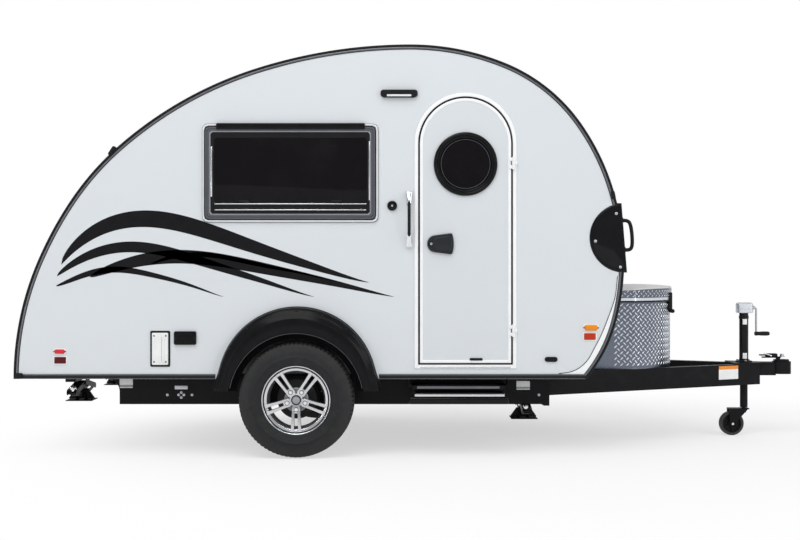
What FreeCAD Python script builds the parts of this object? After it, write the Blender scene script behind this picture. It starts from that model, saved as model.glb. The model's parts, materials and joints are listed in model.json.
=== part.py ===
"""Small teardrop camping trailer, millimetres.

+X points to the coupler, +Z up, and -Y is the side with the entry door. The origin lies on
the ground under the middle of the overall box.
"""
import FreeCAD, Part
import math
import os
import Sketcher
from FreeCAD import Placement, Rotation, Vector

# ---------------------------------------------------------------------------------------
# Driving sizes: alias, value, meaning. Heights are above the ground, "from_rear" places are
# measured forward from the tail of the body, and "out" places outward from the middle plane.
# ---------------------------------------------------------------------------------------
SIZES = (
    ("body_length", 3424, "tail to nose of the body"),
    ("body_height", 1876, "lower edge of the side walls to the crown"),
    ("body_width", 1860, "over the side walls"),
    ("body_bottom", 443, "height of the lower edge of the side walls"),
    ("tongue_length", 1226, "nose of the body to the front of the coupler"),
    ("wall_thickness", 30, "side walls and door leaf"),
    ("shell_thickness", 35, "curved skin from tail over the roof to the nose"),
    ("floor_bottom", 457, "underside of the floor, top of the chassis"),
    ("floor_thickness", 40, "floor sandwich"),
    ("seat_gap", 0.3, "gap between pieces that are glued or clipped together"),
    ("run_gap", 6, "clearance of moving pieces"),
    ("pin_play", 0.06, "radial play of a pin in its bore"),
    # wheels and axle
    ("wheel_from_rear", 1586, "axle line"),
    ("wheel_out", 890, "middle of the tyre"),
    ("tyre_radius", 326, "rolling radius"),
    ("tyre_width", 205, "section width"),
    ("rim_radius", 178, "bead seat"),
    ("rim_lip", 197, "rim flange"),
    ("rim_half_width", 78, "half width at the flanges"),
    ("drum_radius", 127, "brake drum"),
    ("spindle_radius", 20, "stub axle"),
    ("arm_thickness", 16, "torsion arm"),
    ("arm_reach", 150, "torsion arm, axle tube to wheel centre, along X"),
    ("axle_tube", 65, "square axle tube"),
    ("arch_gap", 32, "wheel arch beyond the tyre"),
    ("arch_rise", 46, "arch centre above the axle"),
    ("well_gap", 88, "top of the wheel box above the tyre"),
    ("well_wall", 5, "wheel box skin"),
    ("well_side", 25, "inner face of the wheel box inboard of the tyre"),
    ("well_ends", 10, "wheel box beyond the arch, at each end"),
    ("fender_gap", 16, "fender inner arc beyond the tyre"),
    ("fender_band", 111, "face of the fender between its arcs"),
    ("fender_rise", 72, "outer arc centre above the axle"),
    ("fender_foot", 54, "lower end of the fender above the axle"),
    ("fender_shift", 4.5, "fender middle ahead of the axle"),
    ("fender_depth", 70, "how far the fender stands out of the wall"),
    ("fender_skin", 5, "fender material"),
    # entry door
    ("door_from_rear", 2536, "middle of the door leaf"),
    ("door_width", 522, "leaf"),
    ("door_bottom", 528, "lower edge of the leaf"),
    ("door_drop", 294, "top of the round head of the leaf below the crown"),
    ("door_gap", 5, "leaf to frame"),
    ("frame_liner", 12, "door frame inside the wall opening"),
    ("frame_lip", 11, "how far the lip covers the wall round the opening"),
    ("lip_thickness", 4, "door frame lip on the wall"),
    ("porthole_drop", 375, "centre of the round window below the head of the leaf"),
    ("porthole_ring", 179, "outer radius of its ring"),
    ("porthole_pane", 143, "radius of its pane"),
    ("porthole_hole", 150, "hole in the leaf"),
    ("hinge_out", 14, "door hinge pin, outboard of the frame lip"),
    ("hinge_forward", 8, "door hinge pin, forward of the leaf edge"),
    ("hinge_knuckle", 8, "knuckle radius"),
    ("hinge_pin", 4, "pin radius"),
    ("hinge_length", 30, "one knuckle"),
    ("hinge_low", 187, "lower hinge above the foot of the leaf"),
    ("hinge_high", 370, "upper hinge below the head of the leaf"),
    ("paddle_drop", 508, "handle, lower edge below the centre of the round window"),
    ("paddle_height", 121, "handle"),
    ("paddle_back", 45, "handle, rear end ahead of the edge of the leaf"),
    ("paddle_length", 152, "handle"),
    ("paddle_depth", 26, "handle"),
    # windows
    ("window_from_rear", 1551.5, "middle of the side window"),
    ("window_width", 985, "side window, outer frame"),
    ("window_drop", 445, "top of the side window below the crown"),
    ("window_height", 549, "side window, outer frame"),
    ("window_corner", 45, "corner radius of the outer frame"),
    ("window_border", 52, "width of the frame"),
    ("window_lip", 24, "how far the frame covers the wall round its opening"),
    ("window_proud", 18, "frame outside the wall"),
    ("pane_thickness", 5, "acrylic pane"),
    ("pane_corner", 8, "corner radius of the pane"),
    ("tail_window_width", 1300, "rear window, outer frame"),
    ("tail_window_length", 620, "rear window along the slope"),
    ("tail_window_proud", 22, "rear window frame outside the skin"),
    ("tail_window_drop", 872, "middle of the rear window below the crown"),
    ("nose_window_drop", 58.6, "lower edge of the front window housing below the tip of the nose"),
    ("nose_window_height", 390, "front window housing"),
    ("nose_window_depth", 20, "housing ahead of the nose, at its lower edge"),
    ("nose_window_lean", 31, "housing top edge, behind its lower edge"),
    ("nose_cheek", 12, "half-round cheek outside the side wall"),
    ("nose_pane_width", 1500, "front window opening"),
    ("nose_pane_height", 270, "front window opening"),
    ("vent_from_rear", 2050, "roof vent middle"),
    ("vent_size", 400, "roof vent flange, square"),
    ("vent_opening", 350, "square hole in the roof"),
    ("vent_flange_rise", 34, "flange top above the crown"),
    ("vent_dome", 55, "vent lid"),
    # lamps and handles
    ("porch_drop", 274, "porch light below the crown"),
    ("porch_length", 210, "porch light"),
    ("porch_height", 44, "porch light"),
    ("porch_depth", 26, "porch light"),
    ("porch_back", 112, "middle of the porch light behind the door leaf"),
    ("tail_lamp_out", 690, "round rear lamp"),
    ("tail_lamp_drop", 587, "round rear lamp below the middle of the rear window"),
    ("tail_lamp_radius", 62, "round rear lamp"),
    ("tail_lamp_depth", 14, "round rear lamp"),
    ("handle_back", 56, "entry handle behind the door leaf"),
    ("handle_low", 1195, "entry handle, lower end"),
    ("handle_high", 1483, "entry handle, upper end"),
    ("handle_depth", 46, "entry handle out of the wall"),
    ("handle_radius", 11, "entry handle"),
    ("loop_low", 124, "nose handle, lower end above the housing edge"),
    ("loop_high", 299, "nose handle, upper end above the housing edge"),
    ("loop_depth", 42, "nose handle ahead of the housing"),
    ("loop_radius", 8, "nose handle"),
    ("loop_in", 25, "nose handle inside the outer face of the wall"),
    # chassis
    ("rail_out", 735, "outer face of the frame rails"),
    ("rail_height", 178, "frame rail"),
    ("rail_flange", 50, "frame rail, crossmembers and tongue beams"),
    ("rail_wall", 6, "frame steel"),
    ("rail_rear", 474, "rear end of the rails, from the tail"),
    ("rail_tip", 30, "height of the rails at their rear end"),
    ("rail_scoop", 75, "round cut under the rear end of the rails"),
    ("rail_overlap", 70, "the rails run on past the start of the A-frame"),
    ("tongue_tip_out", 42.5, "outer edge of an A-frame beam at its tip"),
    ("cross_height", 60, "plain crossmembers"),
    ("cross_half", 25, "half width of a plain crossmember"),
    ("cross_rear", 665, "rear plain crossmember, from the tail"),
    ("cross_middle", 2150, "crossmember ahead of the axle, from the tail"),
    ("tongue_height", 130, "A-frame beam"),
    ("tongue_angle", 25, "half angle of the A-frame, degrees"),
    ("coupler_length", 204, "A-frame tip to the front of the coupler"),
    ("ball_radius", 26, "ball socket, for a two inch ball"),
    ("ball_back", 52, "ball centre behind the front of the coupler"),
    ("socket_depth", 40, "ball socket"),
    # tongue jack
    ("jack_back", 295, "jack axis behind the front of the coupler"),
    ("jack_tube", 28.5, "outer tube radius"),
    ("jack_bore", 24.06, "outer tube bore radius"),
    ("jack_leg_radius", 24, "inner tube"),
    ("jack_cap", 32, "closed top of the outer tube, with the free height over the raised leg"),
    ("jack_bottom", 327, "lower end of the outer tube"),
    ("jack_top", 782, "upper end of the outer tube"),
    ("jack_leg_bottom", 178, "lower end of the inner tube"),
    ("jack_raise", 145, "leg stroke up from the parked height"),
    ("caster_radius", 76, "caster wheel"),
    ("caster_width", 44, "caster wheel"),
    ("caster_trail", 80, "caster axle behind the jack axis"),
    ("caster_axle", 8, "caster axle radius"),
    ("kingpin_radius", 10, "caster swivel pin"),
    ("fork_plate", 6, "caster fork steel"),
    # gas bottle tub
    ("tub_back", 20, "rear edge of the tub rim, ahead of the nose"),
    ("tub_length", 429, "rim, rear edge to the front of the bow"),
    ("tub_half_width", 450, "tub"),
    ("tub_straight", 131, "straight part of its sides at the rim"),
    ("tub_slope", 170, "how much further back the rear wall is at the bottom"),
    ("tub_clear", 18, "least gap of the tub to the nose"),
    ("tub_drop", 161, "upper edge of the tub below the front window housing"),
    ("tub_wall", 4, "tread plate"),
    ("lid_overlap", 14, "lower edge of the lid rim below the upper edge of the tub"),
    ("lid_shoulder", 35, "upper edge of the lid rim above the upper edge of the tub"),
    ("lid_crown", 45, "rise of the lid in its middle"),
    ("lid_gap", 6, "lid rim to tub"),
    ("lid_hinge_rise", 58, "hinge pin above the upper edge of the tub"),
    ("lid_hinge_back", 8, "hinge pin behind the lid"),
    ("bottle_ahead", 185, "bottle axis ahead of the rear edge of the tub"),
    ("bottle_radius", 150, "gas bottle"),
    ("bottle_height", 400, "gas bottle with its collar"),
    # folding step
    ("step_back", 37, "middle of the step behind the middle of the door"),
    ("step_width", 562, "over its side cheeks"),
    ("step_pivot_out", 890, "first pivot"),
    ("step_pivot_height", 404, "first pivot"),
    ("step_link", 130, "link length"),
    ("step_fold_angle", 5, "link below the level when folded, degrees"),
    ("step_plate", 5, "step steel"),
    ("step_tread_depth", 173, "tread"),
    ("step_tread_height", 21, "tread"),
    ("step_pin", 5, "step pin radius"),
    # stabilizers
    ("stab_out", 480, "middle of a stabilizer"),
    ("stab_rear", 266, "rear pair, from the tail"),
    ("stab_front_back", 126, "front pair behind the front end of the rails"),
    ("stab_rear_mount", 407, "mounting plane of the rear pair"),
    ("stab_front_mount", 300, "mounting plane of the front pair"),
    ("stab_arm", 200, "arm length"),
    ("stab_rise", 36, "height of a folded arm"),
    ("stab_pitch", 25, "pivot to the middle"),
    ("stab_drop", 28, "pivot below the mounting plane"),
    ("stab_pin", 6, "pin radius"),
    ("stab_plate", 3, "arm steel"),
    ("stab_inner", 17, "inside of the lower arm cheeks"),
    ("stab_foot_drop", 30, "foot sole below its pivots"),
    ("stab_foot_width", 156, "foot sole along the trailer"),
    ("stab_foot_length", 150, "foot sole across the trailer"),
    # interior
    ("bench_height", 300, "bench top above the floor"),
    ("bench_depth", 430, "bench"),
    ("bench_length", 1500, "side benches"),
    ("bench_rear", 130, "benches ahead of the tail"),
    ("bench_cross", 420, "bench across the tail, along the trailer"),
    ("cushion_thickness", 110, "seat cushion"),
    ("ply_thickness", 18, "cabinet board"),
    ("galley_depth", 330, "galley cabinet"),
    ("galley_height", 520, "galley cabinet"),
    ("galley_start", 420, "right end of the galley from the right wall"),
    ("galley_back", 17, "galley carcass behind the foot of the nose"),
)

DOC = FreeCAD.newDocument("teardrop_trailer")
SHEET = DOC.addObject("Spreadsheet::Sheet", "sizes")
NODES = {}


class Size:
    """A number together with the spreadsheet formula that gives it."""

    def __init__(self, value, formula):
        self.value = float(value)
        self.formula = formula

    def __add__(self, other):
        other = size_of(other)
        return Size(self.value + other.value, "(%s + %s)" % (self.formula, other.formula))

    def __sub__(self, other):
        other = size_of(other)
        return Size(self.value - other.value, "(%s - %s)" % (self.formula, other.formula))

    def __mul__(self, other):
        other = size_of(other)
        return Size(self.value * other.value, "(%s * %s)" % (self.formula, other.formula))

    def __truediv__(self, other):
        other = size_of(other)
        return Size(self.value / other.value, "(%s / %s)" % (self.formula, other.formula))

    def __neg__(self):
        return Size(-self.value, "(0 - %s)" % self.formula)

    def __radd__(self, other):
        return size_of(other) + self

    def __rsub__(self, other):
        return size_of(other) - self

    def __rmul__(self, other):
        return size_of(other) * self


def size_of(number):
    """Any number as a Size."""
    return number if isinstance(number, Size) else Size(number, "(%s)" % repr(float(number)))


def cosine(angle):
    """Cosine of a Size in degrees."""
    return Size(math.cos(math.radians(angle.value)), "cos(%s)" % angle.formula)


def sine(angle):
    """Sine of a Size in degrees."""
    return Size(math.sin(math.radians(angle.value)), "sin(%s)" % angle.formula)


def root(number):
    """Square root of a Size."""
    return Size(math.sqrt(number.value), "sqrt(%s)" % number.formula)


class Sheet:
    """Writes the driving sizes into the spreadsheet and hands them out by name."""

    def __init__(self, rows):
        for line, (alias, value, meaning) in enumerate(rows, start=1):
            SHEET.set("A%d" % line, meaning)
            SHEET.set("B%d" % line, str(value))
            SHEET.setAlias("B%d" % line, alias)
            setattr(self, alias, Size(value, "sizes." + alias))
        DOC.recompute()


S = Sheet(SIZES)

REAR_X = -(S.body_length + S.tongue_length) / 2
NOSE_X = REAR_X + S.body_length
FRONT_X = NOSE_X + S.tongue_length
HALF_BODY = S.body_width / 2
HALF_CABIN = HALF_BODY - S.wall_thickness
FLOOR_TOP = S.floor_bottom + S.floor_thickness
CROWN_Z = S.body_bottom + S.body_height


# ---------------------------------------------------------------------------------------
# Building blocks
# ---------------------------------------------------------------------------------------
def bind(thing, **formulas):
    """Bind properties of a document object to sizes."""
    for name, size in formulas.items():
        thing.setExpression(name, size_of(size).formula)


def place(thing, x=0, y=0, z=0):
    """Bind the position of an object."""
    for axis, size in zip("xyz", (x, y, z)):
        thing.setExpression("Placement.Base." + axis, size_of(size).formula)
    return thing


def turn(thing, axis, angle):
    """Turn an object about an axis by a Size in degrees."""
    thing.Placement = Placement(Vector(), Rotation(Vector(*axis), size_of(angle).value))
    if isinstance(angle, Size):
        thing.setExpression("Placement.Rotation.Angle", angle.formula)
    return thing


def node(name, thing):
    """Name a finished sub-part."""
    thing.Label = name
    NODES[name] = thing
    return thing


def box(name, low, high):
    """A block between two corners."""
    thing = DOC.addObject("Part::Box", name)
    low, high = [size_of(c) for c in low], [size_of(c) for c in high]
    bind(thing, Length=high[0] - low[0], Width=high[1] - low[1], Height=high[2] - low[2])
    return place(thing, *low)


AXIS_TURN = {"z": ((0, 0, 1), 0), "x": ((0, 1, 0), 90), "y": ((1, 0, 0), -90)}


def rod(name, start, axis, radius, length):
    """A cylinder from a point along +X, +Y or +Z."""
    thing = DOC.addObject("Part::Cylinder", name)
    bind(thing, Radius=radius, Height=length)
    direction, angle = AXIS_TURN[axis]
    turn(thing, direction, angle)
    return place(thing, *start)


def ball(name, centre, radius):
    """A sphere."""
    thing = DOC.addObject("Part::Sphere", name)
    bind(thing, Radius=radius)
    return place(thing, *centre)


def cut(name, base, *tools):
    """Base with the tools taken out."""
    tool = tools[0] if len(tools) == 1 else join(name + "_tools", *tools)
    thing = DOC.addObject("Part::Cut", name)
    thing.Base = base
    thing.Tool = tool
    return thing


def join(name, *pieces):
    """Touching pieces made one solid."""
    thing = DOC.addObject("Part::MultiFuse", name)
    thing.Shapes = list(pieces)
    return thing


def common(name, *pieces):
    """What pieces share."""
    thing = DOC.addObject("Part::MultiCommon", name)
    thing.Shapes = list(pieces)
    return thing


def group(name, *pieces):
    """Separate pieces of one node."""
    thing = DOC.addObject("Part::Compound", name)
    thing.Links = list(pieces)
    return thing


def mirror(name, source):
    """The same piece on the other side of the trailer."""
    thing = DOC.addObject("Part::Mirroring", name)
    thing.Source = source
    thing.Base = Vector()
    thing.Normal = Vector(0, 1, 0)
    return thing


def origin_plane(body, role):
    """One of a body's own origin planes."""
    return [plane for plane in body.Origin.OriginFeatures if plane.Role == role][0]


def draw(sketch, outline):
    """Draw a closed outline: rows of x, y and, where the edge that starts there is an arc,
    its radius, positive where it bulges to the right of the way along the outline."""
    rows = [tuple(size_of(c) for c in row) for row in outline]
    first = sketch.GeometryCount
    count = len(rows)
    for index, row in enumerate(rows):
        start = Vector(row[0].value, row[1].value, 0)
        after = rows[(index + 1) % count]
        end = Vector(after[0].value, after[1].value, 0)
        if len(row) == 2:
            sketch.addGeometry(Part.LineSegment(start, end), False)
            continue
        chord = end - start
        radius = abs(row[2].value)
        rise = radius - math.sqrt(max(radius ** 2 - (chord.Length / 2) ** 2, 0))
        right = Vector(chord.y, -chord.x, 0) / chord.Length
        top = (start + end) / 2 + right * math.copysign(rise, row[2].value)
        sketch.addGeometry(Part.Arc(start, top, end), False)
    for index, row in enumerate(rows):
        edge, after = first + index, first + (index + 1) % count
        ends = arc_ends(sketch, edge, row)
        starts = arc_ends(sketch, after, rows[(index + 1) % count])
        sketch.addConstraint(Sketcher.Constraint("Coincident", edge, ends[1], after, starts[0]))
        fix_point(sketch, edge, ends[0], row)
        if len(row) == 3:
            radius = Size(abs(row[2].value), "abs(%s)" % row[2].formula)
            number = sketch.addConstraint(Sketcher.Constraint("Radius", edge, radius.value))
            sketch.setExpression("Constraints[%d]" % number, radius.formula)


def arc_ends(sketch, edge, row):
    """Sketch point numbers at the start and the end of an edge: a sketch keeps every arc
    anticlockwise, so one that runs clockwise starts at its point 2."""
    start = Vector(row[0].value, row[1].value, 0)
    first, second = sketch.getPoint(edge, 1), sketch.getPoint(edge, 2)
    return (1, 2) if start.distanceToPoint(first) < start.distanceToPoint(second) else (2, 1)


def fix_point(sketch, edge, point, row):
    """Dimension a point from the sketch origin."""
    for kind, size in (("DistanceX", row[0]), ("DistanceY", row[1])):
        number = sketch.addConstraint(Sketcher.Constraint(kind, -1, 1, edge, point, size.value))
        sketch.setExpression("Constraints[%d]" % number, size.formula)


def hole(sketch, x, y, radius):
    """Draw a dimensioned circle."""
    x, y, radius = size_of(x), size_of(y), size_of(radius)
    edge = sketch.addGeometry(Part.Circle(Vector(x.value, y.value, 0), Vector(0, 0, 1), radius.value))
    fix_point(sketch, edge, 3, (x, y))
    number = sketch.addConstraint(Sketcher.Constraint("Radius", edge, radius.value))
    sketch.setExpression("Constraints[%d]" % number, radius.formula)


def sketched(name, plane, outline, holes=(), windows=()):
    """A body with one sketch on one of its origin planes."""
    body = DOC.addObject("PartDesign::Body", name)
    sketch = body.newObject("Sketcher::SketchObject", name + "_sketch")
    sketch.AttachmentSupport = [(origin_plane(body, plane + "_Plane"), "")]
    sketch.MapMode = "FlatFace"
    draw(sketch, outline)
    for window in windows:
        draw(sketch, window)
    for x, y, radius in holes:
        hole(sketch, x, y, radius)
    return body, sketch


def prism(name, plane, outline, depth, holes=(), windows=()):
    """A sketched outline padded along +Z (XY), +X (YZ) or -Y (XZ)."""
    body, sketch = sketched(name, plane, outline, holes, windows)
    pad = body.newObject("PartDesign::Pad", name + "_pad")
    pad.Profile = sketch
    bind(pad, Length=depth)
    return body


def turned(name, outline):
    """A sketched outline of radius and place along Y, turned about the Y axis."""
    body, sketch = sketched(name, "XY", outline)
    revolution = body.newObject("PartDesign::Revolution", name + "_turning")
    revolution.Profile = sketch
    revolution.ReferenceAxis = (sketch, ["V_Axis"])
    revolution.Angle = 360
    return body


def rectangle(low, high):
    """Outline of a rectangle."""
    return ((low[0], low[1]), (high[0], low[1]), (high[0], high[1]), (low[0], high[1]))


def rounded(low, high, radius):
    """Outline of a rectangle with round corners."""
    return (
        (low[0] + radius, low[1]), (high[0] - radius, low[1], radius),
        (high[0], low[1] + radius), (high[0], high[1] - radius, radius),
        (high[0] - radius, high[1]), (low[0] + radius, high[1], radius),
        (low[0], high[1] - radius), (low[0], low[1] + radius, radius),
    )


def arched(low, high):
    """Outline of a door leaf: straight sides and a half-round head."""
    radius = (high[0] - low[0]) / 2
    spring = high[1] - radius
    return (
        (low[0], low[1]), (high[0], low[1]), (high[0], spring, radius),
        (low[0] + radius, high[1], radius), (low[0], spring),
    )


def slot(start, end_x, end_y, half_width):
    """Outline of a bar with round ends between two points, the second given as an offset."""
    length = root(end_x * end_x + end_y * end_y)
    along_x, along_y = end_x / length * half_width, end_y / length * half_width
    x0, y0 = start
    x1, y1 = x0 + end_x, y0 + end_y
    return (
        (x0 + along_y, y0 - along_x), (x1 + along_y, y1 - along_x, half_width),
        (x1 + along_x, y1 + along_y, half_width), (x1 - along_y, y1 + along_x),
        (x0 - along_y, y0 + along_x, half_width), (x0 - along_x, y0 - along_y, half_width),
    )


def tube(name, points, radius, bend):
    """A round bar along straight runs with tangent bends."""
    corners = [Vector(*[size_of(c).value for c in point]) for point in points]
    edges, here = [], corners[0]
    for before, corner, after in zip(corners, corners[1:], corners[2:]):
        back, ahead = (before - corner).normalize(), (after - corner).normalize()
        half = back.getAngle(ahead) / 2
        reach = bend / math.tan(half)
        centre = corner + (back + ahead).normalize() * (bend / math.sin(half))
        middle = centre + (corner - centre).normalize() * bend
        edges.append(Part.makeLine(here, corner + back * reach))
        edges.append(Part.Arc(corner + back * reach, middle, corner + ahead * reach).toShape())
        here = corner + ahead * reach
    edges.append(Part.makeLine(here, corners[-1]))
    start = Part.makeCircle(radius, corners[0], corners[1] - corners[0])
    thing = DOC.addObject("Part::Feature", name)
    path = Part.Wire(edges)
    thing.Shape = path.makePipeShell([Part.Wire([start])], True, False)
    return thing


# ---------------------------------------------------------------------------------------
# Body outline: a chain of tangent arcs through a few points
# ---------------------------------------------------------------------------------------
PROFILE = (
    # point, share of the body length, share of the body height, heading in a unit box
    ("tail", 0.0, 0.0, 90.0),
    ("tail_waist", 0.0364, 0.3383, 77.3),
    ("tail_shoulder", 0.1728, 0.6977, 57.9),
    ("crown", 0.6504, 1.0, 0.0),
    ("nose_shoulder", 0.9276, 0.7694, -68.5),
    ("nose_tip", 1.0, 0.35, -90.0),
    ("nose_foot", 0.9378, 0.0, -115.0),
)


NOSE_TIP_Z = S.body_bottom + S.body_height * PROFILE[-2][2]
NOSE_FOOT_X = REAR_X + S.body_length * PROFILE[-1][1]


def arc_from(start, heading, end):
    """Centre of the arc that leaves a point along a heading and reaches another point."""
    chord = end - start
    normal = Vector(-heading.z, 0, heading.x)
    return start + normal * (chord.dot(chord) / (2 * normal.dot(chord)))


def profile_arcs():
    """Start, middle and end of each arc with its centre, from the tail to the nose foot."""
    length, height = S.body_length.value, S.body_height.value
    points, headings = [], []
    for _, along, up, heading in PROFILE:
        points.append(Vector(REAR_X.value + along * length, 0, S.body_bottom.value + up * height))
        angle = math.radians(heading)
        headings.append(Vector(length * math.cos(angle), 0, height * math.sin(angle)).normalize())
    arcs = []
    for start, way, end, end_way in zip(points, headings, points[1:], headings[1:]):
        chord, both = end - start, way + end_way
        a, b, c = 2 * (1 - way.dot(end_way)), 2 * chord.dot(both), -chord.dot(chord)
        reach = (-b + math.sqrt(b * b - 4 * a * c)) / (2 * a)
        knot = (start + way * reach + end - end_way * reach) / 2
        arcs.append((start, knot, arc_from(start, way, knot)))
        arcs.append((knot, end, arc_from(end, end_way, knot)))
    return arcs


def outline_face(inset, low):
    """The body outline as a face, moved inward, closed by a level line at a height."""
    edges = []
    for start, end, centre in profile_arcs():
        share = 1 - inset / (start - centre).Length
        start, end = centre + (start - centre) * share, centre + (end - centre) * share
        middle = centre + ((start + end) / 2 - centre).normalize() * (start - centre).Length
        edges.append(Part.Arc(start, middle, end).toShape())
    tail, foot = edges[0].Vertexes[0].Point, edges[-1].Vertexes[1].Point
    tail_low = Vector(tail.x, 0, low)
    if abs(foot.z - low) < 1e-6:
        foot_low = foot
    else:
        last = edges[-1]
        foot_way = last.tangentAt(last.LastParameter)
        foot_low = foot + foot_way * ((low - foot.z) / foot_way.z)
        edges.append(Part.makeLine(foot, foot_low))
    edges.append(Part.makeLine(foot_low, tail_low))
    if abs(tail.z - low) > 1e-6:
        edges.append(Part.makeLine(tail_low, tail))
    return Part.Face(Part.Wire(edges))


def tail_skin(height):
    """Point of the rear slope at a height, and the slope of the skin there in degrees."""
    for start, end, centre in profile_arcs():
        if start.z <= height <= end.z:
            rise, radius = height - centre.z, (start - centre).Length
            run = math.sqrt(radius * radius - rise * rise)
            return Vector(centre.x - run, 0, height), math.degrees(math.atan2(run, rise))
    raise ValueError("no skin at %s" % height)


def outline_slab(name, inset, low, half_width):
    """The body outline as a slab on both sides of the middle plane."""
    thing = DOC.addObject("Part::Feature", name)
    face = outline_face(inset, low)
    face.translate(Vector(0, -half_width, 0))
    thing.Shape = face.extrude(Vector(0, 2 * half_width, 0))
    return thing


def ring_between(name, outer_inset, inner_inset, half_width):
    """A curved skin between two copies of the body outline."""
    low = S.body_bottom.value - 200
    outer = outline_slab(name + "_outer", outer_inset, low, half_width)
    inner = outline_slab(name + "_inner", inner_inset, low - 1, half_width + 1)
    return cut(name, outer, inner)


# ---------------------------------------------------------------------------------------
# Places that several pieces share
# ---------------------------------------------------------------------------------------
WHEEL_X = REAR_X + S.wheel_from_rear
DOOR_X = REAR_X + S.door_from_rear
DOOR_LOW = (DOOR_X - S.door_width / 2, S.door_bottom)
DOOR_HIGH = (DOOR_X + S.door_width / 2, CROWN_Z - S.door_drop)
PORTHOLE_Z = DOOR_HIGH[1] - S.porthole_drop
LIP_OUT = HALF_BODY + S.lip_thickness
LEAF_IN = LIP_OUT - S.wall_thickness
HINGE_X = DOOR_HIGH[0] + S.hinge_forward
HINGE_OUT = LIP_OUT + S.hinge_out
HINGE_HEIGHTS = (S.door_bottom + S.hinge_low, DOOR_HIGH[1] - S.hinge_high)
WINDOW_X = REAR_X + S.window_from_rear
WINDOW_LOW = (WINDOW_X - S.window_width / 2, CROWN_Z - S.window_drop - S.window_height)
WINDOW_HIGH = (WINDOW_X + S.window_width / 2, CROWN_Z - S.window_drop)
NOSE_WINDOW_LOW = NOSE_TIP_Z - S.nose_window_drop
TUB_TOP = NOSE_WINDOW_LOW - S.tub_drop
LID_LOW = TUB_TOP - S.lid_overlap
LID_SHOULDER = TUB_TOP + S.lid_shoulder
ARCH_RADIUS = S.tyre_radius + S.arch_gap
WELL_IN = S.wheel_out - S.tyre_width / 2 - S.well_side
WELL_TOP = S.tyre_radius * 2 + S.well_gap
JACK_X = FRONT_X - S.jack_back
CASTER_X = JACK_X - S.caster_trail
TIP_X = FRONT_X - S.coupler_length
TONGUE_START_X = TIP_X - (S.rail_out - S.tongue_tip_out) * cosine(S.tongue_angle) / sine(S.tongue_angle)
RAIL_FRONT_X = TONGUE_START_X + S.rail_overlap
RAIL_REAR_X = REAR_X + S.rail_rear
RAIL_BOTTOM = S.floor_bottom - S.rail_height
STABILIZERS = (
    # name, place along the trailer, mounting plane
    ("rear", REAR_X + S.stab_rear, S.stab_rear_mount),
    ("front", RAIL_FRONT_X - S.stab_front_back, S.stab_front_mount),
)


def grown(low, high, margin):
    """A rectangle's corners moved outward."""
    return (low[0] - margin, low[1] - margin), (high[0] + margin, high[1] + margin)


def spread(name, outline, out_from, out_to, holes=(), windows=()):
    """A plate on the door side, between two distances from the middle plane."""
    body = prism(name, "XZ", outline, out_to - out_from, holes, windows)
    return place(body, 0, -out_from, 0)


# ---------------------------------------------------------------------------------------
# Cabin
# ---------------------------------------------------------------------------------------
def side_walls():
    """Sandwich walls with the wheel arch, the window and, on the right, the door cut out."""
    window = grown(WINDOW_LOW, WINDOW_HIGH, -S.window_lip)
    door = grown(DOOR_LOW, DOOR_HIGH, S.door_gap + S.frame_liner + S.seat_gap)
    radius = S.window_corner - S.window_lip
    arch_z = S.tyre_radius + S.arch_rise
    for side, tools in (("right", True), ("left", False)):
        wall = DOC.addObject("Part::Feature", side + "_wall_blank")
        face = outline_face(0, S.body_bottom.value)
        start = -HALF_BODY.value if side == "right" else HALF_CABIN.value
        face.translate(Vector(0, start, 0))
        wall.Shape = face.extrude(Vector(0, S.wall_thickness.value, 0))
        reach = HALF_BODY * 2 + 2
        openings = [
            spread(side + "_window_cut", rounded(*window, radius), -HALF_BODY - 1, HALF_BODY + 1),
            rod(side + "_arch_cut", (WHEEL_X, -HALF_BODY - 1, arch_z), "y", ARCH_RADIUS, reach),
        ]
        if tools:
            openings.append(spread("door_cut", arched(*door), 0, HALF_BODY + 1))
        node("side_wall_" + side, cut(side + "_wall_cut", wall, *openings))


def tail_block(name, length, width, thickness):
    """A block across the rear slope, centred on the rear window."""
    thing = DOC.addObject("Part::Box", name)
    bind(thing, Length=length, Width=width, Height=thickness)
    middle, pitch = tail_skin((CROWN_Z - S.tail_window_drop).value)
    angle = math.radians(pitch)
    along, up = Vector(math.cos(angle), 0, math.sin(angle)), Vector(-math.sin(angle), 0, math.cos(angle))
    corner = middle - along * (size_of(length).value / 2) - up * (size_of(thickness).value / 2)
    corner.y = -size_of(width).value / 2
    thing.Placement = Placement(corner, Rotation(Vector(0, 1, 0), -pitch))
    return thing


def roof_shell():
    """The skin from the tail over the roof to the nose, between the side walls."""
    skin = ring_between("shell_blank", 0, S.shell_thickness.value, HALF_CABIN.value)
    far = S.body_length
    below = box("shell_below", (REAR_X - far, -HALF_BODY, 0), (NOSE_X + far, HALF_BODY, S.floor_bottom))
    tail = tail_block(
        "tail_window_cut", S.tail_window_length - S.window_lip * 2,
        S.tail_window_width - S.window_lip * 2, 300,
    )
    pane_low = NOSE_WINDOW_LOW + (S.nose_window_height - S.nose_pane_height) / 2
    nose = box(
        "nose_window_cut",
        (NOSE_X - 400, -S.nose_pane_width / 2, pane_low),
        (NOSE_X + 400, S.nose_pane_width / 2, pane_low + S.nose_pane_height),
    )
    vent_x, half = REAR_X + S.vent_from_rear, S.vent_opening / 2
    vent = box("vent_cut", (vent_x - half, -half, CROWN_Z - 200), (vent_x + half, half, CROWN_Z + 200))
    node("roof_shell", cut("shell_cut", skin, below, tail, nose, vent))


def cabin_core(name):
    """The room inside the skin."""
    inset = (S.shell_thickness + S.seat_gap).value
    return outline_slab(name, inset, S.body_bottom.value - 200, HALF_CABIN.value)


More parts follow.
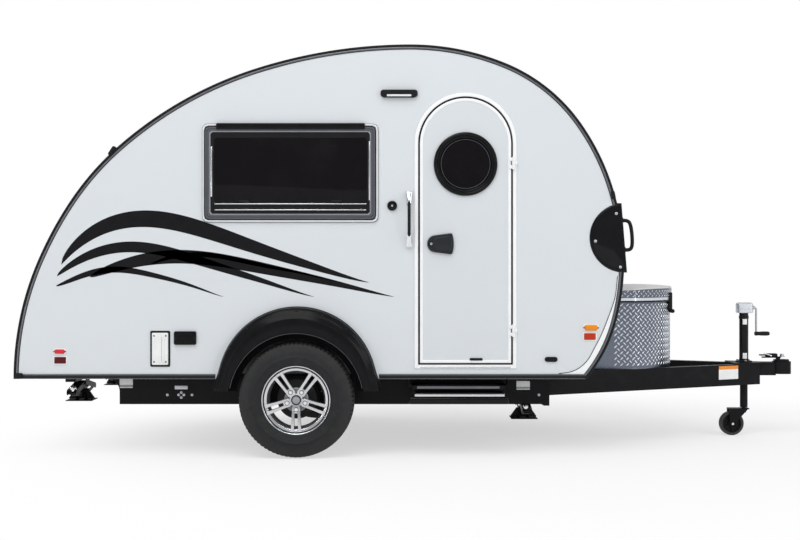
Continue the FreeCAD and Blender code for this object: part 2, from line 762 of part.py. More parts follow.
def cabin_floor():
    """Floor sandwich with the two wheel boxes on it."""
    wall = S.well_wall
    low_x, high_x = WHEEL_X - ARCH_RADIUS - S.well_ends, WHEEL_X + ARCH_RADIUS + S.well_ends
    sheet = box("floor_sheet", (REAR_X, -HALF_CABIN, S.floor_bottom), (NOSE_X, HALF_CABIN, FLOOR_TOP))
    slab = common("floor_slab", sheet, cabin_core("floor_core"))
    cuts, wells = [], []
    for side, sign in (("right", -1), ("left", 1)):
        outs = sorted((sign * WELL_IN, sign * HALF_CABIN), key=lambda size: size.value)
        inner = sorted((sign * (WELL_IN + wall), sign * (HALF_CABIN + 10)), key=lambda size: size.value)
        cuts.append(box(
            side + "_well_hole", (low_x + wall, inner[0], S.floor_bottom - 10),
            (high_x - wall, inner[1], WELL_TOP - wall),
        ))
        wells.append(box(side + "_well", (low_x, outs[0], S.floor_bottom), (high_x, outs[1], WELL_TOP)))
    node("cabin_floor", cut("floor_cut", join("floor_blank", slab, *wells), *cuts))


def door_frame():
    """Lip round the door opening, liner through the wall and the fixed hinge halves."""
    inner = grown(DOOR_LOW, DOOR_HIGH, S.door_gap)
    liner = grown(*inner, S.frame_liner)
    lip = grown(*liner, S.frame_lip)
    pieces = [
        spread("door_lip", arched(*lip), HALF_BODY, LIP_OUT, windows=(arched(*inner),)),
        spread("door_liner", arched(*liner), HALF_CABIN, HALF_BODY, windows=(arched(*inner),)),
    ]
    for index, height in enumerate(HINGE_HEIGHTS):
        low, high = height - S.hinge_length * 1.5, height + S.hinge_length * 1.5
        name = "frame_hinge_%d" % index
        plate = box(name, (HINGE_X + 6, -LIP_OUT - 8, low), (HINGE_X + 18, -LIP_OUT, high))
        pieces.append(plate)
        ends = ((low, low + S.hinge_length - 0.5), (high - S.hinge_length + 0.5, high))
        for part, (start, stop) in enumerate(ends):
            pieces.append(rod(
                name + "_knuckle_%d" % part, (HINGE_X, -HINGE_OUT, start), "z", S.hinge_knuckle, stop - start,
            ))
            pieces.append(box(
                name + "_web_%d" % part, (HINGE_X, -LIP_OUT - 8, start), (HINGE_X + 8, -LIP_OUT - 6, stop),
            ))
        pieces.append(rod(name + "_pin", (HINGE_X, -HINGE_OUT, low), "z", S.hinge_pin, S.hinge_length * 3))
    node("door_frame", join("door_frame_fuse", *pieces))


def entry_door():
    """Door leaf with its hinge straps and paddle handle."""
    leaf = spread(
        "door_leaf", arched(DOOR_LOW, DOOR_HIGH), LEAF_IN, LIP_OUT,
        holes=((DOOR_X, PORTHOLE_Z, S.porthole_hole),),
    )
    pieces, bores = [leaf], []
    for index, height in enumerate(HINGE_HEIGHTS):
        low, high = height - S.hinge_length / 2 + 0.5, height + S.hinge_length / 2 - 0.5
        name = "door_hinge_%d" % index
        pieces.append(box(
            name + "_pad", (HINGE_X - 46, -LIP_OUT - 12, low), (DOOR_HIGH[0] - 2, -LIP_OUT, high),
        ))
        pieces.append(box(
            name + "_strap", (DOOR_HIGH[0] - 4, -HINGE_OUT - 5, low), (HINGE_X, -HINGE_OUT + 5, high),
        ))
        pieces.append(rod(name + "_knuckle", (HINGE_X, -HINGE_OUT, low), "z", S.hinge_knuckle, high - low))
        bores.append(rod(
            name + "_bore", (HINGE_X, -HINGE_OUT, low - 1), "z", S.hinge_pin + S.pin_play, S.hinge_length + 2,
        ))
    handle_low = (DOOR_LOW[0] + S.paddle_back, PORTHOLE_Z - S.paddle_drop)
    handle_high = (handle_low[0] + S.paddle_length, handle_low[1] + S.paddle_height)
    outline = rounded(handle_low, handle_high, 40)
    pieces.append(spread("door_paddle", outline, LIP_OUT, LIP_OUT + S.paddle_depth))
    node("entry_door", cut("entry_door_cut", join("entry_door_fuse", *pieces), *bores))


def door_window():
    """Black ring and pane of the round door window."""
    centre = (DOOR_X, PORTHOLE_Z)
    ring = (
        (S.porthole_ring, -LIP_OUT), (S.porthole_ring, -LIP_OUT - 10), (S.porthole_ring - 10, -LIP_OUT - 16),
    )
    inner = S.porthole_pane + 1
    outline = (
        (inner, -LIP_OUT - 12), (inner, -LEAF_IN), (S.porthole_hole - S.seat_gap, -LEAF_IN),
        (S.porthole_hole - S.seat_gap, ring[0][1]), ring[0], ring[1], ring[2],
        (inner + 6, -LIP_OUT - 16),
    )
    node("door_window", place(turned("door_window_ring", outline), centre[0], 0, centre[1]))
    pane = rod(
        "door_pane_disc", (centre[0], -LIP_OUT - 4, centre[1]), "y", inner - S.seat_gap, S.pane_thickness,
    )
    node("door_pane", pane)


def side_window_outline(margin):
    """The side window's outer frame, moved inward."""
    radius = S.window_corner - margin
    if radius.value < S.pane_corner.value:
        radius = S.pane_corner
    return rounded(*grown(WINDOW_LOW, WINDOW_HIGH, -margin), radius)


def band_piece(name, inner_out, outer_out, blocks, holes):
    """Part of a skin outside the body outline, kept inside blocks and outside holes."""
    skin = ring_between(name + "_skin", -outer_out, -inner_out, S.tail_window_width.value)
    kept = common(name + "_common", skin, *blocks)
    return cut(name, kept, *holes) if holes else kept


def windows():
    """Frames and acrylic panes of the side, rear and front windows."""
    lip = size_of(S.window_lip)
    inner = S.window_border
    outer_ring = spread(
        "side_frame_lip", side_window_outline(size_of(0)), HALF_BODY, HALF_BODY + S.window_proud,
        windows=(side_window_outline(inner),),
    )
    liner = spread(
        "side_frame_liner", side_window_outline(lip + S.seat_gap), HALF_CABIN, HALF_BODY,
        windows=(side_window_outline(inner),),
    )
    right = join("side_frame", outer_ring, liner)
    proud, thick = S.tail_window_proud, S.pane_thickness
    length, width = S.tail_window_length, S.tail_window_width
    border = S.window_border * 2
    tail_frame = band_piece(
        "tail_frame", S.seat_gap.value, proud.value, [tail_block("tail_frame_block", length, width, 400)],
        [tail_block("tail_frame_hole", length - border, width - border, 500)],
    )
    node("window_frames", group("window_frame_group", right, mirror("side_frame_left", right), tail_frame))
    pane = spread(
        "side_pane", side_window_outline(inner + S.seat_gap), HALF_BODY + 6, HALF_BODY + 6 + thick,
    )
    play = border + S.seat_gap * 2
    tail_pane = band_piece(
        "tail_pane", 6, 6 + thick.value,
        [tail_block("tail_pane_block", length - play, width - play, 400)], [],
    )
    return [pane, mirror("side_pane_left", pane), tail_pane]


def nose_housing():
    """Black surround across the nose with a half-round cheek on each side, and its window."""
    low, high = NOSE_WINDOW_LOW, NOSE_WINDOW_LOW + S.nose_window_height
    front = NOSE_X + S.nose_window_depth
    lean = S.nose_window_lean
    radius = root(S.nose_window_height * S.nose_window_height + lean * lean) / 2
    middle_x, middle_z = front - lean / 2, (low + high) / 2
    back = (middle_x - radius * S.nose_window_height / (radius * 2), middle_z - radius * lean / (radius * 2))
    outline = ((front, low), (front - lean, high, radius), (back[0], back[1], radius))
    half = HALF_BODY + S.nose_cheek
    blank = spread("nose_blank", outline, -half, half)
    gap = S.seat_gap
    core = outline_slab("nose_core", -gap.value, S.body_bottom.value, HALF_BODY.value + gap.value)
    pane_low = low + (S.nose_window_height - S.nose_pane_height) / 2
    opening = box(
        "nose_opening", (NOSE_X - 400, -S.nose_pane_width / 2, pane_low),
        (NOSE_X + 400, S.nose_pane_width / 2, pane_low + S.nose_pane_height),
    )
    node("nose_housing", cut("nose_cut", cut("nose_shell", blank, core), opening))
    pane_block = box(
        "nose_pane_block", (NOSE_X - 400, -S.nose_pane_width / 2 + gap, pane_low + gap),
        (NOSE_X + 400, S.nose_pane_width / 2 - gap, pane_low + S.nose_pane_height - gap),
    )
    thick = S.pane_thickness
    sheet = spread("nose_pane_sheet", (
        (front - 8 - thick, low), (front - 8, low), (front - 8 - lean, high), (front - 8 - thick - lean, high),
    ), -half, half)
    return common("nose_pane", sheet, pane_block)


def window_glass():
    """All fixed panes of the body in one node."""
    panes = windows()
    panes.append(nose_housing())
    node("window_panes", group("window_pane_group", *panes))


def grab_handles():
    """Chrome entry handle and the two loops on the nose."""
    x, wall = (DOOR_LOW[0] - S.handle_back).value, -HALF_BODY.value
    out = wall - S.handle_depth.value
    low, high = S.handle_low.value, S.handle_high.value
    entry = tube("entry_handle", (
        (x, wall, low), (x, out, low), (x, out, high), (x, wall, high),
    ), S.handle_radius.value, 20)
    front = (NOSE_X + S.nose_window_depth).value
    slope = S.nose_window_lean.value / S.nose_window_height.value
    seat = S.seat_gap.value + S.loop_radius.value * slope
    ends = []
    for up in (S.loop_low.value, S.loop_high.value):
        face = front - up * slope
        ends.append((NOSE_WINDOW_LOW.value + up, face + seat, face + S.loop_depth.value))
    (low, low_face, low_out), (high, high_face, high_out) = ends
    pieces = [entry]
    for side, sign in (("right", -1), ("left", 1)):
        y = sign * (HALF_BODY - S.loop_in).value
        pieces.append(tube("nose_loop_" + side, (
            (low_face, y, low), (low_out, y, low), (high_out, y, high), (high_face, y, high),
        ), S.loop_radius.value, 18))
    node("grab_handles", group("grab_handle_group", *pieces))


def lamps():
    """Porch light, side markers and reflectors, and the round rear lamps."""
    side_lamps = (
        # name, middle along the trailer, middle above the lower edge of the wall, length, height, depth
        ("rear_marker", REAR_X + 256, 154, 63, 28, 12),
        ("rear_reflector", REAR_X + 260, 105, 73, 44, 6),
        ("front_marker", NOSE_FOOT_X + 30, 287, 86, 37, 14),
        ("front_reflector", NOSE_FOOT_X + 24, 238, 71, 43, 6),
    )
    pieces = []
    for name, x, height, length, tall, depth in side_lamps:
        z = S.body_bottom + height
        outline = rounded((x - length / 2, z - tall / 2), (x + length / 2, z + tall / 2), 6)
        lamp = spread(name, outline, HALF_BODY, HALF_BODY + depth)
        pieces += [lamp, mirror(name + "_left", lamp)]
    x, z = DOOR_LOW[0] - S.porch_back, CROWN_Z - S.porch_drop
    half, tall = S.porch_length / 2, S.porch_height / 2
    outline = rounded((x - half, z - tall), (x + half, z + tall), 15)
    pieces.append(spread("porch_light", outline, HALF_BODY, HALF_BODY + S.porch_depth))
    for side, sign in (("right", -1), ("left", 1)):
        start = (REAR_X - 50, sign * S.tail_lamp_out, CROWN_Z - S.tail_window_drop - S.tail_lamp_drop)
        reach = rod("tail_lamp_" + side, start, "x", S.tail_lamp_radius, 400)
        pieces.append(band_piece(
            "tail_lamp_%s_lens" % side, S.seat_gap.value, S.tail_lamp_depth.value, [reach], [],
        ))
    node("lamps", group("lamp_group", *pieces))


def roof_vent():
    """Square vent: flange on the roof and a closed lid."""
    x, half = REAR_X + S.vent_from_rear, S.vent_size / 2
    low, top = CROWN_Z - 60, CROWN_Z + S.vent_flange_rise - 20
    flange = box("vent_flange", (x - half, -half, low), (x + half, half, top))
    core = outline_slab("vent_core", -S.seat_gap.value, S.body_bottom.value, HALF_BODY.value)
    outline = rounded((x - half + 15, -half + 15), (x + half - 15, half - 15), 50)
    lid = prism("vent_lid", "XY", outline, S.vent_dome)
    place(lid, 0, 0, top)
    node("roof_vent", join("vent_fuse", cut("vent_flange_cut", flange, core), lid))


def fenders():
    """Moulded arch over each wheel: an outer band, a front face and an inner edge."""
    x, foot = WHEEL_X + S.fender_shift, S.tyre_radius + S.fender_foot
    inner, skin, depth = S.tyre_radius + S.fender_gap, S.fender_skin, S.fender_depth
    outer = inner + S.fender_band
    rise_out = S.tyre_radius + S.fender_rise

    def arch(name, big, small, depth_from, depth_to):
        return spread(name, (
            (x - big, foot), (x - small, foot, -small), (x, foot + small, -small), (x + small, foot),
            (x + big, foot), (x + big, rise_out, big),
            (x, rise_out + big, big), (x - big, rise_out),
        ), depth_from, depth_to)

    blank = arch("fender_blank", outer, inner, HALF_BODY, HALF_BODY + depth)
    hollow = arch("fender_hollow", outer - skin, inner + skin, HALF_BODY - 1, HALF_BODY + depth - skin)
    low = box("fender_keep_feet", (x - outer, -HALF_BODY - depth, foot), (x + outer, -HALF_BODY, foot + skin))
    right = cut("fender_right", blank, cut("fender_core", hollow, low))
    node("fenders", group("fender_group", right, mirror("fender_left", right)))


# ---------------------------------------------------------------------------------------
# Chassis
# ---------------------------------------------------------------------------------------
def frame_rails():
    """Two C-section rails with a rounded rear end and a tab at the front."""
    out, top, wall = S.rail_out, S.floor_bottom, S.rail_wall
    body, sketch = sketched("rail_section", "YZ", (
        (-out, RAIL_BOTTOM), (-out + S.rail_flange, RAIL_BOTTOM), (-out + S.rail_flange, RAIL_BOTTOM + wall),
        (-out + wall, RAIL_BOTTOM + wall), (-out + wall, top - wall), (-out + S.rail_flange, top - wall),
        (-out + S.rail_flange, top), (-out, top),
    ))
    pad = body.newObject("PartDesign::Pad", "rail_pad")
    pad.Profile = sketch
    bind(pad, Length=RAIL_FRONT_X - RAIL_REAR_X)
    place(body, RAIL_REAR_X, 0, 0)
    tip, heel, under_tip = RAIL_REAR_X, RAIL_REAR_X + S.rail_scoop, top - S.rail_tip
    scoop = spread("rail_scoop", (
        (tip - 5, RAIL_BOTTOM - 5), (heel, RAIL_BOTTOM - 5), (heel, under_tip - S.rail_scoop, S.rail_scoop),
        (tip, under_tip), (tip - 5, under_tip),
    ), out - S.rail_flange - 5, out + 5)
    right = cut("rail_right", body, scoop)
    node("frame_rails", group("rail_group", right, mirror("rail_left", right)))


def crossmembers():
    """Box sections between the rails, and those that carry the stabilizers with brackets."""
    inner = S.rail_out - S.rail_flange
    top = S.floor_bottom
    half, plain = S.cross_half, top - S.cross_height
    rows = (
        # name, place along the trailer, half width along X, underside, half length across
        ("cross_tail", STABILIZERS[0][1], half + 5, S.stab_rear_mount, S.rail_out),
        ("cross_rear", REAR_X + S.cross_rear, half, plain, inner),
        ("cross_axle", WHEEL_X + S.arm_reach, half + 5, plain, inner),
        ("cross_middle", REAR_X + S.cross_middle, half, plain, inner),
        ("cross_front", STABILIZERS[1][1], half + 5, S.stab_front_mount, inner),
    )
    pieces = []
    for name, x, wide, under, reach in rows:
        pieces.append(box(name, (x - wide, -reach, under), (x + wide, reach, top)))
    for place_name, x, mount in STABILIZERS:
        for side, sign in (("right", -1), ("left", 1)):
            pieces.append(stab_bracket("stab_bracket_%s_%s" % (place_name, side), x, sign * S.stab_out, mount))
    node("crossmembers", group("cross_group", *pieces))


STAB_CHEEK = {"lower": 0, "upper": 1, "bracket": 2}


def cheek_inside(layer):
    """Inside face of a stabilizer cheek: lower arm, then upper arm and foot, then bracket."""
    return S.stab_inner + STAB_CHEEK[layer] * (S.stab_plate + 5)


def cheeks(name, outline, layer, x):
    """Two equal plates facing each other across a stabilizer, drawn in Y and Z."""
    plates = []
    inside = cheek_inside(layer)
    for side, start in (("a", inside), ("b", -inside - S.stab_plate)):
        plate = prism("%s_%s" % (name, side), "YZ", outline, S.stab_plate)
        plates.append(place(plate, x + start, 0, 0))
    return plates


def stab_bracket(name, x, y, mount):
    """Fixed head of a stabilizer: a plate under the crossmember and two cheeks with pins."""
    pivot = mount - S.stab_drop
    half = S.stab_pitch + 18
    outline = ((y - half, pivot - 10), (y + half, pivot - 10), (y + half, mount), (y - half, mount))
    plates = cheeks(name, outline, "bracket", x)
    reach = cheek_inside("bracket") + S.stab_plate
    plates.append(box(name + "_plate", (x - reach, y - half, mount - 4), (x + reach, y + half, mount)))
    for index, sign in ((0, -1), (1, 1)):
        plates.append(rod(
            name + "_pin_%d" % index, (x - reach, y + sign * S.stab_pitch, pivot), "x", S.stab_pin, reach * 2,
        ))
    return join(name, *plates)


def stabilizer(place_name, side, x, mount, sign):
    """Arms and foot of one scissor stabilizer, folded."""
    y = sign * S.stab_out
    pivot = mount - S.stab_drop
    reach = root(S.stab_arm * S.stab_arm - S.stab_rise * S.stab_rise)
    label = "stab_%s_%s" % (place_name, side)
    bore = S.stab_pin + S.pin_play
    half_upper, half_lower = 16, 11
    plate = S.stab_plate
    for arm, way in (("outer", sign), ("inner", -sign)):
        start_y, run = y + way * S.stab_pitch, way * reach
        trunnion = (start_y + run, pivot - S.stab_rise)
        name = "%s_upper_%s" % (label, arm)
        plates = cheeks(name, slot((start_y, pivot), run, -S.stab_rise, half_upper), "upper", x)
        inside = cheek_inside("upper")
        web = web_outline((start_y, pivot), run, -S.stab_rise, 34, 26, 13, 16)
        plates.append(place(prism(name + "_web", "YZ", web, inside * 2 + plate * 2), x - inside - plate, 0, 0))
        pin_reach = inside + plate
        plates.append(rod(name + "_pin", (x - pin_reach, *trunnion), "x", S.stab_pin, pin_reach * 2))
        if arm == "outer":
            nose_out = trunnion[0] + sign * 6 if sign > 0 else trunnion[0] - 36
            plates.append(rod(name + "_screw", (x, nose_out, trunnion[1]), "y", 8, 30))
        bores = [rod(name + "_bore", (x - 60, start_y, pivot), "x", bore, 120)]
        node(name, cut(name + "_cut", join(name + "_fuse", *plates), *bores))
        name = "%s_lower_%s" % (label, arm)
        foot_z = pivot - S.stab_rise * 2
        back = slot((start_y, foot_z), run, S.stab_rise, half_lower)
        plates = cheeks(name, back, "lower", x)
        inside = cheek_inside("lower")
        web = web_outline((start_y, foot_z), run, S.stab_rise, 24, 40, -11, -8)
        plates.append(place(prism(name + "_web", "YZ", web, inside * 2 + plate * 2), x - inside - plate, 0, 0))
        bores = [
            rod(name + "_bore_foot", (x - 60, start_y, foot_z), "x", bore, 120),
            rod(name + "_bore_trunnion", (x - 60, *trunnion), "x", bore, 120),
        ]
        node(name, cut(name + "_cut", join(name + "_fuse", *plates), *bores))
    name = label + "_foot"
    foot_z = pivot - S.stab_rise * 2
    sole = foot_z - S.stab_foot_drop
    half = S.stab_pitch + 16
    plates = cheeks(name, rectangle((y - half, sole), (y + half, foot_z + 10)), "upper", x)
    wide, long = S.stab_foot_width / 2, S.stab_foot_length / 2
    plates.append(box(name + "_sole", (x - wide, y - long, sole), (x + wide, y + long, sole + 4)))
    reach_x = cheek_inside("upper") + plate
    for index, way in ((0, -1), (1, 1)):
        plates.append(rod(
            name + "_pin_%d" % index, (x - reach_x, y + way * S.stab_pitch, foot_z), "x",
            S.stab_pin, reach_x * 2,
        ))
    node(name, join(name + "_fuse", *plates))


def web_outline(start, run, rise, start_gap, end_gap, low, high):
    """A strip beside the line between two pivots, between two distances above it, that stops
    short of both ends."""
    length = root(run * run + rise * rise)
    ux, uz = run / length, rise / length
    flip = 1 if run.value > 0 else -1
    nx, nz = -uz * flip, ux * flip
    near = (start[0] + ux * start_gap, start[1] + uz * start_gap)
    far = (start[0] + ux * (length - end_gap), start[1] + uz * (length - end_gap))
    return (
        (near[0] + nx * low, near[1] + nz * low), (far[0] + nx * low, far[1] + nz * low),
        (far[0] + nx * high, far[1] + nz * high), (near[0] + nx * high, near[1] + nz * high),
    )


def tongue_beams():
    """The two beams of the A-frame, from the rails to the coupler."""
    angle, flange = S.tongue_angle, S.rail_flange
    top, low = S.floor_bottom, S.floor_bottom - S.tongue_height
    length = (TIP_X - TONGUE_START_X) / cosine(angle)
    body = prism("tongue_section", "YZ", rectangle((0, low), (flange, top)), length + 200)
    turn(body, (0, 0, 1), angle)
    place(body, TONGUE_START_X - 100 * cosine(angle), -S.rail_out - 100 * sine(angle), 0)
    keep = box("tongue_keep", (RAIL_FRONT_X, -S.body_width, low - 10), (TIP_X, -1, top + 10))
    notch = rod("tongue_notch", (JACK_X, 0, low - 10), "z", S.jack_tube + S.seat_gap, S.tongue_height + 20)
    right = cut("tongue_right", common("tongue_blank", body, keep), notch)
    node("tongue_beams", group("tongue_group", right, mirror("tongue_left", right)))


def coupler():
    """Plate over the beam tips, neck, ball head with its socket and the latch lever."""
    top = S.floor_bottom
    head_x = FRONT_X - S.ball_back
    rear_x, waist_x, neck_x = TIP_X - 180, TIP_X + 20, FRONT_X - 110
    plate = prism("coupler_plate", "XY", (
        (rear_x, -125), (waist_x, -42), (neck_x, -34), (neck_x, 34), (waist_x, 42), (rear_x, 125),
    ), 8, holes=((JACK_X, 0, S.jack_tube + S.seat_gap),))
    place(plate, 0, 0, top)
    neck = box("coupler_neck", (TIP_X, -32, top - 75), (FRONT_X - 100, 32, top))
    head = prism("coupler_head", "XY", rounded((FRONT_X - 112, size_of(-50)), (FRONT_X, size_of(50)), 38), 78)
    place(head, 0, 0, top - 66)
    outline = rounded((FRONT_X - 104, size_of(-38)), (FRONT_X - 10, size_of(38)), 30)
    crown = prism("coupler_crown", "XY", outline, 12)
    place(crown, 0, 0, top + 12)
    lever = box("coupler_lever", (FRONT_X - 180, -9, top + 34), (FRONT_X - 60, 9, top + 42))
    post = box("coupler_post", (FRONT_X - 90, -9, top + 20), (FRONT_X - 66, 9, top + 36))
    socket = rod("coupler_socket", (head_x, 0, top - 67), "z", S.ball_radius, S.socket_depth + 1)
    body = join("coupler_fuse", plate, neck, head, crown, post, lever)
    node("coupler", cut("coupler_cut", body, socket))


def jack_post():
    """Outer tube of the tongue jack with its flange, gear head and crank."""
    low, top = S.jack_bottom, S.jack_top
    tube_blank = rod("post_tube", (JACK_X, 0, low), "z", S.jack_tube, top - low)
    flange = rod("post_flange", (JACK_X, 0, S.floor_bottom + 8), "z", 52, 8)
    head = prism("post_head", "XY", rounded((JACK_X - 46, size_of(-36)), (JACK_X + 53, size_of(36)), 14), 66)
    place(head, 0, 0, top - 6)
    bore = rod("post_bore", (JACK_X, 0, low - 1), "z", S.jack_bore, top - low - 20)
    x, high, knee = JACK_X.value, top.value + 28, top.value - 137
    crank = tube("post_crank", (
        (x + 40, 0, high), (x + 78, 0, high), (x + 78, 0, knee), (x + 112, 0, knee),
    ), 6.5, 12)
    grip = rod("post_grip", (JACK_X + 100, 0, top - 137), "x", 13.5, 64)
    node("jack_post", cut("post_cut", join("post_fuse", tube_blank, flange, head, crank, grip), bore))


def jack_leg():
    """Inner tube with the swivel pin of the caster."""
    low = S.jack_leg_bottom
    leg_length = S.jack_top - S.jack_cap - S.jack_raise - low
    leg = rod("leg_tube", (JACK_X, 0, low), "z", S.jack_leg_radius, leg_length)
    pin = rod("leg_kingpin", (JACK_X, 0, low - 34), "z", S.kingpin_radius, 36)
    washer = rod("leg_washer", (JACK_X, 0, low - 34), "z", 15, 6)
    node("jack_leg", join("leg_fuse", leg, pin, washer))


def caster():
    """Swivelling fork and its wheel."""
    plate_top = S.jack_leg_bottom - 6
    outline = rounded((CASTER_X - 24, size_of(-34)), (JACK_X + 30, size_of(34)), 14)
    plate = prism("fork_top", "XY", outline, S.fork_plate)
    place(plate, 0, 0, plate_top - S.fork_plate)
    pieces = [plate]
    axle_z = S.caster_radius
    inside = S.caster_width / 2 + S.run_gap
    for side, start in (("a", inside), ("b", -inside - S.fork_plate)):
        cheek = prism("fork_cheek_" + side, "XZ", (
            (CASTER_X - 16, axle_z, 16), (CASTER_X, axle_z - 16, 16), (CASTER_X + 16, axle_z),
            (JACK_X + 20, plate_top - 2), (CASTER_X - 20, plate_top - 2),
        ), S.fork_plate)
        pieces.append(place(cheek, 0, start + S.fork_plate, 0))
    reach = inside + S.fork_plate + 4
    pieces.append(rod("fork_axle", (CASTER_X, -reach, axle_z), "y", S.caster_axle, reach * 2))
    bore = rod("fork_bore", (JACK_X, 0, plate_top - 20), "z", S.kingpin_radius + S.pin_play, 30)
    node("caster_fork", cut("fork_cut", join("fork_fuse", *pieces), bore))
    half, radius = S.caster_width / 2, S.caster_radius
    bore_radius = S.caster_axle + S.pin_play
    wheel = turned("caster_disc", (
        (bore_radius, -half), (22, -half), (26, -half + 8), (radius - 20, -half + 8), (radius - 14, -half + 4),
        (radius - 4, -half + 8), (radius, -half + 16), (radius, half - 16), (radius - 4, half - 8),
        (radius - 14, half - 4), (radius - 20, half - 8), (26, half - 8), (22, half), (bore_radius, half),
    ))
    node("caster_wheel", place(wheel, CASTER_X, 0, axle_z))


# ---------------------------------------------------------------------------------------
# Wheels and axle
# ---------------------------------------------------------------------------------------
def axle():
    """Torsion axle: square tube, arms that trail to the wheels, backing plates, stub axles."""
    tube_x, half = WHEEL_X + S.arm_reach, S.axle_tube / 2
    high = RAIL_BOTTOM
    tube_z = high - half
    arm_in = S.wheel_out - S.tyre_width / 2 - S.run_gap - S.arm_thickness
    pieces = [box("axle_beam", (tube_x - half, -arm_in, high - S.axle_tube), (tube_x + half, arm_in, high))]
    rise = S.tyre_radius - tube_z
    for side, sign in (("right", -1), ("left", 1)):
        arm = prism("axle_arm_" + side, "XZ", slot((tube_x, tube_z), -S.arm_reach, rise, 36), S.arm_thickness)
        start = -arm_in if sign < 0 else arm_in + S.arm_thickness
        pieces.append(place(arm, 0, start, 0))
        hub_end = S.wheel_out - 2
        low = -hub_end if sign < 0 else arm_in + 1
        pieces.append(rod(
            "axle_stub_" + side, (WHEEL_X, low, S.tyre_radius), "y", S.spindle_radius, hub_end - arm_in - 1,
        ))
        plate = rod("axle_plate_" + side, (WHEEL_X, 0, S.tyre_radius), "y", S.drum_radius - 6, 4)
        plate_y = -arm_in - S.arm_thickness if sign < 0 else arm_in + S.arm_thickness - 4
        place(plate, WHEEL_X, plate_y, S.tyre_radius)
        pieces.append(plate)
    for side, sign in (("right", -1), ("left", 1)):
        outs = sorted((sign * (S.rail_out - S.rail_flange), sign * S.rail_out), key=lambda size: size.value)
        pieces.append(box(
            "axle_seat_" + side, (tube_x - 60, outs[0], high - 8), (tube_x + 60, outs[1], high),
        ))
    node("axle", join("axle_fuse", *pieces))


def wheels():
    """Tyre, and rim with twin spokes, hub and brake drum, on each side."""
    seat, lip, half = S.rim_radius, S.rim_lip, S.rim_half_width
    wall = 7
    wide, gap = S.tyre_width / 2, S.seat_gap
    outer = S.tyre_radius
    for side, turn_by in (("right", 180), ("left", 0)):
        rim = turned("rim_barrel_" + side, (
            (lip, -half - 6), (lip, -half), (seat, -half + 6), (seat, half - 6), (lip, half), (lip, half + 6),
            (lip - wall, half + 6), (seat - wall, half - 3), (seat - wall, -half + 3), (lip - wall, -half - 6),
        ))
        hub = turned("rim_hub_" + side, (
            (S.spindle_radius + S.pin_play, -wide), (45, -wide), (45, 20), (72, 20), (72, 48), (30, 54),
            (0, 54), (0, 4), (S.spindle_radius + S.pin_play, 4),
        ))
        drum = turned("rim_drum_" + side, (
            (44, -wide), (S.drum_radius, -wide), (S.drum_radius, -40), (44, -40),
        ))
        pieces = [rim, hub, drum]
        for index in range(5):
            for lean in (-7, 7):
                spoke = DOC.addObject("Part::Box", "spoke_%s_%d_%d" % (side, index, lean))
                bind(spoke, Length=seat - wall / 2 - 60, Width=15, Height=24)
                angle = index * 72 - 90 + lean
                turned_by = Rotation(Vector(0, 1, 0), -angle)
                wheel_corner = turned_by.multVec(Vector(60, 0, -7.5))
                spin = Rotation(Vector(0, 1, 0), -angle) * Rotation(Vector(1, 0, 0), 90)
                spoke.Placement = Placement(wheel_corner + Vector(0, 50, 0), spin)
                pieces.append(spoke)
        wheel = join("wheel_%s_fuse" % side, *pieces)
        tyre = turned("tyre_%s_turning" % side, (
            (seat + gap, -half + 6.8), (seat + gap, half - 6.8), (lip + gap, half - 0.6),
            (lip + gap + 2, half + 8),
            (lip + 10, wide - 9), (235, wide), (275, wide - 1), (outer - 20, wide - 9), (outer - 6, wide - 18),
            (outer, wide - 32), (outer, -wide + 32), (outer - 6, -wide + 18), (outer - 20, -wide + 9),
            (275, -wide + 1), (235, -wide), (lip + 10, -wide + 9), (lip + gap + 2, -half - 8),
            (lip + gap, -half + 0.6),
        ))
        for name, thing in (("wheel_", wheel), ("tyre_", tyre)):
            turn(thing, (0, 0, 1), turn_by)
            out = -S.wheel_out if side == "right" else S.wheel_out
            node(name + side, place(thing, WHEEL_X, out, S.tyre_radius))


# ---------------------------------------------------------------------------------------
# Tub on the A-frame
# ---------------------------------------------------------------------------------------
def bow_outline(back, straight, length, half):
    """Plan of the tub: straight back and sides and a bowed front."""
    bow = length - straight
    radius = (half * half + bow * bow) / (bow * 2)
    return (
        (back, -half), (back + straight, -half, radius), (back + length, 0, radius),
        (back + straight, half), (back, half),
    )


def tub_block(name, inset, low, high):
    """The tub's outer shape moved inward: bowed plan, rear wall sloping behind the nose."""
    back = NOSE_X + S.tub_back
    length, half = S.tub_length, S.tub_half_width - inset
    extra = S.tub_slope + 50
    plan = prism(name + "_plan", "XY", bow_outline(
        back - extra, S.tub_straight + extra, length + extra - inset, half,
    ), high - low)
    place(plan, 0, 0, low)
    run = S.tub_slope * (high - low) / (TUB_TOP - S.floor_bottom)
    side = spread(name + "_side", (
        (back + inset - run, low), (back + length + 10, low), (back + length + 10, high), (back + inset, high),
    ), -half - 10, half + 10)
    clear = (inset + S.tub_clear).value
    nose = outline_slab(name + "_nose", -clear, S.body_bottom.value - 200, HALF_BODY.value)
    return cut(name, common(name + "_common", plan, side), nose)


def lid_hinges():
    """Start of each hinge of the lid across the trailer."""
    return [(index, sign * (S.tub_half_width - 180)) for index, sign in ((0, -1), (1, 1))]


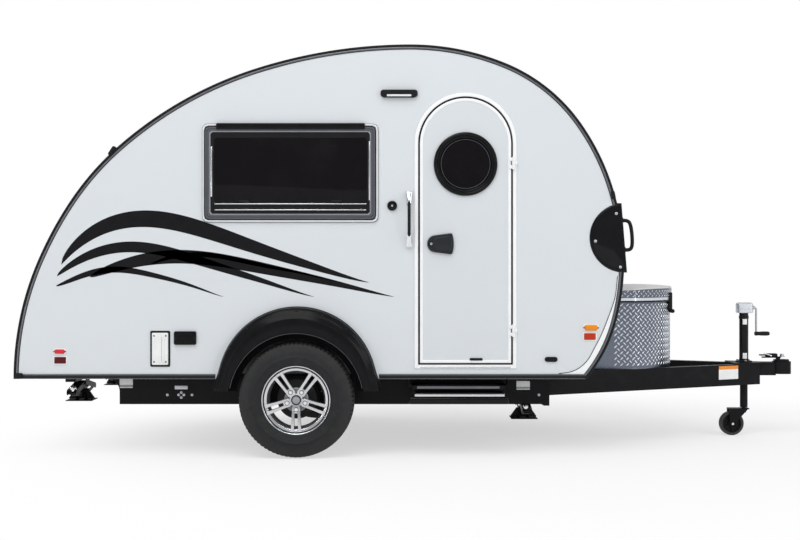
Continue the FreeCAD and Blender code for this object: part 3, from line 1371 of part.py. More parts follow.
def gas_tub():
    """Tread-plate tub with the fixed halves of the lid hinges."""
    low, wall = S.floor_bottom, S.tub_wall
    outer = tub_block("tub_outer", size_of(0), low, TUB_TOP)
    inner = tub_block("tub_inner", wall, low + wall, TUB_TOP + 1)
    back = NOSE_X + S.tub_back
    hinge_x, hinge_z = back - S.lid_hinge_back, TUB_TOP + S.lid_hinge_rise
    pieces = []
    for index, middle in lid_hinges():
        pieces.append(rod("tub_knuckle_%d" % index, (hinge_x, middle - 60, hinge_z), "y", 6, 55))
        pieces.append(box(
            "tub_hinge_leaf_%d" % index, (hinge_x - 6, middle - 60, TUB_TOP - 40),
            (hinge_x - 2, middle - 5, hinge_z),
        ))
        pieces.append(rod("tub_pin_%d" % index, (hinge_x, middle - 60, hinge_z), "y", 3, 115))
    tub = join("tub_fuse", cut("tub_shell", outer, inner), *pieces)
    node("gas_tub", tub)


def tub_lid():
    """Crowned lid that overlaps the rim of the tub."""
    wall, gap = S.tub_wall, S.lid_gap
    back = NOSE_X + S.tub_back
    hinge_x, hinge_z = back - S.lid_hinge_back, TUB_TOP + S.lid_hinge_rise
    top = LID_SHOULDER + S.lid_crown
    sweep = S.tub_half_width + gap + wall
    plan = bow_outline(back, S.tub_straight + gap, S.tub_length + gap + wall, sweep)
    blank = prism("lid_plan", "XY", plan, top - LID_LOW)
    place(blank, 0, 0, LID_LOW)
    crown_radius = (sweep * sweep + S.lid_crown * S.lid_crown) / (S.lid_crown * 2)
    middle_x = back + S.tub_length / 2
    dome = ball("lid_dome", (middle_x, 0, top - crown_radius), crown_radius)
    shape = common("lid_blank", blank, dome)
    inner_plan = bow_outline(
        back + wall, S.tub_straight + gap - wall, S.tub_length + gap - wall, S.tub_half_width + gap,
    )
    inner_blank = prism("lid_inner_plan", "XY", inner_plan, top - LID_LOW)
    place(inner_blank, 0, 0, LID_LOW - 10)
    inner_dome = ball("lid_inner_dome", (middle_x, 0, top - crown_radius - wall), crown_radius)
    hollow = common("lid_hollow", inner_blank, inner_dome)
    slot_cut = box(
        "lid_back_cut", (back - 1, -S.tub_half_width - 1, LID_LOW - 1),
        (back + wall + 1, S.tub_half_width + 1, TUB_TOP + gap),
    )
    lid_pieces, bores = [cut("lid_shell", shape, hollow, slot_cut)], []
    for index, middle in lid_hinges():
        lid_pieces.append(rod("lid_knuckle_%d" % index, (hinge_x, middle - 4, hinge_z), "y", 6, 58))
        lid_pieces.append(box(
            "lid_hinge_leaf_%d" % index, (hinge_x, middle - 4, hinge_z - 6),
            (back + 2, middle + 54, hinge_z - 2),
        ))
        bores.append(rod("lid_bore_%d" % index, (hinge_x, middle - 5, hinge_z), "y", 3 + S.pin_play, 60))
    node("tub_lid", cut("lid_cut", join("lid_fuse", *lid_pieces), *bores))


def gas_bottle():
    """Bottle with its collar and valve, standing in the tub."""
    bottle_x, base = NOSE_X + S.tub_back + S.bottle_ahead, S.floor_bottom + S.tub_wall
    radius = S.bottle_radius
    can = rod("bottle_can", (bottle_x, 0, base), "z", radius, S.bottle_height - 90)
    shoulder = DOC.addObject("Part::Cone", "bottle_shoulder")
    bind(shoulder, Radius1=radius, Radius2=radius * 0.6, Height=40)
    place(shoulder, bottle_x, 0, base + S.bottle_height - 90)
    collar = rod("bottle_collar", (bottle_x, 0, base + S.bottle_height - 60), "z", radius * 0.62, 60)
    collar_hollow = rod(
        "bottle_collar_hollow", (bottle_x, 0, base + S.bottle_height - 45), "z", radius * 0.62 - 4, 60,
    )
    valve = rod("bottle_valve", (bottle_x, 0, base + S.bottle_height - 60), "z", 16, 50)
    collar_cut = cut("bottle_collar_cut", collar, collar_hollow)
    node("gas_bottle", join("bottle_fuse", can, shoulder, collar_cut, valve))


# ---------------------------------------------------------------------------------------
# Folding double step
# ---------------------------------------------------------------------------------------
def entry_step():
    """Fixed cheeks, two pairs of links and two treads, folded under the floor."""
    middle = DOOR_X - S.step_back
    x0, x1 = middle - S.step_width / 2, middle + S.step_width / 2
    plate, gap, pin = S.step_plate, 5, S.step_pin
    layer = plate + gap
    run, drop = S.step_link * cosine(S.step_fold_angle), S.step_link * sine(S.step_fold_angle)
    first = (-S.step_pivot_out, S.step_pivot_height)
    upper = (first[0] + run, first[1] - drop)
    second = (upper[0] - 150, upper[1] - 31)
    lower = (second[0] + run, second[1] - drop)
    bore = pin + S.pin_play
    tread_in, tread_out = 18, S.step_tread_depth - 18
    half = S.step_tread_height / 2

    def ends(depth):
        """Near faces of a pair of plates, that many layers in from the outside."""
        return (x0 + layer * depth, x1 - layer * depth - plate)

    fixed, arms, treads = [], {}, {}
    for end, (start, way) in enumerate(((ends(0)[0], 1), (ends(0)[1], -1))):
        outline = (
            (first[0] - 12, first[1] - 14), (first[0] + 30, first[1] - 14),
            (upper[0] + 8, S.floor_bottom - 30),
            (upper[0] + 8, S.floor_bottom), (first[0], S.floor_bottom), (first[0] - 12, first[1] + 12),
        )
        fixed.append(place(prism("step_cheek_%d" % end, "YZ", outline, plate), start, 0, 0))
        pin_start = start if way > 0 else start - layer
        fixed.append(rod("step_pin_%d" % end, (pin_start, *first), "x", pin, layer + plate))
    fixed.append(box(
        "step_tie", (x0, upper[0] - 20, S.floor_bottom - 5), (x1, upper[0] + 8, S.floor_bottom),
    ))
    node("step_frame", join("step_frame_fuse", *fixed))
    for name, pivot, depth in (("upper", first, 1), ("lower", second, 3)):
        pair = []
        for end, start in enumerate(ends(depth)):
            bar = prism("step_arm_%s_%d" % (name, end), "YZ", slot(pivot, run, -drop, 10), plate, holes=(
                (pivot[0], pivot[1], bore), (pivot[0] + run, pivot[1] - drop, bore),
            ))
            pair.append(place(bar, start, 0, 0))
        node("step_arms_" + name, group("step_arms_%s_pair" % name, *pair))
    for name, pivot, depth in (("upper", upper, 2), ("lower", lower, 4)):
        z = pivot[1]
        starts = ends(depth)
        low = (starts[0], pivot[0] - tread_out, z - half)
        high = (starts[1] + plate, pivot[0] + tread_in, z + half)
        board = box("step_board_" + name, low, high)
        hollow = box(
            "step_board_hollow_" + name, (low[0] + plate, low[1] + plate, low[2] - 1),
            (high[0] - plate, high[1] - plate, high[2] - 4),
        )
        pieces = [cut("step_board_cut_" + name, board, hollow)]
        for end, start in enumerate(starts):
            outward = start - layer if end == 0 else start
            pieces.append(rod("step_pin_%s_%d" % (name, end), (outward, *pivot), "x", pin, layer + plate))
            if name == "upper":
                ear = rectangle((second[0] - 9, second[1] - 9), (second[0] + 9, z))
                pieces.append(place(prism("step_ear_%d" % end, "YZ", ear, plate), start, 0, 0))
                inward = start if end == 0 else start - layer
                pieces.append(rod("step_ear_pin_%d" % end, (inward, *second), "x", pin, layer + plate))
        node("step_tread_" + name, join("step_tread_%s_fuse" % name, *pieces))


# ---------------------------------------------------------------------------------------
# Cabin furniture
# ---------------------------------------------------------------------------------------
BENCH_IN = HALF_CABIN - S.bench_depth
BENCH_REAR = REAR_X + S.bench_rear
BENCH_FRONT = BENCH_REAR + S.bench_length
CROSS_FRONT = BENCH_REAR + S.bench_cross


def wheel_box_cuts(name):
    """Blocks that clear the wheel boxes."""
    gap, cuts = S.seat_gap, []
    reach = ARCH_RADIUS + S.well_ends + gap
    for side, sign in (("right", -1), ("left", 1)):
        outs = sorted((sign * (WELL_IN - gap), sign * (HALF_CABIN + 10)), key=lambda size: size.value)
        cuts.append(box(
            name + "_" + side, (WHEEL_X - reach, outs[0], S.floor_bottom),
            (WHEEL_X + reach, outs[1], WELL_TOP + gap),
        ))
    return cuts


def fitted(name, piece):
    """A piece of furniture cut to the wheel boxes and to the skin."""
    room = common(name + "_room", piece, cabin_core(name + "_core"))
    return cut(name, room, *wheel_box_cuts(name + "_well"))


def benches():
    """Top and face of the side benches and of the bench across the tail."""
    ply, top = S.ply_thickness, FLOOR_TOP + S.bench_height
    pieces = []
    for side, sign in (("right", -1), ("left", 1)):
        outs = sorted((sign * BENCH_IN, sign * HALF_CABIN), key=lambda size: size.value)
        faces = sorted((sign * BENCH_IN, sign * (BENCH_IN + ply)), key=lambda size: size.value)
        lid = box("bench_top_" + side, (BENCH_REAR, outs[0], top - ply), (BENCH_FRONT, outs[1], top))
        face = box("bench_face_" + side, (BENCH_REAR, faces[0], FLOOR_TOP), (BENCH_FRONT, faces[1], top - ply))
        pieces.append(fitted("bench_" + side, join("bench_blank_" + side, lid, face)))
    half = BENCH_IN - 1
    lid = box("bench_top_rear", (BENCH_REAR, -half, top - ply), (CROSS_FRONT, half, top))
    face = box("bench_face_rear", (CROSS_FRONT - ply, -half, FLOOR_TOP), (CROSS_FRONT, half, top - ply))
    pieces.append(join("bench_rear", lid, face))
    return pieces


def galley():
    """Cabinet in the nose, open to the front, with its worktop."""
    ply, depth, right = S.ply_thickness, S.galley_depth, -HALF_CABIN + S.galley_start
    x, top = NOSE_FOOT_X - S.galley_back - S.galley_depth, FLOOR_TOP + S.galley_height
    blank = box("galley_blank", (x, right, FLOOR_TOP), (x + depth, HALF_CABIN, top))
    hollow = box(
        "galley_hollow", (x + ply, right + ply, FLOOR_TOP - 1), (x + depth + 10, HALF_CABIN - ply, top - ply),
    )
    worktop = box("galley_worktop", (x - 12, right - 12, top), (x + depth + 60, HALF_CABIN, top + 24))
    return fitted("galley", join("galley_fuse", cut("galley_carcass", blank, hollow), worktop))


def furniture():
    """Benches round the tail and the galley cabinet in the nose."""
    node("furniture", group("furniture_group", *benches(), galley()))


def seat_cushions():
    """Three cushions on the benches."""
    gap, seat, top = S.seat_gap, S.cushion_thickness, FLOOR_TOP + S.bench_height
    rear = BENCH_REAR + 60
    cushions = []
    for side, sign in (("right", -1), ("left", 1)):
        outs = sorted((sign * (BENCH_IN + 2), sign * (HALF_CABIN - gap)), key=lambda size: size.value)
        block = box("seat_block_" + side, (rear, outs[0], top + gap), (BENCH_FRONT - 4, outs[1], top + seat))
        cushions.append(cut("seat_" + side, block, *wheel_box_cuts("seat_well_" + side)))
    half = BENCH_IN - 8
    cushions.append(box("seat_rear", (rear, -half, top + gap), (CROSS_FRONT - 4, half, top + seat)))
    node("seat_cushions", group("cushion_group", *cushions))


# ---------------------------------------------------------------------------------------
# Build, check and write
# ---------------------------------------------------------------------------------------
def build():
    """Make every sub-part."""
    side_walls()
    roof_shell()
    cabin_floor()
    door_frame()
    entry_door()
    door_window()
    window_glass()
    grab_handles()
    lamps()
    roof_vent()
    fenders()
    frame_rails()
    crossmembers()
    tongue_beams()
    coupler()
    jack_post()
    jack_leg()
    caster()
    axle()
    wheels()
    gas_tub()
    tub_lid()
    gas_bottle()
    entry_step()
    for place_name, x, mount in STABILIZERS:
        for side, sign in (("right", -1), ("left", 1)):
            stabilizer(place_name, side, x, mount, sign)
    furniture()
    seat_cushions()
    DOC.recompute()


def check():
    """Stop on a failed object or a bad shape."""
    faults = []
    for thing in DOC.Objects:
        if {"Invalid", "Error"} & set(thing.State):
            faults.append("%s: %s" % (thing.Label, thing.State))
    for name, thing in NODES.items():
        shape = thing.Shape
        if shape.isNull() or not shape.isValid() or not shape.Solids:
            faults.append("%s: bad shape" % name)
    if faults:
        raise RuntimeError("; ".join(faults))


def write():
    """Write each sub-part as its own file."""
    os.makedirs("parts", exist_ok=True)
    for name, thing in NODES.items():
        thing.Shape.exportStep("parts/%s.step" % name)


build()
check()
write()
print("%d sub-parts" % len(NODES))
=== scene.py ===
"""Looks of a teardrop travel trailer: finishes, fittings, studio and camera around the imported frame."""

from __future__ import annotations

import json
import logging
import math
from dataclasses import dataclass, field
from enum import Enum
from typing import Sequence, Union

import bmesh
import bpy
import numpy as np
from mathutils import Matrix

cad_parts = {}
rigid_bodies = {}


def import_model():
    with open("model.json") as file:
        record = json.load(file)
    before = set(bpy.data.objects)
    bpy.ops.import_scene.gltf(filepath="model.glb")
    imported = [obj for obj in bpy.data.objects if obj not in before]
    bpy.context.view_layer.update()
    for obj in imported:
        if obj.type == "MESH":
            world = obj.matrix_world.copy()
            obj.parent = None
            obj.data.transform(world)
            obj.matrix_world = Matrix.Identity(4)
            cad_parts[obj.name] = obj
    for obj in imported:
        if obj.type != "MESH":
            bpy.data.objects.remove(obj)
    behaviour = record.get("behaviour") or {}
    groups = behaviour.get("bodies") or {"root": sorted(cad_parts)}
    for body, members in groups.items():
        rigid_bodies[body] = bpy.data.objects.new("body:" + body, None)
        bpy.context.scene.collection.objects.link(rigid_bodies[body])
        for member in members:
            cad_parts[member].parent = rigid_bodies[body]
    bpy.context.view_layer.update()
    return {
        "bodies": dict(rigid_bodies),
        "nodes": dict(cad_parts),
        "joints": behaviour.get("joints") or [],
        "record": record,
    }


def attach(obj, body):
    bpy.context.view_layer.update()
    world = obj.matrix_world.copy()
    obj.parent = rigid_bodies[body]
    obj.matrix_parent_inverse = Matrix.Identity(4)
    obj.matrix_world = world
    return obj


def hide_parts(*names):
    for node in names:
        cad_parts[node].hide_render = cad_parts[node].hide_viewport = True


LOG = logging.getLogger("trailer")
TAU = 2 * math.pi

REAR_X = -2.325
BODY_LOW = 0.443
BODY_LENGTH = 3.424
BODY_HEIGHT = 1.876
HALF_BODY = 0.930
WHEEL_X = -0.739
WHEEL_Z = 0.326
WHEEL_Y = 0.890
DOOR_X = 0.211
DOOR_LOW = 0.528
DOOR_TOP = 2.025
DOOR_HALF = 0.261
DOOR_FACE = -0.934
PORTHOLE_Z = 1.650

Array = np.ndarray
Number = Union[int, float]


class Side(Enum):
    """The two long sides of the trailer, by the sign of Y."""

    RIGHT = -1
    LEFT = 1


class Axis(Enum):
    """A coordinate axis, by its column."""

    X = 0
    Y = 1
    Z = 2


# ---------------------------------------------------------------------------------------
# Surfaces
# ---------------------------------------------------------------------------------------
@dataclass
class Shape:
    """Points with faces of one or more sizes, before they become a mesh."""

    points: Array
    faces: list[Array] = field(default_factory=list)

    def __add__(self, other: "Shape") -> "Shape":
        """Both shapes in one."""
        moved = [block + len(self.points) for block in other.faces]
        return Shape(np.vstack([self.points, other.points]), self.faces + moved)

    def moved(self, x: Number = 0, y: Number = 0, z: Number = 0) -> "Shape":
        """The shape shifted along the axes."""
        return Shape(self.points + np.array([x, y, z], float), self.faces)

    def turned(self, axis: Axis, degrees: Number, about: Sequence[float] = (0, 0, 0)) -> "Shape":
        """The shape turned about a line along an axis.

        Args:
            axis: direction of the line.
            degrees: angle, right-handed.
            about: a point on the line.

        Returns:
            The turned shape.
        """
        c, s = math.cos(math.radians(degrees)), math.sin(math.radians(degrees))
        i, j = {Axis.X: (1, 2), Axis.Y: (2, 0), Axis.Z: (0, 1)}[axis]
        matrix = np.eye(3)
        matrix[i, i], matrix[i, j], matrix[j, i], matrix[j, j] = c, -s, s, c
        origin = np.array(about, float)
        return Shape((self.points - origin) @ matrix.T + origin, self.faces)

    def mirrored(self, axis: Axis = Axis.Y) -> "Shape":
        """The shape on the other side of the middle plane of an axis, its faces still outward.

        Args:
            axis: the axis whose sign changes.

        Returns:
            The mirrored shape.
        """
        sign = np.ones(3)
        sign[axis.value] = -1
        return Shape(self.points * sign, [block[:, ::-1] for block in self.faces])

    def both_sides(self) -> "Shape":
        """The shape with its mirror image across the trailer."""
        return self + self.mirrored(Axis.Y)

    def ring_of(self, count: int, axis: Axis, about: Sequence[float], start: Number = 0) -> "Shape":
        """Copies of the shape evenly round a line along an axis.

        Args:
            count: number of copies.
            axis: direction of the line.
            about: a point on the line.
            start: angle of the first copy, in degrees.

        Returns:
            All the copies in one shape.
        """
        whole = self.turned(axis, start, about)
        for index in range(1, count):
            whole = whole + self.turned(axis, start + 360 * index / count, about)
        return whole

    def copied(self, offsets: Array) -> "Shape":
        """One copy of the shape at each offset, as whole arrays.

        Args:
            offsets: one row of x, y, z for each copy.

        Returns:
            The copies as one shape.
        """
        offsets = np.atleast_2d(np.asarray(offsets, float))
        count, size = len(offsets), len(self.points)
        points = (self.points[None] + offsets[:, None]).reshape(-1, 3)
        steps = (np.arange(count) * size)[:, None, None]
        faces = [(block[None] + steps).reshape(-1, block.shape[1]) for block in self.faces]
        return Shape(points, faces)


def joined(shapes: Sequence[Shape]) -> Shape:
    """Several shapes in one.

    Args:
        shapes: the shapes, in order.

    Returns:
        One shape that holds them all.
    """
    whole = shapes[0]
    for other in shapes[1:]:
        whole = whole + other
    return whole


def grid(points: Array, around: bool = False, along: bool = False, caps: bool = False) -> Shape:
    """A surface through rows of points: each face joins two neighbours in two neighbouring rows.

    Args:
        points: array of rows, points in a row, 3.
        around: whether each row closes on itself.
        along: whether the last row joins the first.
        caps: whether the first and last rows are filled with one face each.

    Returns:
        The surface.
    """
    rows, columns = points.shape[:2]
    index = np.arange(rows * columns).reshape(rows, columns)
    if around:
        index = np.hstack([index, index[:, :1]])
    if along:
        index = np.vstack([index, index[:1]])
    quads = np.stack([index[:-1, :-1], index[1:, :-1], index[1:, 1:], index[:-1, 1:]], -1).reshape(-1, 4)
    faces = [quads]
    if caps:
        ring = np.arange(rows * columns).reshape(rows, columns)
        faces += [ring[:1], ring[-1:, ::-1]]
    return Shape(points.reshape(-1, 3).astype(float), faces)


def circle(radius: Number, count: int = 48, start: Number = 0) -> Array:
    """Points of a circle in a plane, counter-clockwise: radius times the cosine and sine of the angle."""
    angle = np.linspace(0, TAU, count, endpoint=False) + math.radians(start)
    return np.stack([radius * np.cos(angle), radius * np.sin(angle)], -1)


def box_outline(width: Number, height: Number,
                corner: Union[Number, Sequence[float]], steps: int = 6) -> Array:
    """A rectangle with round corners about the origin, counter-clockwise from the lower right.

    Each corner is a quarter circle whose centre lies one radius in from both sides.

    Args:
        width: overall width.
        height: overall height.
        corner: radius of every corner, or of the lower right, upper right, upper left and lower left.
        steps: points in each corner.

    Returns:
        The points, one row each.
    """
    radii = np.broadcast_to(np.asarray(corner, float), (4,))
    signs = np.array([(1, -1), (1, 1), (-1, 1), (-1, -1)], float)
    starts = np.radians([-90, 0, 90, 180])
    angle = starts[:, None] + np.linspace(0, math.pi / 2, steps)[None]
    centre = signs * (np.array([width, height]) / 2 - radii[:, None])
    ring = centre[:, None] + radii[:, None, None] * np.stack([np.cos(angle), np.sin(angle)], -1)
    return ring.reshape(-1, 2)


def resampled(outline: Array, count: int, closed: bool = True) -> Array:
    """Points evenly spaced along an outline, by its running length.

    Args:
        outline: points in two or three dimensions.
        count: how many points to give back.
        closed: whether the outline returns to its first point.

    Returns:
        The evenly spaced points.
    """
    if closed:
        outline = np.vstack([outline, outline[:1]])
    step = np.linalg.norm(np.diff(outline, axis=0), axis=1)
    run = np.concatenate([[0], np.cumsum(step)])
    wanted = np.linspace(0, run[-1], count, endpoint=not closed)
    return np.stack([np.interp(wanted, run, outline[:, i]) for i in range(outline.shape[1])], -1)


def outward(outline: Array, closed: bool = True) -> Array:
    """Unit normals of a plane outline, to the right of its direction of travel.

    Args:
        outline: points in order.
        closed: whether the last point meets the first.

    Returns:
        One unit normal a point.
    """
    if closed:
        way = np.roll(outline, -1, 0) - np.roll(outline, 1, 0)
    else:
        way = np.gradient(outline, axis=0)
    way /= np.maximum(np.linalg.norm(way, axis=1, keepdims=True), 1e-12)
    return np.stack([way[:, 1], -way[:, 0]], -1)


def upright(outline: Array, y: Union[Number, Array]) -> Array:
    """Plane points stood up across the trailer: first value to X, second to Z, at one Y."""
    return np.stack([outline[:, 0], np.broadcast_to(y, len(outline)), outline[:, 1]], -1)


def slab(outline: Array, near: Number, far: Number, edge: Number = 0.0, steps: int = 3) -> Shape:
    """A plate between two Y planes whose near edge is rounded.

    The outline is repeated on a quarter circle: each ring steps inward as it nears the near face.

    Args:
        outline: counter-clockwise X and Z points.
        near: Y of the face with the rounded edge.
        far: Y of the plain face.
        edge: radius of the rounded edge.
        steps: rings in that edge.

    Returns:
        The closed plate.
    """
    sign = math.copysign(1, far - near)
    normal = outward(outline)
    rings = [upright(outline, far)]
    if edge:
        for angle in np.linspace(0, math.pi / 2, steps + 1):
            inset = edge * (1 - math.cos(angle))
            rings.append(upright(outline - normal * inset, near + sign * edge * (1 - math.sin(angle))))
    else:
        rings.append(upright(outline, near))
    return grid(np.stack(rings), around=True, caps=True)


def frame_band(outer: Array, inner: Array, section: Sequence[tuple[float, float]]) -> Shape:
    """A closed band between two outlines with equal counts.

    Each section row gives a share of the way from the outer to the inner outline and a Y, and
    the section closes on itself.

    Args:
        outer: outer X and Z points.
        inner: inner X and Z points, as many as the outer.
        section: rows of share and Y, in order round the section.

    Returns:
        The closed band.
    """
    rings = [upright(outer + (inner - outer) * share, y) for share, y in section]
    return grid(np.stack(rings), around=True, along=True)


def lathe(profile: Sequence[tuple[float, float]], axis: Axis, centre: Sequence[float], steps: int = 64,
          closed: bool = False) -> Shape:
    """A profile turned round a line: radius times cosine and sine, and the height along the line.

    Args:
        profile: rows of radius and height along the axis.
        axis: direction of the line.
        centre: a point on the line, where the height is zero.
        steps: points round the line.
        closed: whether the profile closes on itself, as a ring's does.

    Returns:
        The turned surface.
    """
    rows = np.asarray(profile, float)
    angle = np.linspace(0, TAU, steps, endpoint=False)
    across = rows[:, :1] * np.cos(angle), rows[:, :1] * np.sin(angle)
    height = np.broadcast_to(rows[:, 1:], across[0].shape)
    order = {Axis.X: (2, 0, 1), Axis.Y: (1, 2, 0), Axis.Z: (0, 1, 2)}[axis]
    parts = (across[0], across[1], height)
    points = np.stack([parts[i] for i in order], -1) + np.asarray(centre, float)
    return grid(points, around=True, along=closed)


def frames_along(path: Array, closed: bool = False, up: Sequence[float] = (0, 0, 1)) -> tuple[Array, Array]:
    """Two unit vectors across a path at each point: the side is the tangent crossed with up.

    Args:
        path: points of the path.
        closed: whether the path is a loop.
        up: a direction that the path never follows.

    Returns:
        The side and upper vectors.
    """
    if closed:
        way = np.roll(path, -1, 0) - np.roll(path, 1, 0)
    else:
        way = np.gradient(path, axis=0)
    way /= np.maximum(np.linalg.norm(way, axis=1, keepdims=True), 1e-12)
    side = np.cross(way, np.asarray(up, float))
    side /= np.maximum(np.linalg.norm(side, axis=1, keepdims=True), 1e-12)
    return side, np.cross(side, way)


def sweep(section: Array, path: Array, up: Sequence[float] = (0, 0, 1), closed: bool = False,
          swell: Union[Array, None] = None) -> Shape:
    """A section carried along a path: each point is the path point plus section values times its side and
    upper vectors.

    Args:
        section: rows of side and upper distance, closed.
        path: points of the path.
        up: a direction that the path never follows.
        closed: whether the path is a loop.
        swell: scale of the section at each path point.

    Returns:
        The closed surface.
    """
    side, over = frames_along(path, closed, up)
    if swell is not None:
        side, over = side * swell[:, None], over * swell[:, None]
    points = path[:, None] + section[None, :, :1] * side[:, None] + section[None, :, 1:] * over[:, None]
    return grid(points, around=True, along=closed, caps=not closed)


def tube(path: Sequence[Sequence[float]], radius: Number, up: Sequence[float] = (0, 0, 1), count: int = 16,
         bend: int = 0, closed: bool = False) -> Shape:
    """A round bar along a path.

    Args:
        path: points of its centre line.
        radius: radius of the bar.
        up: a direction that the path never follows.
        count: points round the bar.
        bend: rounds of corner cutting that smooth the path.
        closed: whether the path is a loop.

    Returns:
        The closed bar.
    """
    line = np.asarray(path, float)
    for _ in range(bend):
        ahead = line[1:]
        back = line[:-1]
        cut = np.stack([back * 0.75 + ahead * 0.25, back * 0.25 + ahead * 0.75], 1).reshape(-1, 3)
        line = np.vstack([line[:1], cut, line[-1:]])
    return sweep(circle(radius, count), line, up, closed)


def block(low: Sequence[float], high: Sequence[float], edge: Number = 0.002, steps: int = 2) -> Shape:
    """A box with every edge rounded: each point of a fine box is pulled to the edge radius of the inner
    box.

    Args:
        low: lowest corner.
        high: highest corner.
        edge: radius of the edges.
        steps: faces across each rounded edge.

    Returns:
        The closed box.
    """
    low, high = np.asarray(low, float), np.asarray(high, float)
    edge = min(edge, (high - low).min() / 2.01)
    angle = np.linspace(0, math.pi / 2, steps + 1)
    outline = box_outline(high[0] - low[0], high[1] - low[1], edge, steps + 1)
    centre = (low + high) / 2
    normal = outward(outline)
    rings = []
    for sign, turn in ((-1, angle[::-1]), (1, angle)):
        for a in turn:
            inset = edge * (1 - math.cos(a))
            z = sign * ((high[2] - low[2]) / 2 - edge * (1 - math.sin(a)))
            flat = outline - normal * inset + centre[:2]
            rings.append(np.column_stack([flat, np.full(len(flat), centre[2] + z)]))
    return grid(np.stack(rings), around=True, caps=True)


def bolt_head(radius: Number, height: Number) -> Shape:
    """A hexagon head with a washer, standing on the origin along +Z: rings of six or more points at rising
    heights.

    Args:
        radius: middle to a corner.
        height: height of the head.

    Returns:
        The head with its washer.
    """
    washer = lathe([(0, 0), (radius * 1.35, 0), (radius * 1.35, height * 0.18), (0, height * 0.18)],
                   Axis.Z, (0, 0, 0), 18)
    rows = [(radius, height * 0.18), (radius, height * 0.9), (radius * 0.86, height), (0, height)]
    return washer + lathe(rows, Axis.Z, (0, 0, 0), 6)


def screw_head(radius: Number) -> Shape:
    """A domed screw head on the origin along +Z: its height falls with the cosine over the radius.

    Args:
        radius: radius of the head.

    Returns:
        The head.
    """
    rows = [(0, 0), (radius, 0), (radius * 0.96, radius * 0.16), (radius * 0.7, radius * 0.36),
            (radius * 0.34, radius * 0.44), (radius * 0.28, radius * 0.22), (0, radius * 0.22)]
    return lathe(rows, Axis.Z, (0, 0, 0), 14)


# ---------------------------------------------------------------------------------------
# Materials
# ---------------------------------------------------------------------------------------
Colour = tuple[float, float, float]
Source = Union["Signal", bpy.types.NodeSocket, Number, tuple]


class Signal:
    """A number that varies over a surface; Python's operators on it add Math nodes."""

    def __init__(self, paint: "Paint", socket: bpy.types.NodeSocket) -> None:
        """Keeps the socket and the tree that it is in."""
        self.paint = paint
        self.socket = socket

    def maths(self, operation: str, *values: Source, clamp: bool = False) -> "Signal":
        """One Math node on this and other values, in order.

        Args:
            operation: the node's operation.
            *values: the other inputs, in order.
            clamp: whether the result stays between 0 and 1.

        Returns:
            The result.
        """
        settings = {"operation": operation, "use_clamp": clamp}
        made = self.paint.node("Math", settings, dict(enumerate((self,) + values)))
        return Signal(self.paint, made.outputs[0])

    def flipped(self, operation: str, value: Source) -> "Signal":
        """One Math node with the other value first."""
        made = self.paint.node("Math", {"operation": operation}, {0: value, 1: self})
        return Signal(self.paint, made.outputs[0])

    def __add__(self, value: Source) -> "Signal":
        """Sum."""
        return self.maths("ADD", value)

    def __radd__(self, value: Source) -> "Signal":
        """Sum, from the right."""
        return self.maths("ADD", value)

    def __sub__(self, value: Source) -> "Signal":
        """Difference."""
        return self.maths("SUBTRACT", value)

    def __rsub__(self, value: Source) -> "Signal":
        """Difference, from the right."""
        return self.flipped("SUBTRACT", value)

    def __mul__(self, value: Source) -> "Signal":
        """Product."""
        return self.maths("MULTIPLY", value)

    def __rmul__(self, value: Source) -> "Signal":
        """Product, from the right."""
        return self.maths("MULTIPLY", value)

    def __truediv__(self, value: Source) -> "Signal":
        """Quotient."""
        return self.maths("DIVIDE", value)

    def __rtruediv__(self, value: Source) -> "Signal":
        """Quotient, from the right."""
        return self.flipped("DIVIDE", value)

    def __pow__(self, value: Source) -> "Signal":
        """Power."""
        return self.maths("POWER", value)

    def __gt__(self, value: Source) -> "Signal":
        """One where this is greater, nought elsewhere."""
        return self.maths("GREATER_THAN", value)

    def __abs__(self) -> "Signal":
        """Size without sign."""
        return self.maths("ABSOLUTE")

    def sine(self) -> "Signal":
        """Sine of the value in radians."""
        return self.maths("SINE")

    def root(self) -> "Signal":
        """Square root."""
        return self.maths("SQRT")

    def clamped(self) -> "Signal":
        """The value kept from nought to one."""
        return self.maths("ADD", 0.0, clamp=True)

    def wave(self, step: Number) -> "Signal":
        """A smooth wave from nought to one that repeats at each step."""
        return (self * (TAU / step)).sine() * 0.5 + 0.5

    def rise(self, start: Number, end: Number) -> "Signal":
        """A smooth step from nought at the start to one at the end.

        Args:
            start: the value where it is nought.
            end: the value where it is one.

        Returns:
            The step.
        """
        made = self.paint.node("MapRange", {"interpolation_type": "SMOOTHSTEP"},
                               {0: self, 1: start, 2: end, 3: 0.0, 4: 1.0})
        return Signal(self.paint, made.outputs[0])


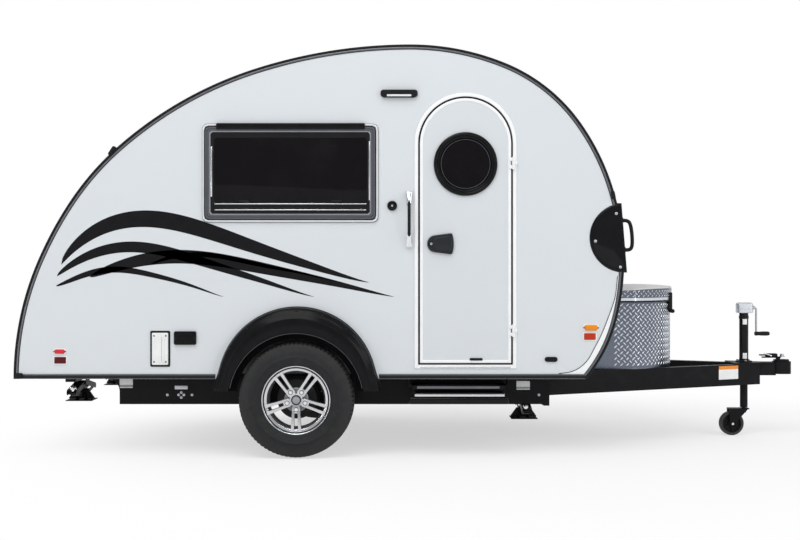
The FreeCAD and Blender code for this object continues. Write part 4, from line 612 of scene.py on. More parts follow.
class Paint:
    """The node tree of one material, and short ways to add to it."""

    def __init__(self, name: str) -> None:
        """Starts an empty material of that name.

        Args:
            name: name of the material.
        """
        self.material = bpy.data.materials.new(name)
        self.material.use_nodes = True
        self.tree = self.material.node_tree
        self.tree.nodes.clear()
        self.end = self.tree.nodes.new("ShaderNodeOutputMaterial")
        self.place = self.node("TexCoord").outputs["Object"]

    def node(self, kind: str, settings: dict | None = None, sockets: dict | None = None) -> bpy.types.Node:
        """Adds a node.

        Args:
            kind: its type, without the common prefix.
            settings: attributes, set first; stops is a ramp's rows of position and colour.
            sockets: values or links for its inputs, by name or number.

        Returns:
            The node.
        """
        made = self.tree.nodes.new("ShaderNode" + kind)
        for key, value in (settings or {}).items():
            if key != "stops":
                setattr(made, key, value)
                continue
            ramp = made.color_ramp.elements
            while len(ramp) < len(value):
                ramp.new(0.5)
            for stop, (position, colour) in zip(ramp, value):
                stop.position, stop.color = position, (*colour, 1)
        for key, value in (sockets or {}).items():
            self.feed(made.inputs[key], value)
        return made

    def feed(self, socket: bpy.types.NodeSocket, value: Source) -> None:
        """Links a signal or socket to an input, or sets its plain value.

        Args:
            socket: the input.
            value: a signal, a socket or a plain value.
        """
        if isinstance(value, Signal):
            value = value.socket
        if isinstance(value, bpy.types.NodeSocket):
            self.tree.links.new(value, socket)
        elif isinstance(value, tuple) and len(value) == 3 and socket.type == "RGBA":
            socket.default_value = (*value, 1)
        else:
            socket.default_value = value

    def mapped(self, scale: tuple = (1, 1, 1), shift: tuple = (0, 0, 0),
               turn: tuple = (0, 0, 0)) -> bpy.types.NodeSocket:
        """Object coordinates, shifted, turned in degrees and stretched.

        Args:
            scale: stretch along each axis.
            shift: shift along each axis.
            turn: turn about each axis, in degrees.

        Returns:
            The coordinates.
        """
        angles = tuple(math.radians(a) for a in turn)
        return self.node("Mapping", None, {"Vector": self.place, "Location": shift,
                                           "Rotation": angles, "Scale": scale}).outputs[0]

    def noise(self, scale: Number, detail: Number = 3, rough: Number = 0.55,
              at: Source | None = None) -> Signal:
        """Cloudy noise from nought to one, with its mean near a half."""
        sockets = {"Vector": at or self.place, "Scale": scale, "Detail": detail, "Roughness": rough}
        return Signal(self, self.node("TexNoise", None, sockets).outputs[0])

    def cells(self, scale: Number, feature: str = "F1", at: Source | None = None) -> Signal:
        """Distance to scattered points."""
        made = self.node("TexVoronoi", {"feature": feature}, {"Vector": at or self.place, "Scale": scale})
        return Signal(self, made.outputs["Distance"])

    def parts(self, at: Source | None = None) -> tuple[Signal, Signal, Signal]:
        """The three values of a vector."""
        made = self.node("SeparateXYZ", None, {0: at or self.place})
        return tuple(Signal(self, out) for out in made.outputs)

    def radius_from(self, centre: Sequence[float], axis: Axis) -> Signal:
        """Distance from a line along an axis.

        Args:
            centre: a point on the line.
            axis: direction of the line.

        Returns:
            The distance.
        """
        shift = tuple(-float(c) for c in centre)
        values = list(self.parts(self.mapped(shift=shift)))
        del values[axis.value]
        return (values[0] * values[0] + values[1] * values[1]).root()

    def mixed(self, low: Source, high: Source, share: Source) -> bpy.types.NodeSocket:
        """One colour turning into another."""
        made = self.node("Mix", {"data_type": "RGBA"}, {0: share, 6: low, 7: high})
        return made.outputs[2]

    def relief(self, height: Signal, depth: Number, strength: Number = 1.0,
               over: Source | None = None) -> bpy.types.NodeSocket:
        """A normal with a height pattern pressed into it.

        Args:
            height: the pattern.
            depth: its height in metres.
            strength: strength of the bump.
            over: a normal that it is laid over.

        Returns:
            The normal.
        """
        sockets = {"Height": height, "Distance": depth, "Strength": strength}
        if over is not None:
            sockets["Normal"] = over
        return self.node("Bump", None, sockets).outputs[0]

    def shader(self, **sockets: Source) -> bpy.types.Node:
        """The main shader, with inputs by name and spaces as low lines.

        Args:
            **sockets: the inputs.

        Returns:
            The shader node.
        """
        made = self.node("BsdfPrincipled", None,
                         {key.replace("_", " "): value for key, value in sockets.items()})
        self.tree.links.new(made.outputs[0], self.end.inputs[0])
        return made


FINISHES: dict[str, bpy.types.Material] = {}


@dataclass(frozen=True)
class Finish:
    """A named finish that builds its material once."""

    name: str

    def dress(self, paint: Paint) -> None:
        """Fills the tree of the material."""
        raise NotImplementedError

    def material(self) -> bpy.types.Material:
        """The material, built on first use.

        Returns:
            The material.
        """
        if self.name not in FINISHES:
            paint = Paint(self.name)
            self.dress(paint)
            FINISHES[self.name] = paint.material
        return FINISHES[self.name]


@dataclass(frozen=True)
class GelCoat(Finish):
    """Glossy skin of a glass-fibre panel: faint long ripples, fine orange peel and a little dust low down."""

    colour: Colour = (0.72, 0.75, 0.775)
    dust: Colour = (0.60, 0.59, 0.565)
    gloss: float = 0.24
    ripple: float = 0.0022

    def dress(self, paint: Paint) -> None:
        """Ripples and orange peel go to the normal, dust to the colour and roughness.

        Args:
            paint: writer of the material's nodes.
        """
        height = paint.parts()[2]
        cloud = paint.noise(2.2, 4)
        low = 1 - height.rise(0.42, 0.95)
        dusty = (low * paint.noise(9, 5).rise(0.35, 0.75) * 0.07
                 + paint.noise(1.3, 2).rise(0.45, 0.8) * 0.02).clamped()
        shade = paint.mixed(self.colour, tuple(c * 0.985 for c in self.colour), cloud)
        ripples = paint.noise(1.7, 1, at=paint.mapped((1, 1, 0.55)))
        peel = paint.noise(420, 2)
        normal = paint.relief(peel, 0.00006, 0.5, paint.relief(ripples, self.ripple, 0.35))
        paint.shader(
            Base_Color=paint.mixed(shade, self.dust, dusty),
            Roughness=cloud * 0.04 + dusty * 0.2 + self.gloss,
            Normal=normal, Coat_Weight=0.3, Coat_Roughness=0.06,
        )


@dataclass(frozen=True)
class PowderCoat(Finish):
    """Baked powder on steel: orange peel, a few scuffs and road dust."""

    colour: Colour = (0.012, 0.013, 0.015)
    gloss: float = 0.33
    dust: float = 0.18
    grain: float = 260.0
    shine: float = 0.13

    def dress(self, paint: Paint) -> None:
        """Dust gathers in cloudy patches, which are paler and rougher.

        Args:
            paint: writer of the material's nodes.
        """
        cloud = paint.noise(11, 5)
        dusty = cloud.rise(0.48, 0.78) * self.dust
        scuff = paint.noise(75, 3, at=paint.mapped((1, 1, 4))).rise(0.68, 0.74) * 0.3
        pale = tuple(min(1.0, c * 1.8 + 0.02) for c in self.colour)
        shade = paint.mixed(paint.mixed(self.colour, pale, dusty), (0.19, 0.18, 0.17), scuff * dusty)
        peel = paint.noise(self.grain, 2)
        paint.shader(
            Base_Color=shade, Roughness=cloud * 0.12 + dusty * 0.4 + self.gloss,
            Normal=paint.relief(peel, 0.00012, 0.55), Specular_IOR_Level=self.shine,
        )


@dataclass(frozen=True)
class Moulding(Finish):
    """Moulded plastic or rubber: leather-fine grain, small colour drift and handling marks."""

    colour: Colour = (0.012, 0.012, 0.013)
    gloss: float = 0.3
    grain: float = 700.0
    depth: float = 0.00007
    swirl: float = 0.08
    shine: float = 0.5

    def dress(self, paint: Paint) -> None:
        """Cells give the grain, and slow noise the drift in tone and gloss.

        Args:
            paint: writer of the material's nodes.
        """
        cloud = paint.noise(14, 4)
        fine = paint.cells(self.grain, "SMOOTH_F1")
        marks = paint.noise(46, 5, at=paint.mapped((1, 1, 0.25))).rise(0.55, 0.7)
        pale = tuple(min(1.0, c * 1.25 + 0.006) for c in self.colour)
        paint.shader(
            Base_Color=paint.mixed(self.colour, pale, cloud),
            Roughness=cloud * self.swirl + marks * 0.06 + self.gloss,
            Normal=paint.relief(fine, self.depth, 0.6), Specular_IOR_Level=self.shine,
        )


@dataclass(frozen=True)
class BareMetal(Finish):
    """Polished, brushed or galvanised metal.

    The brush values stretch the noise along the direction of the brush marks.
    """

    colour: Colour = (0.62, 0.63, 0.65)
    gloss: float = 0.18
    brush: tuple = (60, 60, 60)
    marks: float = 0.25
    tarnish: Colour = (0.30, 0.31, 0.33)
    dull: float = 0.25

    def dress(self, paint: Paint) -> None:
        """Brush marks go to roughness and normal, tarnish to the colour.

        Args:
            paint: writer of the material's nodes.
        """
        lines = paint.noise(8, 4, at=paint.mapped(self.brush))
        cloud = paint.noise(16, 5)
        dull = cloud.rise(0.42, 0.8) * self.dull
        paint.shader(
            Base_Color=paint.mixed(self.colour, self.tarnish, dull), Metallic=1.0,
            Roughness=lines * self.marks + dull * 0.35 + self.gloss,
            Normal=paint.relief(lines, 0.00006, self.marks),
        )


@dataclass(frozen=True)
class Spangle(Finish):
    """Hot-dip zinc: flat crystals of slightly different grey."""

    def dress(self, paint: Paint) -> None:
        """Cells tint the colour and the roughness.

        Args:
            paint: writer of the material's nodes.
        """
        made = paint.node("TexVoronoi", {"feature": "F1"}, {"Vector": paint.place, "Scale": 85.0})
        tint = Signal(paint, paint.node("SeparateColor", None, {0: made.outputs["Color"]}).outputs[0])
        cloud = paint.noise(18, 4)
        paint.shader(
            Base_Color=paint.mixed((0.42, 0.44, 0.47), (0.60, 0.62, 0.65), tint), Metallic=0.9,
            Roughness=tint * 0.14 + cloud * 0.15 + 0.26,
            Normal=paint.relief(tint + cloud * 0.5, 0.00015, 0.3),
        )


@dataclass(frozen=True)
class TurnedAlloy(Finish):
    """Machined wheel face: fine rings round the axle under clear lacquer."""

    colour: Colour = (0.66, 0.67, 0.69)
    painted: bool = False

    def dress(self, paint: Paint) -> None:
        """The rings are a wave of the distance from the axle line, broken up by noise.

        Args:
            paint: writer of the material's nodes.
        """
        away = paint.radius_from((WHEEL_X, 0, WHEEL_Z), Axis.Y)
        rings = (away + paint.noise(30, 2) * 0.0006).wave(0.0011)
        cloud = paint.noise(22, 4)
        soil = cloud.rise(0.5, 0.85) * 0.35
        dark = (0.09, 0.092, 0.098)
        if self.painted:
            paint.shader(
                Base_Color=paint.mixed(self.colour, dark, soil), Metallic=0.55,
                Roughness=cloud * 0.15 + 0.3,
                Normal=paint.relief(paint.noise(650, 2), 0.00006, 0.5), Coat_Weight=0.5,
                Coat_Roughness=0.12,
            )
            return
        paint.shader(
            Base_Color=paint.mixed(self.colour, (0.36, 0.36, 0.37), soil), Metallic=1.0,
            Roughness=rings * 0.1 + soil * 0.25 + 0.17, Normal=paint.relief(rings, 0.00004, 0.5),
            Coat_Weight=0.4, Coat_Roughness=0.08,
        )


@dataclass(frozen=True)
class TreadSheet(Finish):
    """Aluminium tread sheet: rolled lines, scratches and grime."""

    colour: Colour = (0.17, 0.19, 0.235)
    worn: Colour = (0.11, 0.12, 0.14)

    def dress(self, paint: Paint) -> None:
        """Rolling lines run along X; scratches are thin stretched noise.

        Args:
            paint: writer of the material's nodes.
        """
        rolled = paint.noise(10, 3, at=paint.mapped((4, 4, 90)))
        cloud = paint.noise(12, 5)
        scratch = paint.noise(60, 4, at=paint.mapped((1, 1, 7), turn=(0, 24, 0))).rise(0.62, 0.68)
        grime = cloud.rise(0.45, 0.85) * 0.4
        paint.shader(
            Base_Color=paint.mixed(self.colour, self.worn, grime), Metallic=1.0,
            Roughness=rolled * 0.12 + grime * 0.3 + scratch * 0.1 + 0.2,
            Normal=paint.relief(rolled + scratch * 0.5, 0.0001, 0.35),
        )


@dataclass(frozen=True)
class TyreRubber(Finish):
    """Tyre: moulding rings on the wall, matt dusty tread."""

    def dress(self, paint: Paint) -> None:
        """The rings are a wave of the distance from the axle; dust grows towards the tread.

        Args:
            paint: writer of the material's nodes.
        """
        away = paint.radius_from((WHEEL_X, 0, WHEEL_Z), Axis.Y)
        rings = away.wave(0.0032)
        cloud = paint.noise(20, 5)
        dust = (away.rise(0.24, 0.33) * 0.35 + cloud.rise(0.4, 0.8) * 0.3).clamped()
        paint.shader(
            Base_Color=paint.mixed((0.013, 0.0135, 0.0145), (0.052, 0.052, 0.051), dust),
            Roughness=cloud * 0.15 + dust * 0.2 + 0.52,
            Normal=paint.relief(paint.noise(480, 3), 0.00015, 0.6, paint.relief(rings, 0.00022, 0.5)),
            Specular_IOR_Level=0.3,
        )


@dataclass(frozen=True)
class Acrylic(Finish):
    """Smoked acrylic pane: near black, with a soft smear of dust and fine drawing lines."""

    colour: Colour = (0.006, 0.005, 0.006)
    clear: float = 0.95

    def dress(self, paint: Paint) -> None:
        """The smear is slow noise in the roughness; the sheet waves a little.

        Args:
            paint: writer of the material's nodes.
        """
        smear = paint.noise(5, 5).rise(0.4, 0.9)
        paint.shader(
            Base_Color=paint.mixed(self.colour, (0.02, 0.019, 0.02), smear * 0.4),
            Roughness=smear * 0.05 + 0.02,
            Normal=paint.relief(paint.noise(3.2, 1), 0.002, 0.2), Alpha=self.clear, IOR=1.49,
            Specular_IOR_Level=0.12,
        )


@dataclass(frozen=True)
class LampLens(Finish):
    """Coloured lamp lens: prism ribs inside, with the reflector behind shown as a brighter colour in the
    prism pattern, a painted glint.
    """

    colour: Colour = (0.55, 0.01, 0.01)
    painted_glint: Colour = (0.9, 0.08, 0.03)
    rib: float = 0.0052

    def dress(self, paint: Paint) -> None:
        """Crossed waves give the prisms in the normal, and in the colour a brighter painted glint of the
        reflector behind the lens.

        Args:
            paint: writer of the material's nodes.
        """
        x, y, z = paint.parts()
        prism = (x + y).wave(self.rib) * z.wave(self.rib)
        cloud = paint.noise(60, 3)
        paint.shader(
            Base_Color=paint.mixed(self.colour, self.painted_glint, prism * 0.7 + cloud * 0.1),
            Roughness=cloud * 0.08 + 0.1, Normal=paint.relief(prism, 0.0004, 0.4), Specular_IOR_Level=0.3,
        )


@dataclass(frozen=True)
class Veneer(Finish):
    """Wood veneer on board: stretched rings, pores and a satin lacquer."""

    light: Colour = (0.42, 0.27, 0.15)
    dark: Colour = (0.20, 0.11, 0.055)

    def dress(self, paint: Paint) -> None:
        """The figure is a wave of the height, bent by slow noise.

        Args:
            paint: writer of the material's nodes.
        """
        _, y, z = paint.parts()
        bent = paint.noise(3.2, 3, at=paint.mapped((0.5, 0.5, 3)))
        figure = (z + bent * 0.09 + y * 0.04).wave(0.021)
        pores = paint.noise(70, 4, at=paint.mapped((0.6, 0.6, 9))).rise(0.55, 0.68)
        paint.shader(
            Base_Color=paint.mixed(paint.mixed(self.dark, self.light, figure * 0.6 + bent * 0.5),
                                   self.dark, pores * 0.5),
            Roughness=pores * 0.2 + 0.34, Normal=paint.relief(pores, 0.0002, 0.4), Coat_Weight=0.25,
            Coat_Roughness=0.2,
        )


@dataclass(frozen=True)
class Weave(Finish):
    """Upholstery cloth: crossed threads, flecks of paler yarn and soft sheen."""

    colour: Colour = (0.20, 0.205, 0.215)
    fleck: Colour = (0.42, 0.42, 0.41)
    pitch: float = 0.0026

    def dress(self, paint: Paint) -> None:
        """Two waves at right angles over and under each other make the threads.

        Args:
            paint: writer of the material's nodes.
        """
        x, y, z = paint.parts()
        warp, weft = (x + z * 0.5).wave(self.pitch), (y + z * 0.5).wave(self.pitch)
        thread = warp * (1 - weft) + weft * (1 - warp)
        yarn = paint.noise(340, 3, at=paint.mapped((1, 0.12, 1))).rise(0.5, 0.7)
        worn = paint.noise(5, 4)
        # The colour darkens where the thread height is low, between and under the threads: painted shade.
        paint.shader(
            Base_Color=paint.mixed(paint.mixed(self.colour, self.fleck, yarn * 0.5),
                                   tuple(c * 0.55 for c in self.colour), (1 - thread) * 0.5),
            Roughness=worn * 0.1 + 0.82, Normal=paint.relief(thread, 0.0005, 0.7), Sheen_Weight=0.3,
            Sheen_Roughness=0.5,
        )


@dataclass(frozen=True)
class VinylFloor(Finish):
    """Sheet flooring on the cabin floor, and bitumen paint on its underside."""

    def dress(self, paint: Paint) -> None:
        """Planks by waves across Y, darker below the floor's lower face.

        Args:
            paint: writer of the material's nodes.
        """
        _, y, z = paint.parts()
        grain = paint.noise(12, 5, at=paint.mapped((1, 9, 1)))
        joint = y.wave(0.12).rise(0.0, 0.02)
        under = 1 - z.rise(0.458, 0.462)
        shade = paint.mixed((0.17, 0.165, 0.16), (0.30, 0.285, 0.26), grain)
        paint.shader(
            Base_Color=paint.mixed(paint.mixed((0.05, 0.05, 0.05), shade, joint),
                                   (0.03, 0.03, 0.032), under),
            Roughness=grain * 0.2 + under * 0.25 + 0.4,
            Normal=paint.relief(grain + joint * 0.4, 0.0006, 0.4),
        )


WALL = GelCoat("wall_gel_coat")
DOOR_SKIN = GelCoat("door_gel_coat", colour=(0.70, 0.73, 0.755), gloss=0.22)
FRAME_WHITE = Moulding("frame_white", colour=(0.86, 0.87, 0.88), gloss=0.3, grain=900, depth=0.00003)
HATCH_WHITE = Moulding("hatch_white", colour=(0.78, 0.785, 0.78), gloss=0.36)
VENT_WHITE = Moulding("vent_white", colour=(0.74, 0.745, 0.74), gloss=0.4, grain=500)
TRIM_RUBBER = Moulding("trim_rubber", colour=(0.008, 0.008, 0.009), gloss=0.42, grain=1200, shine=0.14)
GLOSS_BLACK = Moulding("gloss_black", colour=(0.0025, 0.0027, 0.0032), gloss=0.045, depth=0.00001,
                       swirl=0.02, shine=0.18)
FENDER_BLACK = Moulding("fender_black", colour=(0.0035, 0.0037, 0.0042), gloss=0.20, grain=420,
                        depth=0.00002, swirl=0.02, shine=0.11)
# Near-black matt finish with little shine for the inside of the wheel arches: painted shade.
LINER_PAINTED_SHADE = Moulding("liner_painted_shade_black", colour=(0.0010, 0.0010, 0.0012), gloss=0.6, shine=0.04)
HANDLE_GREY = Moulding("handle_grey", colour=(0.013, 0.0155, 0.019), gloss=0.30, shine=0.25)
SATIN_BLACK = Moulding("satin_black", colour=(0.009, 0.009, 0.010), gloss=0.36, shine=0.12)
VINYL_BLACK = Moulding("vinyl_black", colour=(0.006, 0.006, 0.007), gloss=0.26, grain=1500, depth=0.00002,
                       swirl=0.1, shine=0.1)
LIGHT_GREY = Moulding("light_grey_plastic", colour=(0.30, 0.305, 0.32), gloss=0.34)
RING_GREY = Moulding("ring_grey", colour=(0.74, 0.745, 0.76), gloss=0.22, grain=900, depth=0.00002)
FRAME_GREY = Moulding("frame_grey", colour=(0.085, 0.089, 0.105), gloss=0.36, grain=800, shine=0.3)
# Light grey for the crowned lid's top, lighter than the tread sheet: it stands in for the bright sky
# reflected on the top, a painted reflection.
LID_GREY_PAINTED_REFLECTION = Moulding("lid_painted_reflection_grey", colour=(0.60, 0.60, 0.605), gloss=0.5, grain=300, depth=0.0002)
LABEL_WHITE = Moulding("label_white", colour=(0.80, 0.80, 0.79), gloss=0.42, grain=1500, depth=0.00001)
LABEL_ORANGE = Moulding("label_orange", colour=(0.78, 0.25, 0.03), gloss=0.42, grain=1500, depth=0.00001)
CASTER_TYRE = Moulding("caster_tyre", colour=(0.02, 0.02, 0.021), gloss=0.55, grain=500, depth=0.0001)
BRAKE_DARK = PowderCoat("brake_dark", colour=(0.03, 0.029, 0.028), gloss=0.5, dust=0.6)
CHASSIS = PowderCoat("chassis_powder", colour=(0.007, 0.007, 0.008), gloss=0.34)
BOTTLE = PowderCoat("bottle_powder", colour=(0.72, 0.72, 0.71), gloss=0.3, dust=0.2)
CHROME = BareMetal("chrome", colour=(0.80, 0.81, 0.83), gloss=0.07, marks=0.08, dull=0.12)
SILVER_STRIP = BareMetal("silver_strip", colour=(0.17, 0.175, 0.19), gloss=0.26, brush=(6, 60, 6),
                         marks=0.2)
BRIGHT_STRIP = BareMetal("bright_strip", colour=(0.72, 0.73, 0.75), gloss=0.16, brush=(5, 60, 40),
                         marks=0.16, dull=0.15)
STEEL = BareMetal("steel", colour=(0.50, 0.51, 0.53), gloss=0.26, marks=0.25)
SKIRT_ALLOY = BareMetal("skirt_alloy", colour=(0.035, 0.036, 0.040), gloss=0.34, brush=(3, 60, 60),
                        marks=0.25, tarnish=(0.02, 0.02, 0.02))
JACK_HEAD = BareMetal("jack_head_cast", colour=(0.72, 0.74, 0.78), gloss=0.30, marks=0.25, dull=0.15)
BARREL = BareMetal("barrel_alloy", colour=(0.60, 0.605, 0.62), gloss=0.3, brush=(20, 60, 20))
ZINC = Spangle("zinc_spangle")
ALLOY_FACE = TurnedAlloy("alloy_machined")
ALLOY_PAINT = TurnedAlloy("alloy_painted", colour=(0.20, 0.205, 0.215), painted=True)
# The tub's sheet and its raised bars are one aluminium in two copies: the sheet darker, as painted shade, and
# the bars lighter, as painted highlight.
TREAD_PAINTED_SHADE = TreadSheet("tread_sheet_painted_shade")
TREAD_BAR_PAINTED_HIGHLIGHT = TreadSheet("tread_bars_painted_highlight", colour=(0.84, 0.87, 0.93), worn=(0.62, 0.65, 0.70))
TYRE = TyreRubber("tyre_rubber")
SMOKED = Acrylic("smoked_acrylic")
RED_LENS = LampLens("red_lens", colour=(0.58, 0.010, 0.026), painted_glint=(0.95, 0.09, 0.10))
DARK_RED_LENS = LampLens("dark_red_reflector", colour=(0.070, 0.0005, 0.001), painted_glint=(0.15, 0.0015, 0.003))
AMBER_LENS = LampLens("amber_lens", colour=(0.82, 0.20, 0.004), painted_glint=(1.0, 0.52, 0.03))
ORANGE_LENS = LampLens("orange_reflector", colour=(0.42, 0.018, 0.002), painted_glint=(0.80, 0.075, 0.008))
CLEAR_LENS = LampLens("clear_lens", colour=(0.72, 0.74, 0.76), painted_glint=(0.95, 0.96, 0.97))
WOOD = Veneer("cabinet_veneer")
CLOTH = Weave("seat_cloth")
PIPING = Weave("seat_piping", colour=(0.05, 0.05, 0.055), fleck=(0.12, 0.12, 0.12), pitch=0.0018)
BLIND = Weave("blind_cloth", colour=(0.10, 0.10, 0.105), fleck=(0.2, 0.2, 0.2), pitch=0.0012)
FLOORING = VinylFloor("cabin_flooring")


# ---------------------------------------------------------------------------------------
# Pieces
# ---------------------------------------------------------------------------------------
PIECES: list[bpy.types.Object] = []


def piece(name: str, shape: Shape, finish: Finish, body: str = "root", sharp: Number = 38,
          stands_for: Sequence[str] = (), bevel: Number = 0) -> bpy.types.Object:
    """Makes a piece from a shape, dresses it and sets it on its body.

    Args:
        name: name of the piece.
        shape: its points and faces.
        finish: its finish.
        body: the body that it rides on.
        sharp: edges that turn by more than these degrees stay sharp.
        stands_for: CAD nodes that it replaces.
        bevel: width of a rounding on its sharp edges.

    Returns:
        The new object.
    """
    mesh = bpy.data.meshes.new(name)
    rows = [row for part in shape.faces for row in part.tolist()]
    mesh.from_pydata(shape.points.tolist(), [], rows)
    form = bmesh.new()
    form.from_mesh(mesh)
    bmesh.ops.remove_doubles(form, verts=form.verts, dist=1e-6)
    bmesh.ops.dissolve_degenerate(form, edges=form.edges, dist=1e-7)
    bmesh.ops.recalc_face_normals(form, faces=form.faces)
    form.to_mesh(mesh)
    form.free()
    mesh.shade_smooth()
    mesh.set_sharp_from_angle(angle=math.radians(sharp))
    mesh.materials.append(finish.material())
    thing = bpy.data.objects.new(name, mesh)
    bpy.context.scene.collection.objects.link(thing)
    if bevel:
        made = thing.modifiers.new("edge", "BEVEL")
        made.width, made.segments, made.limit_method = bevel, 2, "ANGLE"
        made.angle_limit = math.radians(sharp)
    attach(thing, body)
    if stands_for:
        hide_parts(*stands_for)
    PIECES.append(thing)
    LOG.info("%s: %d faces on %s", name, len(mesh.polygons), body)
    return thing


def refinish(node: str, finish: Finish) -> None:
    """Gives a CAD node a better finish through its material slots.

    Args:
        node: name of the CAD node.
        finish: its finish.
    """
    thing = frame_object(node)
    for index in range(max(1, len(thing.material_slots))):
        thing.material_slots[index].material = finish.material()


def frame_object(node: str) -> bpy.types.Object:
    """The object of a CAD node."""
    return bpy.data.objects[node]


# ---------------------------------------------------------------------------------------
# Body
# ---------------------------------------------------------------------------------------
@dataclass(frozen=True)
class BodyOutline:
    """Side view of the body, from the foot of the tail over the roof to the foot of the nose.

    Each row has a share of the length, a share of the height and a heading in a unit box, and
    two tangent arcs join each row to the next.
    """

    rows: tuple = (
        (0.0, 0.0, 90.0), (0.0364, 0.3383, 77.3), (0.1728, 0.6977, 57.9), (0.6504, 1.0, 0.0),
        (0.9276, 0.7694, -68.5), (1.0, 0.35, -90.0), (0.9378, 0.0, -115.0),
    )
    steps: int = 26

    def curve(self) -> Array:
        """X and Z points along the outline, evenly spaced by running length.

        The knot between two arcs lies midway between the ends of two equal tangents, and an arc
        centre lies on the normal at the arc's own end.

        Returns:
            One row of X and Z a point.
        """
        rows = np.array(self.rows)
        size = np.array([BODY_LENGTH, BODY_HEIGHT])
        ends = np.array([REAR_X, BODY_LOW]) + rows[:, :2] * size
        angle = np.radians(rows[:, 2])
        ways = np.stack([np.cos(angle), np.sin(angle)], -1) * size
        ways /= np.linalg.norm(ways, axis=1, keepdims=True)
        runs = []
        for start, way, end, end_way in zip(ends, ways, ends[1:], ways[1:]):
            chord, both = end - start, way + end_way
            a, b, c = 2 * (1 - way @ end_way), 2 * chord @ both, -chord @ chord
            reach = (-b + math.sqrt(b * b - 4 * a * c)) / (2 * a)
            knot = (start + way * reach + end - end_way * reach) / 2
            runs.append(self.arc(start, way, knot)[:-1])
            runs.append(self.arc(end, end_way, knot)[::-1][:-1])
        runs.append(ends[-1:])
        return resampled(np.vstack(runs), 720, closed=False)

    def arc(self, start: Array, way: Array, end: Array) -> Array:
        """Points of the arc that leaves the start along a way and meets the end.

        Args:
            start: where the arc begins.
            way: its direction there.
            end: where it ends.

        Returns:
            One row of X and Z a point.
        """
        side = np.array([-way[1], way[0]])
        chord = end - start
        radius = chord @ chord / (2 * chord @ side)
        centre = start + side * radius
        first = math.atan2(*(start - centre)[::-1])
        last = math.atan2(*(end - centre)[::-1])
        turn = (last - first + math.pi) % TAU - math.pi
        angle = first + np.linspace(0, turn, self.steps)
        return centre + abs(radius) * np.stack([np.cos(angle), np.sin(angle)], -1)

    def run_length(self) -> Array:
        """Running length at each point of the curve."""
        curve = self.curve()
        return np.concatenate([[0], np.cumsum(np.linalg.norm(np.diff(curve, axis=0), axis=1))])

    def at(self, run: Array, out: Union[Number, Array] = 0.0) -> Array:
        """X and Z at running lengths, moved outward by a distance.

        Args:
            run: running lengths from the foot of the tail.
            out: distance outside the skin.

        Returns:
            Rows of X and Z.
        """
        curve, length = self.curve(), self.run_length()
        normal = -outward(curve, closed=False)
        parts = [np.interp(run, length, curve[:, i]) for i in (0, 1)]
        skew = [np.interp(run, length, normal[:, i]) for i in (0, 1)]
        return np.stack([parts[0] + out * skew[0], parts[1] + out * skew[1]], -1)

    def run_at(self, height: Number, rear: bool = True) -> float:
        """Running length where the outline passes a height, on the tail or on the nose.

        Args:
            height: the height.
            rear: True for the tail, False for the nose.

        Returns:
            The running length.
        """
        curve, length = self.curve(), self.run_length()
        crown = int(np.argmax(curve[:, 1]))
        if rear:
            return float(np.interp(height, curve[:crown, 1], length[:crown]))
        return float(np.interp(-height, -curve[crown:, 1], length[crown:]))


OUTLINE = BodyOutline()


